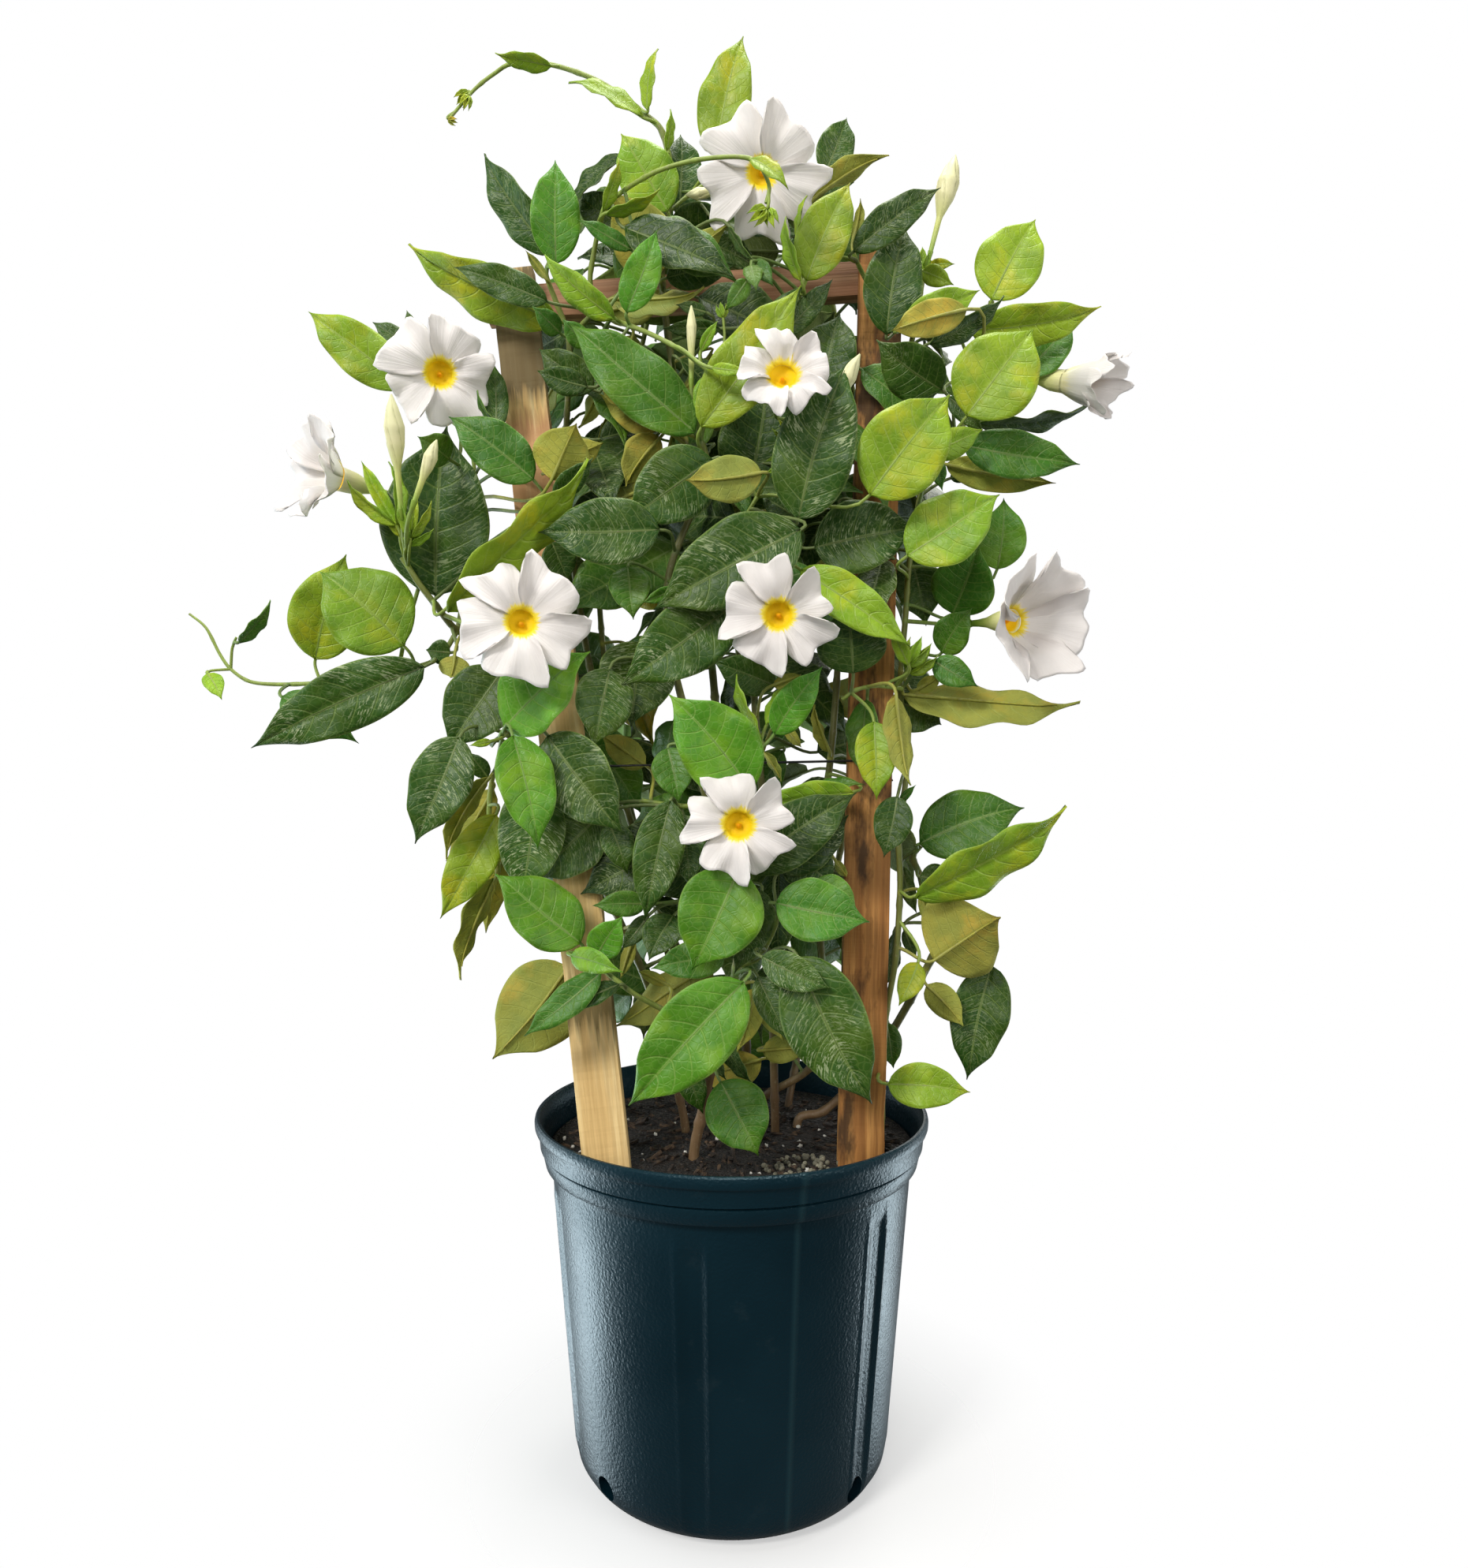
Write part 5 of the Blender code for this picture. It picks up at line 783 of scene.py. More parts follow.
# Leaves: (foot across, up, tip across, up, width, front, tone)
LEAVES = [
    (-130, 996, -171, 1004, 12, 12, "lime"), (-64, 960, -117, 988, 13, 13, "lime"),
    (-61, 964, -55, 1010, 11, 10, "lime"), (-12, 931, 8, 1021, 38, 14, "lime"),
    (-4, 934, 10, 986, 26, -10, "lime"), (-46, 891, -80, 949, 42, 20, "lime"),
    (-38, 890, -36, 949, 34, -8, "dark"), (-47, 935, -43, 965, 7, 8, "lime"),
    (-127, 853, -127, 930, 36, 36, "bright"), (-131, 860, -182, 934, 24, 12, "dark"),
    (-126, 812, -237, 865, 34, 28, "lime"), (-133, 826, -202, 852, 24, 48, "dark"),
    (-134, 842, -149, 863, 7, 30, "olive"), (-84, 813, -137, 859, 18, 58, "lime"),
    (-76, 818, -54, 879, 27, 66, "bright"), (-52, 846, -86, 906, 46, 22, "olive"),
    (-72, 863, -111, 886, 13, 46, "mid"), (-80, 880, -113, 904, 26, -6, "dark"),
    (-93, 891, -80, 929, 9, 48, "lime"), (-91, 889, -51, 905, 9, 56, "lime"),
    (-47, 843, 4, 853, 26, 34, "dark"), (-43, 855, -2, 882, 18, 20, "olive"),
    (-44, 866, -2, 892, 40, -4, "dark"), (14, 929, 41, 909, 11, 88, "lime"),
    (67, 917, 84, 960, 27, 8, "dark"), (54, 897, 112, 934, 13, 34, "olive"),
    (50, 874, 88, 914, 16, 22, "dark"), (54, 841, 86, 914, 38, 50, "lime"),
    (88, 869, 94, 900, 8, 18, "olive"), (88, 862, 152, 910, 26, 50, "speckled"),
    (112, 802, 126, 884, 42, 36, "speckled"), (143, 852, 161, 853, 8, 10, "lime"),
    (188, 827, 220, 887, 48, 20, "lime"), (138, 848, 160, 838, 15, 12, "lime"),
    (124, 807, 180, 835, 27, 44, "lime"), (143, 795, 199, 828, 13, 56, "speckled"),
    (170, 820, 114, 804, 26, 66, "olive"), (172, 805, 269, 821, 28, 36, "lime"),
    (210, 772, 248, 814, 34, 10, "mid"), (170, 743, 219, 808, 62, 66, "lime"),
    (152, 762, 105, 797, 40, 42, "speckled"), (100, 686, 159, 760, 62, 82, "lime"),
    (142, 716, 182, 734, 22, 58, "lime"), (157, 757, 182, 731, 15, 40, "dark"),
    (177, 738, 265, 751, 14, 22, "dark"), (168, 722, 253, 709, 34, 44, "mid"),
    (155, 708, 234, 694, 24, 28, "olive"), (127, 642, 194, 688, 52, 66, "lime"),
    (148, 710, 152, 690, 12, 52, "mid"), (158, 698, 178, 705, 12, 18, "dark"),
    (192, 632, 197, 684, 34, 20, "mid"), (60, 648, 136, 663, 52, 46, "speckled"),
    (160, 600, 179, 650, 46, 12, "mid"), (152, 572, 173, 604, 27, 14, "mid"),
    (125, 540, 250, 530, 32, 34, "olive"), (146, 566, 178, 548, 22, 46, "mid"),
    (134, 545, 152, 555, 12, 30, "olive"), (122, 536, 152, 520, 36, 14, "dark"),
    (118, 542, 127, 475, 18, 78, "olive"), (103, 522, 105, 466, 30, 64, "lime"),
    (122, 464, 133, 476, 6, 52, "mid"), (88, 557, 84, 608, 50, 60, "speckled"),
    (50, 632, 130, 577, 34, 78, "lime"), (128, 563, 115, 590, 9, 72, "lime"),
    # The next two leaves fill a black patch of shadow; their dark tone there is painted shade.
    (130, 640, 141, 592, 34, 14, "dark"), (110, 642, 104, 602, 28, 10, "dark"),
    (32, 548, -14, 566, 28, 22, "dark"),
    (-26, 731, -119, 813, 46, 56, "mid"), (-22, 735, 50, 840, 46, 62, "lime"),
    (8, 785, 52, 840, 20, 38, "dark"), (34, 800, 74, 843, 18, 50, "dark"),
    (-17, 772, -24, 741, 14, 78, "lime"), (-14, 778, 12, 775, 9, 76, "lime"),
    (-22, 790, -10, 812, 8, 78, "lime"), (12, 690, 26, 772, 58, 34, "dark"),
    (48, 668, 84, 784, 58, 48, "speckled"), (44, 672, 21, 686, 18, 56, "speckled"),
    (66, 766, 78, 818, 42, 24, "dark"), (22, 702, -34, 696, 34, 84, "olive"),
    (-14, 712, -77, 667, 52, 60, "speckled"), (-28, 682, -64, 680, 16, 46, "mid"),
    (50, 661, -57, 604, 62, 90, "speckled"), (-52, 661, -140, 660, 48, 72, "speckled"),
    (4, 608, -81, 548, 52, 68, "speckled"), (-66, 580, -72, 519, 56, 54, "speckled"),
    (-88, 560, -99, 504, 44, 66, "speckled"), (-75, 634, -71, 597, 30, 54, "mid"),
    (-40, 617, -64, 608, 11, 62, "mid"), (-130, 652, -118, 623, 26, 44, "dark"),
    (-133, 512, -79, 441, 52, 80, "speckled"), (14, 472, -45, 542, 58, 84, "bright"),
    (-46, 503, -38, 464, 30, 58, "mid"), (-62, 490, -95, 513, 22, 34, "yellow"),
    (-164, 518, -105, 574, 58, 84, "bright"), (-158, 512, -139, 430, 42, 94, "bright"),
    (-165, 560, -206, 502, 50, 52, "speckled"), (-197, 511, -230, 434, 44, 64, "speckled"),
    (-174, 508, -189, 505, 6, 78, "lime"), (-203, 572, -221, 574, 18, 30, "dark"),
    (-200, 570, -203, 553, 22, 40, "olive"),
    (-206, 602, -98, 707, 36, 98, "lime"), (-214, 613, -207, 738, 76, 40, "speckled"),
    (-143, 697, -205, 744, 38, 56, "mid"), (-204, 712, -226, 728, 24, 34, "mid"),
    (-170, 731, -172, 783, 18, 34, "dark"), (-160, 722, -186, 760, 8, 48, "mid"),
    (-130, 697, -112, 738, 42, 62, "olive"), (-104, 764, -141, 776, 20, 54, "dark"),
    (-100, 762, -140, 792, 28, 40, "dark"), (-128, 684, -100, 712, 18, 40, "dark"),
    (-72, 750, -92, 786, 24, 52, "olive"), (-52, 735, -95, 758, 26, 44, "olive"),
    (-128, 705, -92, 724, 22, 46, "olive"), (-52, 728, -78, 692, 30, 42, "yellow"),
    (-104, 793, -122, 813, 16, 50, "mid"), (-124, 803, -143, 822, 16, 36, "mid"),
    (-18, 818, -40, 824, 10, 50, "dark"), (-8, 806, -50, 806, 14, 38, "dark"),
    (15, 855, 30, 838, 14, 40, "mid"), (14, 852, 18, 835, 14, 52, "mid"),
    (12, 842, -4, 820, 14, 54, "mid"), (-2, 880, 15, 855, 6, 30, "dark"),
    (50, 841, 37, 887, 11, 54, "lime"), (47, 872, 53, 903, 5, 50, "lime"),
    (-237, 577, -298, 632, 64, 36, "lime"), (-301, 567, -279, 643, 48, 14, "lime"),
    (-222, 562, -350, 502, 46, 58, "speckled"), (-325, 540, -271, 508, 30, 34, "mid"),
    (-356, 579, -332, 608, 10, 18, "mid"), (-379, 557, -369, 539, 14, 18, "lime"),
    (-235, 764, -308, 820, 36, 12, "lime"), (-228, 790, -260, 812, 16, 0, "dark"),
    (-228, 800, -235, 820, 8, -2, "dark"),
    (-176, 482, -190, 500, 14, 30, "dark"), (-176, 482, -209, 424, 11, 36, "olive"),
    (-172, 474, -206, 421, 22, 18, "olive"), (-170, 455, -211, 379, 34, 58, "lime"),
    (-172, 409, -200, 337, 15, 36, "olive"), (-164, 426, -178, 370, 22, 20, "olive"),
    (-142, 478, -153, 392, 48, 66, "speckled"), (-92, 458, -146, 408, 50, 58, "speckled"),
    (-89, 449, -75, 412, 24, 72, "dark"), (-109, 362, -170, 413, 48, 78, "bright"),
    (-118, 345, -172, 279, 62, 50, "yellow"), (-94, 341, -151, 295, 24, 84, "mid"),
    (-81, 332, -124, 309, 17, 78, "dark"), (-98, 352, -79, 381, 26, 80, "bright"),
    (-116, 353, -80, 341, 18, 84, "bright"), (-62, 390, -100, 389, 19, 70, "mid"),
    (-44, 465, -63, 378, 36, 76, "speckled"), (-35, 455, -30, 402, 28, 62, "speckled"),
    (-60, 382, -80, 357, 14, 66, "dark"), (-42, 382, -60, 350, 28, 60, "dark"),
    (-5, 352, -58, 344, 28, 84, "mid"), (-71, 365, -80, 336, 10, 46, "olive"),
    (-47, 332, -68, 342, 9, 48, "olive"), (5, 415, -29, 342, 62, 98, "bright"),
    (9, 334, -75, 243, 58, 108, "bright"), (22, 400, 2, 340, 30, 66, "dark"),
    (32, 391, 100, 378, 46, 92, "mid"), (58, 405, 92, 383, 30, 78, "mid"),
    (38, 432, 76, 402, 38, 54, "dark"), (75, 422, 84, 409, 7, 40, "olive"),
    (10, 416, 91, 471, 44, 76, "dark"), (88, 471, 16, 462, 22, 66, "lime"),
    (60, 474, 95, 478, 12, 50, "mid"), (48, 352, 102, 244, 60, 98, "speckled"),
    (22, 352, 72, 329, 26, 104, "speckled"), (19, 338, 41, 291, 22, 88, "speckled"),
    (18, 330, 4, 283, 20, 40, "olive"), (20, 325, 37, 292, 16, 34, "olive"),
    (22, 284, 56, 286, 20, 16, "yellow"), (-8, 262, 20, 208, 46, 78, "mid"),
    (-38, 283, -20, 238, 22, 60, "dark"), (-17, 291, -4, 262, 9, 30, "dark"),
    (-8, 295, 14, 260, 10, 16, "dark"),
    (136, 434, 212, 461, 48, 28, "mid"), (133, 395, 246, 457, 31, 54, "lime"),
    (136, 410, 162, 405, 22, 14, "dark"), (137, 398, 144, 372, 9, 26, "olive"),
    (146, 350, 194, 382, 70, 42, "yellow"), (188, 346, 171, 262, 42, 16, "dark"),
    (141, 332, 168, 302, 22, 22, "olive"), (135, 348, 121, 317, 19, 50, "lime"),
    (118, 370, 110, 328, 12, 8, "dark"), (123, 418, 134, 383, 12, 14, "dark"),
    (125, 372, 134, 350, 9, 14, "dark"), (112, 305, 117, 271, 18, 18, "dark"),
    (113, 260, 173, 254, 32, 60, "lime"), (120, 468, 110, 424, 28, 66, "dark"),
    (22, 506, 1, 555, 10, 60, "lime"), (25, 520, 40, 550, 9, 62, "lime"),
    (31, 513, 66, 562, 27, 72, "bright"), (30, 548, 51, 556, 12, 34, "olive"),
    (70, 500, 58, 534, 8, 14, "olive"), (24, 500, 37, 479, 7, 40, "olive"),
    (38, 520, 51, 503, 8, 30, "olive"),
]
BACK_LEAVES = 22
BACK_RADIUS = 0.235                           # no leaf at the back reaches further from the pot's axis
LOWEST_LEAF = 0.262
STUB_BELOW, STUB_ABOVE = 0.030, 0.004         # each stem's stub, from the top of the mix
STALKS_START_ABOVE, STALK_STEP = 0.012, 0.009
STALK_LONGEST, STALK_CLEAR = 0.16, 0.004
ROOTS_APART, ROOTS_TRIED = 0.014, 9           # places on the stems that one leaf's stalk is tried from


def ring_faces(rows, around):
    """Quads between rows of points, each row going round once."""
    faces = []
    for i in range(rows - 1):
        for k in range(around):
            a, b = i * around + k, i * around + (k + 1) % around
            faces.append((a, b, b + around, a + around))
    return faces


def end_faces(rows, around):
    """The two faces that close the first and the last row."""
    return [tuple(range(around - 1, -1, -1)), tuple((rows - 1) * around + k for k in range(around))]


def tube(points, r0, r1, sides=6):
    """Round rod along points, tapering from r0 to r1: returns vertices and faces."""
    verts = []
    n = len(points)
    side = None
    for i, p in enumerate(points):
        a = points[max(i - 1, 0)]
        b = points[min(i + 1, n - 1)]
        d = (b - a).normalized()
        if side is None:
            side = d.orthogonal().normalized()
        side = (side - d * side.dot(d)).normalized()
        up = d.cross(side)
        r = r0 + (r1 - r0) * i / max(n - 1, 1)
        for k in range(sides):
            t = 2.0 * math.pi * k / sides
            verts.append(p + (side * math.cos(t) + up * math.sin(t)) * r)
    return verts, ring_faces(n, sides) + end_faces(n, sides)


def route_points():
    """Every stem as (vine, radius at start, radius at end, world points)."""
    out = []
    for name, (x, y, r0, r1, pts) in MAINS.items():
        line = [Vector((x, y, SOIL_Z - STUB_BELOW)), Vector((x, y, SOIL_Z + STUB_ABOVE))]
        line += [spot(*p) for p in pts]
        out.append((name, r0 * 0.001, r1 * 0.001, line))
    for name, r0, r1, pts in SHOOTS:
        out.append((name, r0 * 0.001, r1 * 0.001, [spot(*p) for p in pts]))
    return out


def samples(routes):
    """Points along the stems a stalk can spring from: (point, radius, vine)."""
    out = []
    for name, r0, r1, line in routes:
        n = len(line)
        for i in range(n - 1):
            a, b = line[i], line[i + 1]
            if b.z < SOIL_Z + STALKS_START_ABOVE:
                continue
            steps = max(1, int((b - a).length / STALK_STEP))
            for q in range(steps):
                u = (q + 0.5) / steps
                p = a.lerp(b, u)
                if p.z < SOIL_Z + STALKS_START_ABOVE + 0.002:
                    continue
                out.append((p, r0 + (r1 - r0) * (i + u) / (n - 1), name))
    return out


class Room:
    """What already stands in the air, kept as small trees of triangles with their boxes."""

    def __init__(self):
        self.items = []

    def add(self, verts, faces, vine, kind):
        """Takes up the room of a shape that belongs to a vine."""
        lo = Vector([min(v[k] for v in verts) for k in range(3)])
        hi = Vector([max(v[k] for v in verts) for k in range(3)])
        self.items.append((lo, hi, BVHTree.FromPolygons(verts, faces), vine, kind))

    def hit(self, verts, faces, free=()):
        """Whether a shape crosses anything that isn't in free."""
        lo = [min(v[k] for v in verts) for k in range(3)]
        hi = [max(v[k] for v in verts) for k in range(3)]
        tree = None
        for a, b, other, vine, kind in self.items:
            if (vine, kind) in free:
                continue
            if (a[0] > hi[0] or b[0] < lo[0] or a[1] > hi[1] or b[1] < lo[1]
                    or a[2] > hi[2] or b[2] < lo[2]):
                continue
            if tree is None:
                tree = BVHTree.FromPolygons(verts, faces)
            if tree.overlap(other):
                return True
        return False


def aim(foot, tip, look, turn):
    """Frame of a blade: along, side and the way its upper or seen face looks."""
    u = (tip - foot).normalized()
    n = look - u * look.dot(u)
    n.normalize()
    s = u.cross(n)
    c, q = math.cos(turn), math.sin(turn)
    return u, s * c - n * q, n * c + s * q


def blade_point(leaf, t, v, lift=0.0):
    """A point of the blade's middle sheet: t from foot to tip, v from -1 to 1 across its half width."""
    u, s, n = leaf["axes"]
    ln = leaf["length"]
    c = leaf["foot"] + u * (ln * t) + n * (leaf["arch"] * ln * 4.0 * t * (1.0 - t))
    c = c + s * (leaf["sway"] * ln * math.sin(math.pi * t))
    wide = leaf["half"] * v
    rise = leaf["fold"] * abs(wide) * leaf["face"]
    return c + s * wide + n * (rise + lift)


SHAPE = ((0.0, 0.05), (0.12, 0.70), (0.42, 1.0), (0.78, 0.56), (1.0, 0.02))
BLADE_ROOM_HALF = 0.00175


def blade_proxy(leaf):
    """The room a blade needs, three and a half millimetres thick."""
    verts = []
    h = BLADE_ROOM_HALF
    for t, w in SHAPE:
        w = max(w * 1.03, 0.03)
        for v, lift in ((-w, h), (0, h), (w, h), (w, -h), (0, -h), (-w, -h)):
            verts.append(blade_point(leaf, t, v, lift))
    return verts, ring_faces(len(SHAPE), 6) + end_faces(len(SHAPE), 6)


def stalk_room(a, b, ra, r=0.0017):
    """The room a stalk needs from a stem of radius ra at a to b, or None if it is too short."""
    d = b - a
    if d.length < ra + 0.002:
        return None
    return tube([a + d.normalized() * (ra + 0.0012), b], r, r, 4)


def make_leaf(foot, tip, wide, look, rng, tone):
    """A leaf that is seen wide; a narrow one is taken as a broader blade turned on its edge."""
    ln = (tip - foot).length
    real = wide
    turn = 0.0
    if wide < 0.30 * ln:
        real = min(0.34 * ln, wide * 1.9)
        turn = math.acos(max(0.45, wide / real)) * (1 if rng.random() < 0.5 else -1)
    face = -1 if tone in ("olive", "yellow") else 1
    return {"foot": foot, "tip": tip, "length": ln, "half": real * 0.5, "turn": turn, "look": look,
            "arch": rng.uniform(0.02, 0.07) * (1 if face > 0 else -1) * 0.8,
            "sway": rng.uniform(-0.03, 0.03), "fold": rng.uniform(0.10, 0.24), "face": face, "tone": tone,
            "wave": rng.uniform(0.0, 6.28)}


def place(leaf, pull, room, spots, tries, only=None):
    """Moves a leaf until blade and stalk cross nothing, and picks its stem, or takes the only one given.
    With pull it stays on its line of sight and is scaled to look as large as before."""
    foot0, tip0 = leaf["foot"].copy(), leaf["tip"].copy()
    half0 = leaf["half"]
    for loose in (False, True):
        for step, twist, dip in tries:
            move = step * 0.001
            kf = 1.0 - move / max((foot0 - EYE).length, 0.2) if pull else 1.0
            kt = 1.0 - (move + dip * 0.001) / max((tip0 - EYE).length, 0.2) if pull else 1.0
            if pull:
                foot = EYE + (foot0 - EYE) * kf
                tip = EYE + (tip0 - EYE) * kt
            else:
                foot = foot0 + leaf["look"] * move
                tip = tip0 + leaf["look"] * (move + dip * 0.001)
            leaf["foot"], leaf["tip"] = foot, tip
            leaf["length"] = (tip - foot).length
            leaf["half"] = half0 * kf
            leaf["axes"] = aim(foot, tip, leaf["look"], leaf["turn"] + twist)
            verts, faces = blade_proxy(leaf)
            if room.hit(verts, faces):
                continue
            u = leaf["axes"][0]
            near = []
            for p, r, name in spots:
                d = foot - p
                ld = d.length
                if ld > STALK_LONGEST or ld < r + STALK_CLEAR or (only and name != only):
                    continue
                back = max(0.0, -d.dot(u) / ld - 0.15)
                near.append((ld * (1.0 + 1.5 * back), p, r, name))
            near.sort(key=lambda q: q[0])
            tried = []
            for far, p, r, name in near:
                if any((p - q).length < ROOTS_APART for q in tried):
                    continue
                if len(tried) == ROOTS_TRIED:
                    break
                tried.append(p)
                rod = stalk_room(p, foot, r)
                free = {(name, "stem")}
                if loose:
                    free |= {(name, "leaf"), (name, "stalk")}
                if rod and room.hit(rod[0], rod[1], free):
                    continue
                leaf["vine"], leaf["root"] = name, p
                room.add(verts, faces, name, "leaf")
                if rod:
                    room.add(rod[0], rod[1], name, "stalk")
                return True
    return False


def beam(foot, top, wide, thick, grow, axes=None):
    """A flat board from foot to top; grow adds room on every side."""
    a, w, t = axes or stake_frame(foot, top)
    hw, ht = wide * 0.5 + grow, thick * 0.5 + grow
    verts = []
    for end in (foot - a * grow, top + a * grow):
        for sw, st in ((-1, -1), (1, -1), (1, 1), (-1, 1)):
            verts.append(end + w * (hw * sw) + t * (ht * st))
    faces = [(3, 2, 1, 0), (4, 5, 6, 7), (0, 1, 5, 4), (1, 2, 6, 5), (2, 3, 7, 6), (3, 0, 4, 7)]
    return verts, faces


def bloom_frame(name):
    """Centre, way it faces, two axes across it, radius and tube length of a bloom."""
    x, z, f, right, up, roll, across, length = BLOOMS[name][:8]
    c = spot(x, z, f)
    e = (EYE - c).normalized()
    yaw = math.atan2(e.x, -e.y) + math.radians(right)
    pitch = math.asin(e.z) + math.radians(up)
    d = Vector((math.sin(yaw) * math.cos(pitch), -math.cos(yaw) * math.cos(pitch), math.sin(pitch)))
    s = Vector((0, 0, 1)).cross(d).normalized()
    q = d.cross(s)
    ro = math.radians(roll)
    s, q = s * math.cos(ro) + q * math.sin(ro), q * math.cos(ro) - s * math.sin(ro)
    k = 1.0 - f / EYE_MM
    return c, d, s, q, across * 0.0005 * k, length * 0.001


def bloom_room(name):
    """Funnel and lobes as a plain trumpet a little larger than the bloom."""
    c, d, s, q, r, ln = bloom_frame(name)
    verts = []
    rows = ((-ln - 0.010, 0.0042), (-0.62 * ln, 0.0048), (-0.28 * ln, 0.0100), (-0.006, 0.0160),
            (-0.0065, r * 1.02), (0.0065, r * 1.02), (0.006, 0.001))
    m = 12
    for h, rr in rows:
        for k in range(m):
            t = 2 * math.pi * k / m
            verts.append(c + d * h + (s * math.cos(t) + q * math.sin(t)) * rr)
    return verts, ring_faces(len(rows), m) + end_faces(len(rows), m)[:1]


POT_ROOM = ((0.1335, 0.150), (0.1430, 0.2465), (0.1300, 0.2465), (0.1225, 0.2270), (0.0005, 0.2262))
BLADE_STEPS = (0, 6, -6, 12, -12, 18, -18, 24, -24, 30, -30, 38, -38, 46, 54)
BLADE_TURNS = ((0, 0), (0.25, 0), (-0.25, 0), (0, 12), (0, -12), (0.45, 8), (-0.45, 8))
BACK_STEPS = (0, 10, 20)
BACK_TURNS = ((0, 0), (0.5, 6), (-0.5, 6))
FLOWER_KNOB, BUD_KNOB, SPRIG_KNOB = 0.0105, 0.0065, 0.002


def pot_room():
    """The room the pot's rim and the top of the mix take."""
    verts = []
    m = 24
    for r, z in POT_ROOM:
        for k in range(m):
            t = 2 * math.pi * k / m
            verts.append(Vector((r * math.cos(t), r * math.sin(t), z)))
    return verts, ring_faces(len(POT_ROOM), m)


def fill_room(routes):
    """Room taken by boards, wire, pot, stems, blooms, buds and small shoots."""
    room = Room()
    margin = 0.0015
    for foot, top in STAKES.values():
        room.add(*beam(foot, top, WOOD_W, WOOD_T, margin), "wood", "wood")
    room.add(*beam(RAIL_A, RAIL_B, RAIL_H, WOOD_T, margin, RAIL_FRAME), "wood", "wood")
    room.add(*tube(WIRE_PATH + WIRE_PATH[:1], 0.0024, 0.0024, 4), "wire", "wire")
    room.add(*pot_room(), "pot", "pot")
    for name, r0, r1, line in routes:
        n = len(line)
        for i in range(n - 1):
            wide = r0 + (r1 - r0) * i / (n - 1) + 0.0012
            room.add(*tube(line[i:i + 2], wide, wide, 6), name, "stem")
    for name in BLOOMS:
        room.add(*bloom_room(name), name, "bloom")
    for name, (x, z, f, tx, tz, tf, r, vine) in BUDS.items():
        a, b = spot(x, z, f), spot(tx, tz, tf)
        room.add(*tube([a, a.lerp(b, 0.5), b], (r + 1.2) * 0.001, 0.0022, 6), name, "bud")
    for x, z, f, tx, tz, tf, r, vine, tone in SPRIGS:
        room.add(*tube([spot(x, z, f), spot(tx, tz, tf)], (r + 0.8) * 0.001, 0.0014, 5), vine, "sprig")
    return room


def plan_stalks(room, spots):
    """Stalks of blooms, buds and small shoots: (name, vine, root, knob, seat, way out)."""
    jobs = []
    for name in BLOOMS:
        c, d, s, q, r, ln = bloom_frame(name)
        jobs.append((name, c - d * ln, -d, BLOOMS[name][8], FLOWER_KNOB))
    for name, (x, z, f, tx, tz, tf, r, vine) in BUDS.items():
        a, b = spot(x, z, f), spot(tx, tz, tf)
        jobs.append((name, a, (a - b).normalized(), vine, BUD_KNOB))
    for x, z, f, tx, tz, tf, r, vine, tone in SPRIGS:
        a, b = spot(x, z, f), spot(tx, tz, tf)
        jobs.append(("sprig", a, (a - b).normalized(), vine, SPRIG_KNOB))
    stalks = []
    for name, seat, out, vine, knob in jobs:
        a = seat + out * knob
        near = sorted(((p - a).length * (1.0 + 0.9 * max(0.0, -(p - a).normalized().dot(out))), i)
                      for i, (p, r, stem) in enumerate(spots) if stem == vine)
        free = {(vine, "stem"), (vine, "sprig"), (name, "bloom"), (name, "bud"), (vine, "stalk")}
        for far, i in near[:60:2] + near[:1]:
            p, r, stem = spots[i]
            rod_room = stalk_room(p, a, r, 0.0019)
            if rod_room is None or not room.hit(*rod_room, free):
                break
        if rod_room:
            room.add(*rod_room, vine, "stalk")
        stalks.append((name, vine, p, a, seat, out))
    return stalks


def plan_plant():
    """Runs the rule: returns stem routes, stalks of blooms, buds and shoots, placed leaves,
    the room they take and the places on the stems."""
    rng = random.Random(20261)
    routes = route_points()
    spots = samples(routes)
    room = fill_room(routes)
    stalks = plan_stalks(room, spots)
    tries = [(step, twist, dip) for step in BLADE_STEPS for twist, dip in BLADE_TURNS]
    leaves = []
    for x, z, tx, tz, w, f, tone in LEAVES:
        look_tip = 10 if tone != "dark" else 4
        foot, tip = spot(x, z, f), spot(tx, tz, f + look_tip)
        look = (EYE - foot.lerp(tip, 0.5)).normalized()
        look = (look + Vector((rng.uniform(-0.22, 0.22), 0, rng.uniform(-0.1, 0.3)))).normalized()
        leaf = make_leaf(foot, tip, w * 0.001 * (1 - f / EYE_MM), look, rng, tone)
        if place(leaf, True, room, spots, tries):
            leaves.append(leaf)
    back_spots = [q for q in spots if q[2].startswith("vine_back")]
    tries = [(step, twist, dip) for step in BACK_STEPS for twist, dip in BACK_TURNS]
    made = 0
    for guard in range(900):
        if made == BACK_LEAVES:
            break
        p, r, name = rng.choice(back_spots)
        ang = rng.uniform(0.02 * math.pi, 0.98 * math.pi)
        out = Vector((math.cos(ang), math.sin(ang) * 0.9, rng.uniform(-0.25, 0.45))).normalized()
        foot = p + out * rng.uniform(0.022, 0.060)
        droop = Vector((rng.uniform(-0.5, 0.5), rng.uniform(-0.1, 0.25), rng.uniform(-0.9, 0.35)))
        ln = rng.uniform(0.068, 0.108)
        tip = foot + (out * 0.8 + droop).normalized() * ln
        if math.hypot(tip.x, tip.y) > BACK_RADIUS or tip.z < LOWEST_LEAF:
            continue
        look = (out + Vector((0, 0.3, 0.55))).normalized()
        if abs(look.dot((tip - foot).normalized())) > 0.9:
            continue
        tone = rng.choice(("dark", "dark", "speckled", "mid", "bright", "olive"))
        leaf = make_leaf(foot, tip, ln * rng.uniform(0.38, 0.5), look, rng, tone)
        if place(leaf, False, room, spots, tries, name):
            leaves.append(leaf)
            made += 1
    return routes, stalks, leaves, room, spots


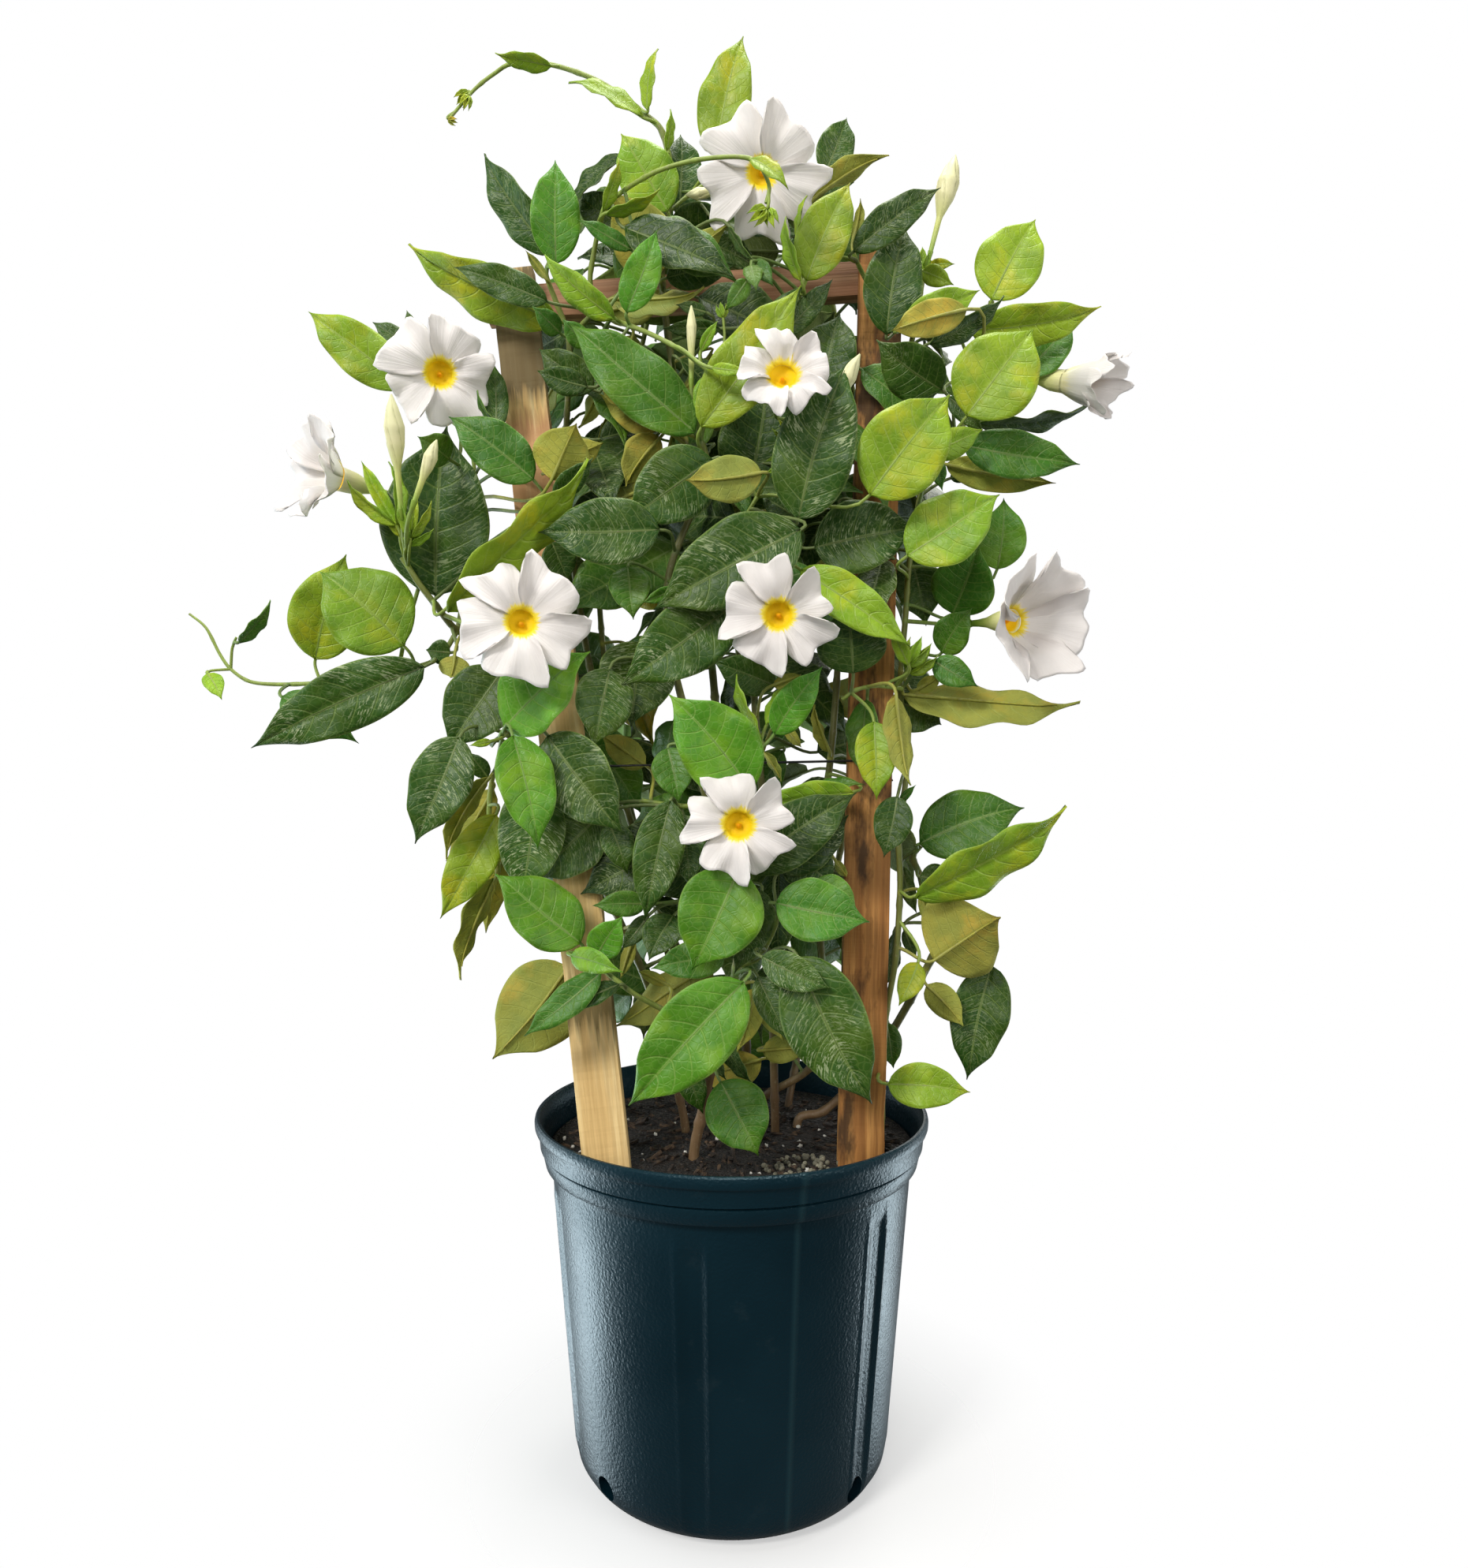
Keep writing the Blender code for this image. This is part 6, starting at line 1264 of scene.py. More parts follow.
# Stems. Each vine is a twining stem, woody brown at the soil and green higher up, with thickened knots;
# leaf stalks, flower stalks and small shoots spring from it. All of one vine is one smooth body, rooted in
# the mix.
WOODY, OLIVE_STEM, LIME_STEM = (0.200, 0.125, 0.062), (0.165, 0.170, 0.045), (0.270, 0.370, 0.060)
routes, stalks, leaves, room, spots = plan_plant()
VINES = list(MAINS)


def blend(a, b, t):
    """Colour between a and b."""
    t = min(1.0, max(0.0, t))
    return tuple(x + (y - x) * t for x, y in zip(a, b))


def stem_colour(p, r):
    """Brown low down and where thick, green higher up and where thin."""
    low = blend(WOODY, OLIVE_STEM, (p.z - 0.235) / 0.09 + (0.0030 - r) / 0.0012)
    return blend(low, LIME_STEM, (0.0024 - r) / 0.0009)


def knotted(points, r0, r1):
    """Stem line with its radius: tapering, a little uneven, thicker at a knot every few centimetres."""
    last = len(points) - 1
    run = 0.0
    before = points[0]
    out = []
    for p, at in eased(points, 0.003):
        run += (p - before).length
        before = p
        r = r0 + (r1 - r0) * at / last
        knot = math.exp(-((run % 0.037 - 0.018) / 0.0022) ** 2)
        r *= 1 + 0.05 * noise.noise(p * 90) + 0.20 * knot
        out.append((p, r, stem_colour(p, r0 + (r1 - r0) * at / last)))
    return out


def hook(a, b, out, into, r0, r1, colour, count=9):
    """Stalk from a, leaving along out, to b, arriving along into."""
    ln = (b - a).length
    line = []
    for i in range(count):
        t = i / (count - 1)
        line.append((bent_way(a, out * ln, b, into * ln, t), r0 + (r1 - r0) * t, colour))
    return line


stem_lines = {vine: [] for vine in VINES}
for vine, r0, r1, points in routes:
    stem_lines[vine].append(knotted(points, r0, r1))
stem_points = {vine: [p for line in lines for p, r, c in line] for vine, lines in stem_lines.items()}


def spring(vine, near):
    """Point of the vine's smooth stem nearest to a place."""
    return min(stem_points[vine], key=lambda q: (q - near).length_squared)


STALK_GREEN, CALYX_GREEN = (0.255, 0.370, 0.070), (0.280, 0.430, 0.050)
NECK = 0.0013
for name, vine, root, knob, seat, outward in stalks:
    p = spring(vine, root)
    away = (knob - p).normalized()
    if name == "sprig":
        stem_lines[vine].append(hook(p, seat, away, -outward, 0.0012, 0.0009, LIME_STEM))
        continue
    stalk = hook(p, knob, away, -outward, 0.0016, NECK, STALK_GREEN)
    swell = 0.0030 if name in BLOOMS else 0.0021
    for i in range(1, 6):
        stalk.append((knob.lerp(seat, i / 5), NECK + (swell - NECK) * (i / 5) ** 0.7, CALYX_GREEN))
    stem_lines[vine].append(stalk)


# Foliage. Each leaf is a thin closed blade: rounded base, drawn-out drip tip, quilted between its side veins,
# wavy at the edge, with a midrib that runs on from its stalk; it is held on the stem by that stalk.
# The lime tone is set brighter than the young leaves' own colour: painted light, for the light that shines
# through them.
LEAF_TONES = {"lime": (0.265, 0.420, 0.020), "dark": (0.027, 0.084, 0.005), "mid": (0.060, 0.190, 0.012),
              "bright": (0.088, 0.270, 0.013), "olive": (0.380, 0.360, 0.020),
              "yellow": (0.430, 0.390, 0.024), "speckled": (0.031, 0.090, 0.007)}
SPECK_SHARE = {"speckled": 1.0, "dark": 0.45, "mid": 0.25}
SIDE_VEINS = 8.0
# Painted shade: the colour of each inner leaf is multiplied by this.
INNER_PAINTED_SHADE = 0.78


def blade_master(across, down):
    """Flat closed blade: x runs from -1 to 1 across, y from 0 to 1 along, z is 0 on top and -1 below."""
    select_only()
    bpy.ops.mesh.primitive_grid_add(x_subdivisions=across, y_subdivisions=down, size=1)
    ob = bpy.context.object
    bpy.ops.object.mode_set(mode="EDIT")
    bpy.ops.mesh.select_all(action="SELECT")
    bpy.ops.transform.resize(value=(2, 1, 1))
    bpy.ops.transform.translate(value=(0, 0.5, 0))
    bpy.ops.object.mode_set(mode="OBJECT")
    skin = ob.modifiers.new("skin", "SOLIDIFY")
    skin.thickness = 1.0
    skin.offset = -1.0
    bpy.ops.object.modifier_apply(modifier="skin")
    bpy.ops.object.shade_smooth()
    return ob


def read_points(mesh):
    """The mesh's vertices as an array."""
    co = np.empty(len(mesh.vertices) * 3, dtype=np.float32)
    mesh.vertices.foreach_get("co", co)
    return co.reshape(-1, 3)


def keep(mesh, name, kind, values):
    """Stores one value for each vertex as a named attribute."""
    field = {"FLOAT": "value", "FLOAT_COLOR": "color", "FLOAT_VECTOR": "vector"}[kind]
    stored = mesh.attributes.new(name, kind, "POINT")
    stored.data.foreach_set(field, np.ascontiguousarray(values, np.float32).ravel())


def blade_width(t):
    """Half width along the blade as a part of the widest: round base, long sides, drawn-out tip."""
    body = np.clip(np.sin(np.pi * np.clip(t, 0, 1) ** 0.74), 0, 1) ** 0.80
    drip = (1 - np.clip((t - 0.74) / 0.26, 0, 1) ** 1.1) ** 0.75
    return np.maximum(body * (0.06 + 0.94 * drip), 0.012)


def spread(points, leaf):
    """Places the master's points as this leaf's blade."""
    v, t, layer = points[:, 0:1], np.clip(points[:, 1:2], 0, 1), points[:, 2:3]
    u, s, n = (np.array(axis)[None, :] for axis in leaf["axes"])
    ln, half, face = leaf["length"], leaf["half"], leaf["face"]
    a = np.abs(v)
    wide = half * v * blade_width(t)
    veins = SIDE_VEINS * t - 1.3 * a ** 1.4
    quilt = 0.0115 * ln * np.abs(np.sin(np.pi * veins)) ** 0.8 * (1 - a ** 4) * np.clip(a * 6, 0, 1)
    edge = 0.028 * ln * np.sin(17.0 * t + leaf["wave"] + 1.3 * np.sign(v)) * a ** 2.5
    edge = edge * np.clip(4 * t * (1 - t), 0, 1)
    curl = -0.9 * ln * np.clip(t - 0.72, 0, 1) ** 2
    groove = -0.010 * ln * np.exp(-(a / 0.07) ** 2)
    skin = (0.00036 - 0.00016 * a ** 3) * np.where(layer > -0.5, 1.0, -1.0)
    lift = leaf["fold"] * np.abs(wide) * face + face * (quilt + edge + curl + groove) + skin
    middle = np.array(leaf["foot"])[None, :] + u * ln * t + n * (leaf["arch"] * ln * 4 * t * (1 - t))
    return middle + s * (leaf["sway"] * ln * np.sin(np.pi * t) + wide) + n * lift


def rib(leaf):
    """Middle line of the blade's underside, for the rib that runs along it."""
    line = []
    for i in range(10):
        t = i / 9 * 0.88
        p = spread(np.array([[0.0, t, 0.0]]), leaf)[0]
        r = 0.0011 * (1 - t) ** 0.8 + 0.00025
        line.append((Vector(p) - leaf["axes"][2] * (leaf["face"] * (r * 0.55)), r))
    return line


# Inner leaves. Ones deep in the plant and on its far side, which close the gaps between the stems; they are
# darker as painted shade: they draw the dark tone more often, and their colour is cut by a shade factor.
# REACH_LEFT and REACH_RIGHT give how far across they may stand, as seen, at some heights.
stir = random.Random(411)
INNER_LEAVES = 250
REACH_LEFT = ((0.26, -0.075), (0.35, -0.120), (0.45, -0.165), (0.60, -0.185), (0.75, -0.170), (0.86, -0.140),
              (0.90, -0.100), (0.94, -0.050))
REACH_RIGHT = ((0.26, 0.105), (0.35, 0.135), (0.45, 0.140), (0.60, 0.140), (0.75, 0.155), (0.86, 0.135),
               (0.90, 0.100), (0.94, 0.060))
HIGHEST_LEAF, HIGH_UP = 0.94, 0.64
PLANT_RADIUS, PLANT_FRONT, PLANT_BACK = 0.200, -0.07, 0.160
BLOOM_CLEAR, TUBE_CLEAR = 0.014, 0.028


def seen_at(p):
    """Where a point appears in the plane through the pot's axis."""
    k = 0.001 * EYE_MM / (0.001 * EYE_MM + p.y)
    return p.x * k, EYE.z + (p.z - EYE.z) * k


def inside_outline(p):
    """Whether a point lies well within the plant, as seen and in depth."""
    x, z = seen_at(p)
    low, high = (np.interp(z, *zip(*side)) for side in (REACH_LEFT, REACH_RIGHT))
    near_enough = math.hypot(p.x, p.y) < PLANT_RADIUS and PLANT_FRONT < p.y < PLANT_BACK
    return LOWEST_LEAF < z < HIGHEST_LEAF and low < x < high and near_enough


def before_bloom(foot, tip):
    """Whether a leaf from foot to tip would be seen in front of a bloom or its tube."""
    for c, d, s, q, r, ln in flower_places:
        for t in (0, 0.35, 0.7, 1):
            p = foot.lerp(tip, t)
            if p.y < c.y + 0.02 and math.dist(seen_at(p), seen_at(c)) < r + BLOOM_CLEAR:
                return True
            for back in (0.35 * ln, 0.65 * ln, 0.95 * ln):
                seat = c - d * back
                if p.y < seat.y + 0.02 and math.dist(seen_at(p), seen_at(seat)) < TUBE_CLEAR:
                    return True
    return False


flower_places = [bloom_frame(name) for name in BLOOMS]
deep_spots = [q for q in spots if inside_outline(q[0])]
high_spots = [q for q in deep_spots if q[0].z > HIGH_UP]
turns = [(step, twist, 0) for step in (0, 8, -8, 16) for twist in (0, 0.5, -0.5)]
made = 0
for guard in range(9000):
    if made == INNER_LEAVES:
        break
    p, r, name = stir.choice(high_spots if guard % 2 else deep_spots)
    ang = stir.uniform(-0.35, 1.35) * math.pi
    out = Vector((math.cos(ang), math.sin(ang), stir.uniform(-0.3, 0.5))).normalized()
    foot = p + out * stir.uniform(0.018, 0.055)
    droop = Vector((stir.uniform(-0.6, 0.6), stir.uniform(-0.2, 0.3), stir.uniform(-1.0, 0.3)))
    ln = stir.uniform(0.055, 0.105)
    tip = foot + (out * 0.7 + droop).normalized() * ln
    look = (Vector((out.x * 0.7, -0.9 if p.y < 0.03 or guard % 3 else 0.9, 0.45))).normalized()
    edge_on = abs(look.dot((tip - foot).normalized())) > 0.85
    if edge_on or not inside_outline(tip) or not inside_outline(foot):
        continue
    # The inner leaves draw the dark tone more often, as painted shade.
    leaf = make_leaf(foot, tip, ln * stir.uniform(0.42, 0.54), look, stir,
                     stir.choice(("dark", "dark", "dark", "speckled", "mid", "mid", "olive")))
    leaf["inner"] = True
    if not before_bloom(foot, tip) and place(leaf, False, room, spots, turns, name):
        leaves.append(leaf)
        made += 1


fine_blade, plain_blade, coarse_blade = blade_master(12, 28), blade_master(8, 18), blade_master(6, 12)
blades = {vine: [] for vine in VINES}


def add_blade(leaf, vine):
    """Makes a leaf's blade, with its tint, underside and flecks kept on the mesh."""
    if "inner" in leaf:
        base = plain_blade
    else:
        base = fine_blade if leaf["half"] > 0.011 else coarse_blade
    points = read_points(base.data)
    ob = base.copy()
    ob.data = base.data.copy()
    bpy.context.scene.collection.objects.link(ob)
    ob.data.vertices.foreach_set("co", spread(points, leaf).astype(np.float32).ravel())
    tone = LEAF_TONES[leaf["tone"]]
    # Inner leaves are painted darker here, as shade deep in the plant.
    light = stir.uniform(0.82, 1.18) * (INNER_PAINTED_SHADE if "inner" in leaf else 1.0)
    warm = stir.uniform(0.88, 1.14)
    tint = (tone[0] * light * warm, tone[1] * light, tone[2] * light * 0.5 * (1 + 1 / warm), 1.0)
    under = (points[:, 2] < -0.5) if leaf["face"] > 0 else (points[:, 2] > -0.5)
    specks = SPECK_SHARE.get(leaf["tone"], 0.0) * stir.uniform(0.6, 1.0)
    keep(ob.data, "tint", "FLOAT_COLOR", np.tile(tint, (len(points), 1)))
    keep(ob.data, "under", "FLOAT", under)
    keep(ob.data, "specks", "FLOAT", np.full(len(points), specks))
    ob.data.update()
    blades[vine].append(ob)


def cost(p, foot):
    """How unlikely a stalk from p to a leaf's foot is: long ones are, and ones that come from the front."""
    d = foot - p
    return d.length + 1.6 * max(0.0, d.y)


COST_ALLOWED, MUCH_LESS, LEVEL_WITHIN = 0.050, 0.7, 0.12
for leaf in leaves:
    vine = leaf["vine"]
    p = spring(vine, leaf["root"])
    if cost(p, leaf["foot"]) > COST_ALLOWED:
        better = min(((cost(q, leaf["foot"]), name, i) for name in VINES
                      for i, q in enumerate(stem_points[name]) if abs(q.z - leaf["foot"].z) < LEVEL_WITHIN),
                     default=None)
        if better and better[0] < MUCH_LESS * cost(p, leaf["foot"]):
            vine = better[1]
            p = stem_points[vine][better[2]]
    add_blade(leaf, vine)
    tone = LEAF_TONES[leaf["tone"]]
    pale = blend(tone, (0.30, 0.36, 0.12), 0.45)
    away = (leaf["foot"] - p).normalized()
    ribs = rib(leaf)
    leaving = (away + Vector((0, 0, 0.25))).normalized()
    stalk = hook(p, ribs[0][0], leaving, leaf["axes"][0], 0.0013, 0.0011, pale)
    midrib = [(q, rr, blend(pale, tone, i / 12)) for i, (q, rr) in enumerate(ribs[1:])]
    stem_lines[vine].append(stalk + midrib)

for x, z, f, tx, tz, tf, r, vine, tone in SPRIGS:
    a, b = spot(x, z, f), spot(tx, tz, tf)
    look = (EYE - a).normalized()
    run = b - a
    for turned, aside in ((-0.5, -0.34), (0.1, 0.0), (0.55, 0.36)):
        tip = b + run.cross(look) * aside - run * (0.5 * abs(aside))
        small = make_leaf(a, tip, r * 0.0014, look, stir, tone)
        small["face"] = 1
        small["fold"] = 0.9
        small["axes"] = aim(a, tip, look, turned)
        add_blade(small, vine)

# One skin for all leaves. Veins, margin and the pale dried droplets between the veins are laid out on the
# blade's own UV map: u across, v along.
leaf_skin = material("vine_leaf_skin", (0.08, 0.2, 0.04), 0.34, specular=0.32)
tint = node(leaf_skin, "Attribute", attribute_name="tint").outputs["Color"]
under = node(leaf_skin, "Attribute", attribute_name="under").outputs["Fac"]
specks = node(leaf_skin, "Attribute", attribute_name="specks").outputs["Fac"]
coords = node(leaf_skin, "TexCoord")
at = coords.outputs["Object"]
split = node(leaf_skin, "SeparateXYZ", {"Vector": coords.outputs["UV"]})
across = sum_of(leaf_skin, "ABSOLUTE", sum_of(leaf_skin, "MULTIPLY_ADD", split.outputs["X"], 2.0, -1.0))
bent = sum_of(leaf_skin, "MULTIPLY", sum_of(leaf_skin, "POWER", across, 1.4), -1.3)
veins = sum_of(leaf_skin, "MULTIPLY_ADD", split.outputs["Y"], SIDE_VEINS, sum_of(leaf_skin, "ADD", bent, 2.0))
veins = sum_of(leaf_skin, "MULTIPLY_ADD", grain(leaf_skin, at, 60, 2.0), 0.12, veins)
off = sum_of(leaf_skin, "ABSOLUTE", sum_of(leaf_skin, "SUBTRACT", sum_of(leaf_skin, "FRACT", veins), 0.5))
side = ramp(leaf_skin, off, (0.43, 0.0), (0.49, 1.0))
side = sum_of(leaf_skin, "MULTIPLY", side, ramp(leaf_skin, across, (0.55, 1.0), (0.97, 0.15)))
middle_line = ramp(leaf_skin, across, (0.020, 1.0), (0.060, 0.0))
net = node(leaf_skin, "TexVoronoi", {"Vector": at, "Scale": 230.0}, feature="DISTANCE_TO_EDGE")
fine_net = ramp(leaf_skin, net.outputs["Distance"], (0.02, 1.0), (0.12, 0.0))
patchy = grain(leaf_skin, at, 55, 4.0, rough=0.6)
deep = mixed(leaf_skin, 1.0, tint, (0.55, 0.68, 0.5), "MULTIPLY")
colour = mixed(leaf_skin, ramp(leaf_skin, patchy, (0.36, 0.0), (0.62, 0.75)), tint, deep)
mottle = ramp(leaf_skin, grain(leaf_skin, at, 30, 3.0, rough=0.6), (0.50, 0.0), (0.66, 0.55))
colour = mixed(leaf_skin, mottle, colour, mixed(leaf_skin, 1.0, tint, (2.1, 1.30, 0.9), "MULTIPLY"))
pale = mixed(leaf_skin, 0.34, tint, (0.44, 0.55, 0.16))
colour = mixed(leaf_skin, sum_of(leaf_skin, "MULTIPLY", fine_net, 0.20), colour, pale)
colour = mixed(leaf_skin, sum_of(leaf_skin, "MULTIPLY", side, 0.62), colour, pale)
colour = mixed(leaf_skin, sum_of(leaf_skin, "MULTIPLY", middle_line, 0.90), colour, pale)
colour = mixed(leaf_skin, ramp(leaf_skin, across, (0.945, 0.0), (0.985, 0.65)), colour, pale)
streaks = node(leaf_skin, "CombineXYZ", {"X": sum_of(leaf_skin, "MULTIPLY", across, 2.0),
                                         "Y": sum_of(leaf_skin, "MULTIPLY", veins, 3.4)}).outputs[0]
streaks = node(leaf_skin, "VectorMath", {0: streaks, 1: at}, operation="ADD").outputs[0]
dots = ramp(leaf_skin, grain(leaf_skin, streaks, 2.6, 2.0, rough=0.6), (0.53, 0.0), (0.60, 1.0))
clusters = ramp(leaf_skin, grain(leaf_skin, at, 38, 2.0), (0.42, 0.0), (0.60, 1.0))
dots = sum_of(leaf_skin, "MULTIPLY", dots, clusters)
dots = sum_of(leaf_skin, "MULTIPLY", dots, ramp(leaf_skin, off, (0.34, 1.0), (0.43, 0.0)))
dots = sum_of(leaf_skin, "MULTIPLY", dots, sum_of(leaf_skin, "MULTIPLY", specks, 0.80))
colour = mixed(leaf_skin, dots, colour, (0.42, 0.49, 0.27))
dull = mixed(leaf_skin, 0.50, colour, (0.27, 0.33, 0.10))
colour = mixed(leaf_skin, sum_of(leaf_skin, "MULTIPLY", under, 0.8), colour, dull)
rough = sum_of(leaf_skin, "MULTIPLY_ADD", under, 0.25, sum_of(leaf_skin, "MULTIPLY_ADD", dots, 0.3, 0.43))
soft_patches = sum_of(leaf_skin, "MULTIPLY", patchy, 0.35)
relief = sum_of(leaf_skin, "MULTIPLY_ADD", fine_net, -0.3, soft_patches)
relief = sum_of(leaf_skin, "MULTIPLY_ADD", side, -0.8, relief)
finish_with(leaf_skin, colour, rough, relief, 0.0005, 0.7)

for vine in VINES:
    if not blades[vine]:
        continue
    select_only(*blades[vine])
    bpy.ops.object.join()
    foliage = bpy.context.object
    foliage.name = "foliage_" + vine
    foliage.data.materials.append(leaf_skin)
    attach(foliage, "root")
    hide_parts(vine)
for ob in (fine_blade, plain_blade, coarse_blade):
    bpy.data.objects.remove(ob)

stem_skin = material("vine_stem_skin", (0.15, 0.17, 0.05), 0.5)
tint = node(stem_skin, "Attribute", attribute_name="tint").outputs["Color"]
at = node(stem_skin, "TexCoord").outputs["Object"]
fibre = grain(stem_skin, at, 300, 4.0, (1.0, 1.0, 0.18), 0.6)
flecks = grain(stem_skin, at, 420, 2.0)
darker = ramp(stem_skin, fibre, (0.35, 0.5), (0.65, 0.0))
colour = mixed(stem_skin, darker, tint, (0.55, 0.5, 0.4), "MULTIPLY")
colour = mixed(stem_skin, ramp(stem_skin, flecks, (0.62, 0.0), (0.70, 0.45)), colour, (0.28, 0.24, 0.15))
finish_with(stem_skin, colour, None, fibre, 0.0005, 0.6)
for vine in VINES:
    stems = rod_curve("stems_" + vine, [[(p, r) for p, r, c in line] for line in stem_lines[vine]])
    shades = [(p, c) for line in stem_lines[vine] for p, r, c in line]
    tree = KDTree(len(shades))
    for i, (p, c) in enumerate(shades):
        tree.insert(p, i)
    tree.balance()
    colours = [(*shades[tree.find(v.co)[1]][1], 1.0) for v in stems.data.vertices]
    keep(stems.data, "tint", "FLOAT_COLOR", colours)
    stems.data.materials.append(stem_skin)
    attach(stems, "root")
    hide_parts(vine)


# Blooms. A thin-walled trumpet opens into five broad white petals, each cut off slantwise and lying partly
# over the next like a pinwheel; the mouth is orange-yellow inside. It sits in its green calyx on a stalk.
TRUMPET = ((0.0022, 0.0), (0.0026, 0.18), (0.0036, 0.36), (0.0056, 0.50), (0.0078, 0.62), (0.0096, 0.74),
           (0.0108, 0.84), (0.0112, 0.870), (0.0107, 0.868), (0.0094, 0.815), (0.0074, 0.765),
           (0.0048, 0.735), (0.0022, 0.725), (0.0019, 0.745), (0.0013, 0.790), (0.0005, 0.810))
TRUMPET_AROUND = 40
INNER_ROW = 9                     # rows of the trumpet from here on line its inside
MOUTH_NARROWER = 0.27             # of the trumpet's mouth, in blooms that are seen from the side
THROAT = 0.0080                   # where the petals begin, from the bloom's middle
PETAL_THICK = 0.0003
PETAL_END = ((-1, -0.90, -0.72, -0.42, -0.08, 0.28, 0.56, 0.78, 0.92, 1),
             (0.56, 0.85, 0.99, 0.96, 0.88, 0.92, 1.05, 1.09, 0.93, 0.56))
PETAL_REACH = 0.93
# What sets single blooms apart: petals cupped forward, the bloom nearer the eye in metres, wider petals.
FORWARD = {"bloom_far_right": 1.0, "bloom_right": 0.55, "bloom_far_left": 0.45, "bloom_upper_mid": 0.15}
NEARER = {"bloom_upper_mid": 0.046}
BROADER = {"bloom_upper_mid": 0.90, "bloom_right": 1.22, "bloom_far_left": 1.25}


def trumpet_master():
    """Closed double wall turned about z: z is 0 at the calyx and 1 at the front of the petals."""
    select_only()
    bpy.ops.mesh.primitive_circle_add(vertices=TRUMPET_AROUND, radius=TRUMPET[0][0], fill_type="NGON")
    ob = bpy.context.object
    bpy.ops.object.mode_set(mode="EDIT")
    bpy.ops.mesh.select_all(action="SELECT")
    for (r0, z0), (r1, z1) in zip(TRUMPET, TRUMPET[1:]):
        bpy.ops.mesh.extrude_region_move(TRANSFORM_OT_translate={"value": (0, 0, z1 - z0)})
        bpy.ops.transform.resize(value=(r1 / r0, r1 / r0, 1), center_override=(0, 0, 0))
    bpy.ops.mesh.select_all(action="SELECT")
    bpy.ops.mesh.normals_make_consistent(inside=False)
    bpy.ops.object.mode_set(mode="OBJECT")
    bpy.ops.object.shade_smooth()
    return ob


trumpet, petal = trumpet_master(), blade_master(18, 14)
trumpet_points, petal_points = read_points(trumpet.data), read_points(petal.data)


def petal_shape(points, r, turned, wave, cup):
    """Petal in the bloom's own axes: x and y across it, z forward."""
    a, b, layer = points[:, 0], np.clip(points[:, 1], 0, 1), points[:, 2]
    reach = np.interp(a, PETAL_END[0], PETAL_END[1]) * (1 + 0.03 * np.sin(6 * a + 3 * wave))
    swell = np.abs(np.sin(np.pi * np.clip(b * 1.05, 0, 1))) ** 0.8
    spreads = np.radians(36 + 9 * swell + 9 * cup)
    spreads = spreads * (1 + 0.10 * (1 - cup) * math.cos(2.3 * wave))
    reach = reach + (1.0 - reach) * 0.65 * cup
    angle = turned + a * spreads + np.radians(6) * b ** 1.5
    rr = THROAT + (PETAL_REACH * r * reach - THROAT) * b
    droop = (0.0060 - 0.0045 * cup) * (b ** 2.4) * (0.55 + 0.45 * np.cos(wave))
    z = -0.0058 * (1 - b) ** 3.0 - droop
    rise = np.clip(b * 2, 0, 1)
    z += 0.0022 * a * np.clip(b * 3, 0, 1) + cup * ((rr - 0.5 * r) * rise - 0.5 * r * (1 - rise))
    raised, lowered = (np.clip((side * a - 0.5) / 0.5, 0, 1) ** 2 for side in (1, -1))
    z += (0.0040 * raised - 0.0026 * lowered) * b ** 1.5
    z += 0.0034 * np.sin(4.2 * a + wave) * b ** 2 + 0.0013 * np.sin(11 * a + 2 * wave + 3 * b) * b ** 3
    z += 0.0010 * np.exp(-((a - 0.1) / 0.12) ** 2) * np.sin(np.pi * b)
    rr = rr * (1 - 0.22 * cup * b)
    z += np.where(layer > -0.5, 0.5, -0.5) * PETAL_THICK
    return np.stack([rr * np.cos(angle), rr * np.sin(angle), z], axis=1)


def flower_part(base, local, frame_axes, outer):
    """Copies a master, moves it to the bloom's place and keeps its own coordinates for the skin."""
    c, d, s, q = (np.array(v) for v in frame_axes)
    ob = base.copy()
    ob.data = base.data.copy()
    bpy.context.scene.collection.objects.link(ob)
    world = c + local[:, 0:1] * s + local[:, 1:2] * q + local[:, 2:3] * d
    ob.data.vertices.foreach_set("co", world.astype(np.float32).ravel())
    keep(ob.data, "own", "FLOAT_VECTOR", local)
    keep(ob.data, "outer", "FLOAT", outer)
    ob.data.update()
    return ob


petal_skin = material("bloom_petal_skin", (0.74, 0.72, 0.71), 0.5, specular=0.25)
shader = petal_skin.node_tree.nodes["Principled BSDF"]
shader.inputs["Subsurface Weight"].default_value = 0.25
shader.inputs["Subsurface Radius"].default_value = (1.0, 0.95, 0.85)
shader.inputs["Subsurface Scale"].default_value = 0.002
own = node(petal_skin, "Attribute", attribute_name="own").outputs["Vector"]
outer = node(petal_skin, "Attribute", attribute_name="outer").outputs["Fac"]
split = node(petal_skin, "SeparateXYZ", {"Vector": own})
flat = node(petal_skin, "CombineXYZ", {"X": split.outputs["X"], "Y": split.outputs["Y"]}).outputs[0]
out_from_middle = node(petal_skin, "VectorMath", {0: flat}, operation="LENGTH").outputs["Value"]
round_about = node(petal_skin, "VectorMath", {0: flat}, operation="NORMALIZE").outputs[0]
streak = grain(petal_skin, round_about, 9, 4.0)
edge = sum_of(petal_skin, "MULTIPLY_ADD", streak, -0.0070, out_from_middle)
mouth = ramp(petal_skin, sum_of(petal_skin, "MULTIPLY", edge, 100.0), (0.66, 1.0), (0.86, 0.0))
warm = ramp(petal_skin, sum_of(petal_skin, "MULTIPLY", out_from_middle, 100.0), (0.08, (1.0, 0.40, 0.003)),
            (0.22, (1.0, 0.60, 0.003)), (0.80, (1.0, 0.70, 0.005)), (1.10, (1.0, 0.80, 0.07)))
shade = ramp(petal_skin, grain(petal_skin, own, 90, 3.0), (0.35, (0.81, 0.76, 0.735)),
             (0.65, (0.84, 0.79, 0.765)))
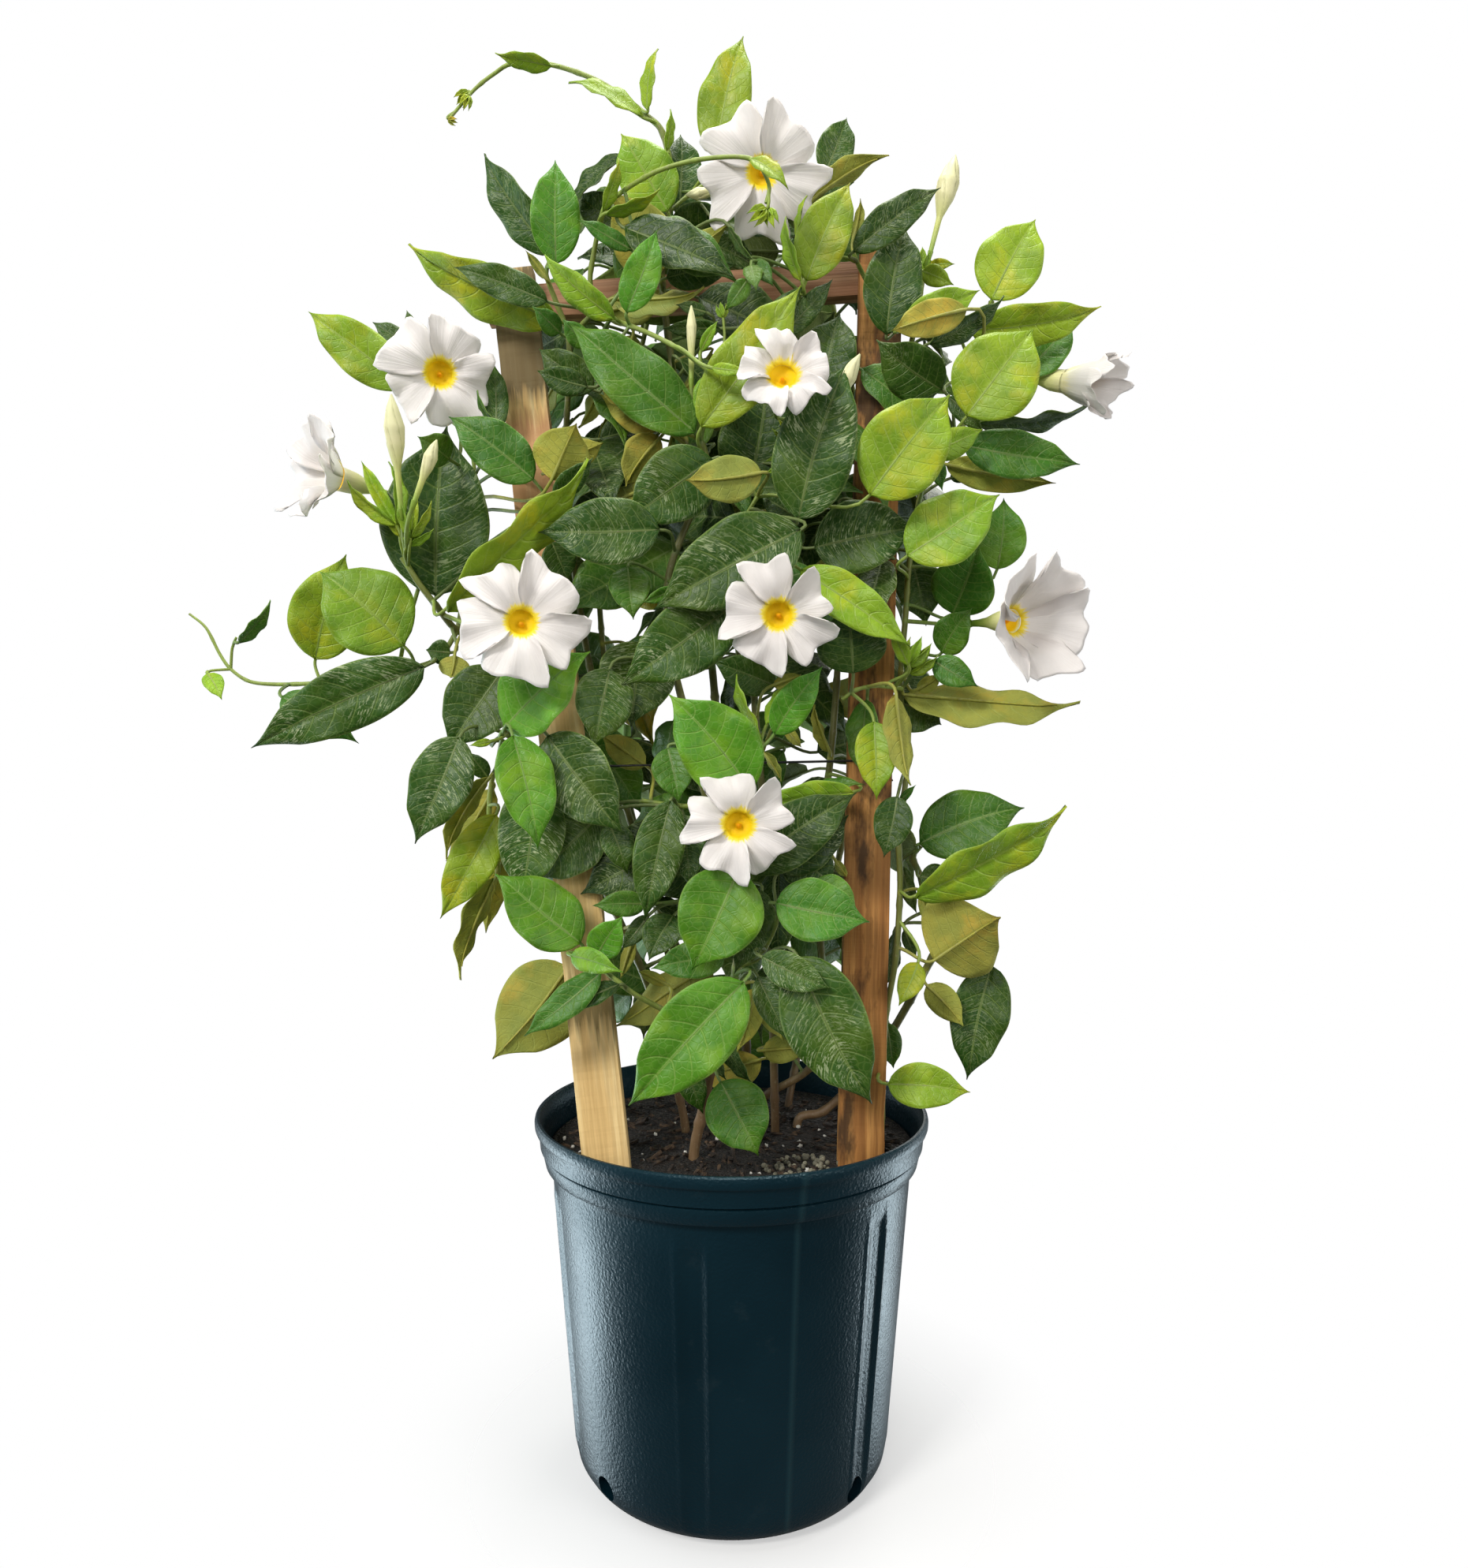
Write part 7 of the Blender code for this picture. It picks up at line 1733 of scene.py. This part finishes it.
back = ramp(petal_skin, sum_of(petal_skin, "MULTIPLY", split.outputs["Z"], -20.0), (0.10, (0.80, 0.80, 0.70)),
            (0.45, (0.82, 0.79, 0.42)), (0.80, (0.62, 0.70, 0.18)), (1.0, (0.36, 0.56, 0.07)))
inside = mixed(petal_skin, mouth, shade, warm)
lines = grain(petal_skin, round_about, 26, 3.0)
finish_with(petal_skin, mixed(petal_skin, outer, inside, back), None, lines, 0.0006, 0.6)

for name in BLOOMS:
    c, d, s, q, r, ln = bloom_frame(name)
    cup = FORWARD.get(name, 0.0)
    r *= BROADER.get(name, 1.0)
    c = c + (EYE - c).normalized() * NEARER.get(name, 0.0)
    local = trumpet_points * np.array([1, 1, ln - 0.5 * cup * r]) - np.array([0, 0, ln])
    towards_mouth = np.clip((trumpet_points[:, 2:3] - 0.55) / 0.25, 0, 1)
    local[:, :2] *= 1 - MOUTH_NARROWER * min(2 * cup, 1) * towards_mouth
    outer_row = np.arange(len(local)) // TRUMPET_AROUND < INNER_ROW
    parts = [flower_part(trumpet, local, (c, d, s, q), outer_row.astype(float))]
    for k in range(5):
        bend = stir.uniform(0, 6.28)
        turned = math.radians(36 + 72 * k + stir.uniform(-5, 5))
        local = petal_shape(petal_points, r * stir.uniform(0.94, 1.08), turned, bend, cup)
        behind = (petal_points[:, 2] < -0.5).astype(float)
        behind *= np.clip(1.0 - 1.4 * petal_points[:, 1], 0.12, 1)
        parts.append(flower_part(petal, local, (c, d, s, q), behind))
    select_only(*parts)
    bpy.ops.object.join()
    flower = bpy.context.object
    flower.name = name + "_flower"
    flower.data.materials.append(petal_skin)
    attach(flower, "root")
    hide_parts(name)
for ob in (trumpet, petal):
    bpy.data.objects.remove(ob)


# Buds. A closed bloom: five petals rolled round each other into a spindle with spiral furrows, on a short
# green calyx. One smooth closed body each.
bud_skin = material("bud_cream_skin", (0.78, 0.75, 0.52), 0.45)
roll = node(bud_skin, "Attribute", attribute_name="roll").outputs["Vector"]
split = node(bud_skin, "SeparateXYZ", {"Vector": roll})
base = ramp(bud_skin, split.outputs["Z"], (0.0, (0.32, 0.48, 0.07)), (0.28, (0.66, 0.70, 0.22)),
            (0.60, (0.84, 0.80, 0.46)), (1.0, (0.80, 0.80, 0.46)))
# The colour darkens down into the spiral furrows: painted shade in the creases.
furrow = ramp(bud_skin, split.outputs["X"], (0.02, 0.75), (0.16, 0.0))
colour = mixed(bud_skin, furrow, base, (0.50, 0.50, 0.24))
finish_with(bud_skin, colour, None, grain(bud_skin, roll, 30, 3.0), 0.0002, 0.5)
BUD_AROUND, BUD_ROWS = 40, 36
for name, (x, z, f, tx, tz, tf, r, vine) in BUDS.items():
    a, b = spot(x, z, f), spot(tx, tz, tf)
    k = 1 - f / EYE_MM
    radii = ((0.0, 1.6), (0.35, 2.1), (0.56, 0.86 * r * k), (0.72, r * k), (0.88, 0.60 * r * k), (1.0, 0.45))
    select_only()
    bpy.ops.mesh.primitive_cylinder_add(vertices=BUD_AROUND, radius=1, depth=1, location=(0, 0, 0.5))
    bud = bpy.context.object
    bud.name = name + "_spindle"
    bpy.ops.object.transform_apply()
    for i in range(1, BUD_ROWS):
        bpy.ops.object.mode_set(mode="EDIT")
        bpy.ops.mesh.select_all(action="SELECT")
        bpy.ops.mesh.bisect(plane_co=(0, 0, i / BUD_ROWS), plane_no=(0, 0, 1))
        bpy.ops.object.mode_set(mode="OBJECT")
    axis = (b - a).normalized()
    s = axis.orthogonal().normalized()
    q = axis.cross(s)
    p = read_points(bud.data)
    t = p[:, 2]
    angle = np.arctan2(p[:, 1], p[:, 0])
    fold = (5 * (angle / (2 * np.pi)) + 1.9 * t + 5) % 1.0
    size = np.interp(t, [row[0] for row in radii], [row[1] for row in radii]) * 0.001
    furrowed = np.clip((t - 0.25) / 0.3, 0, 1) * np.clip((1 - t) / 0.06, 0, 1)
    size = size * (1 - 0.16 * (1 - fold) ** 2.2 * furrowed)
    away = np.hypot(p[:, 0], p[:, 1])
    out_s, out_q = size * np.cos(angle) * away, size * np.sin(angle) * away
    points = np.array(a) + np.outer(t, np.array(b - a)) + np.outer(out_s, np.array(s))
    points = points + np.outer(out_q, np.array(q))
    bud.data.vertices.foreach_set("co", points.astype(np.float32).ravel())
    keep(bud.data, "roll", "FLOAT_VECTOR", np.stack([fold, angle, t], axis=1))
    bud.data.update()
    select_only(bud)
    bpy.ops.object.shade_smooth_by_angle(angle=math.radians(50))
    bud.data.materials.append(bud_skin)
    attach(bud, "root")
    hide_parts(name)
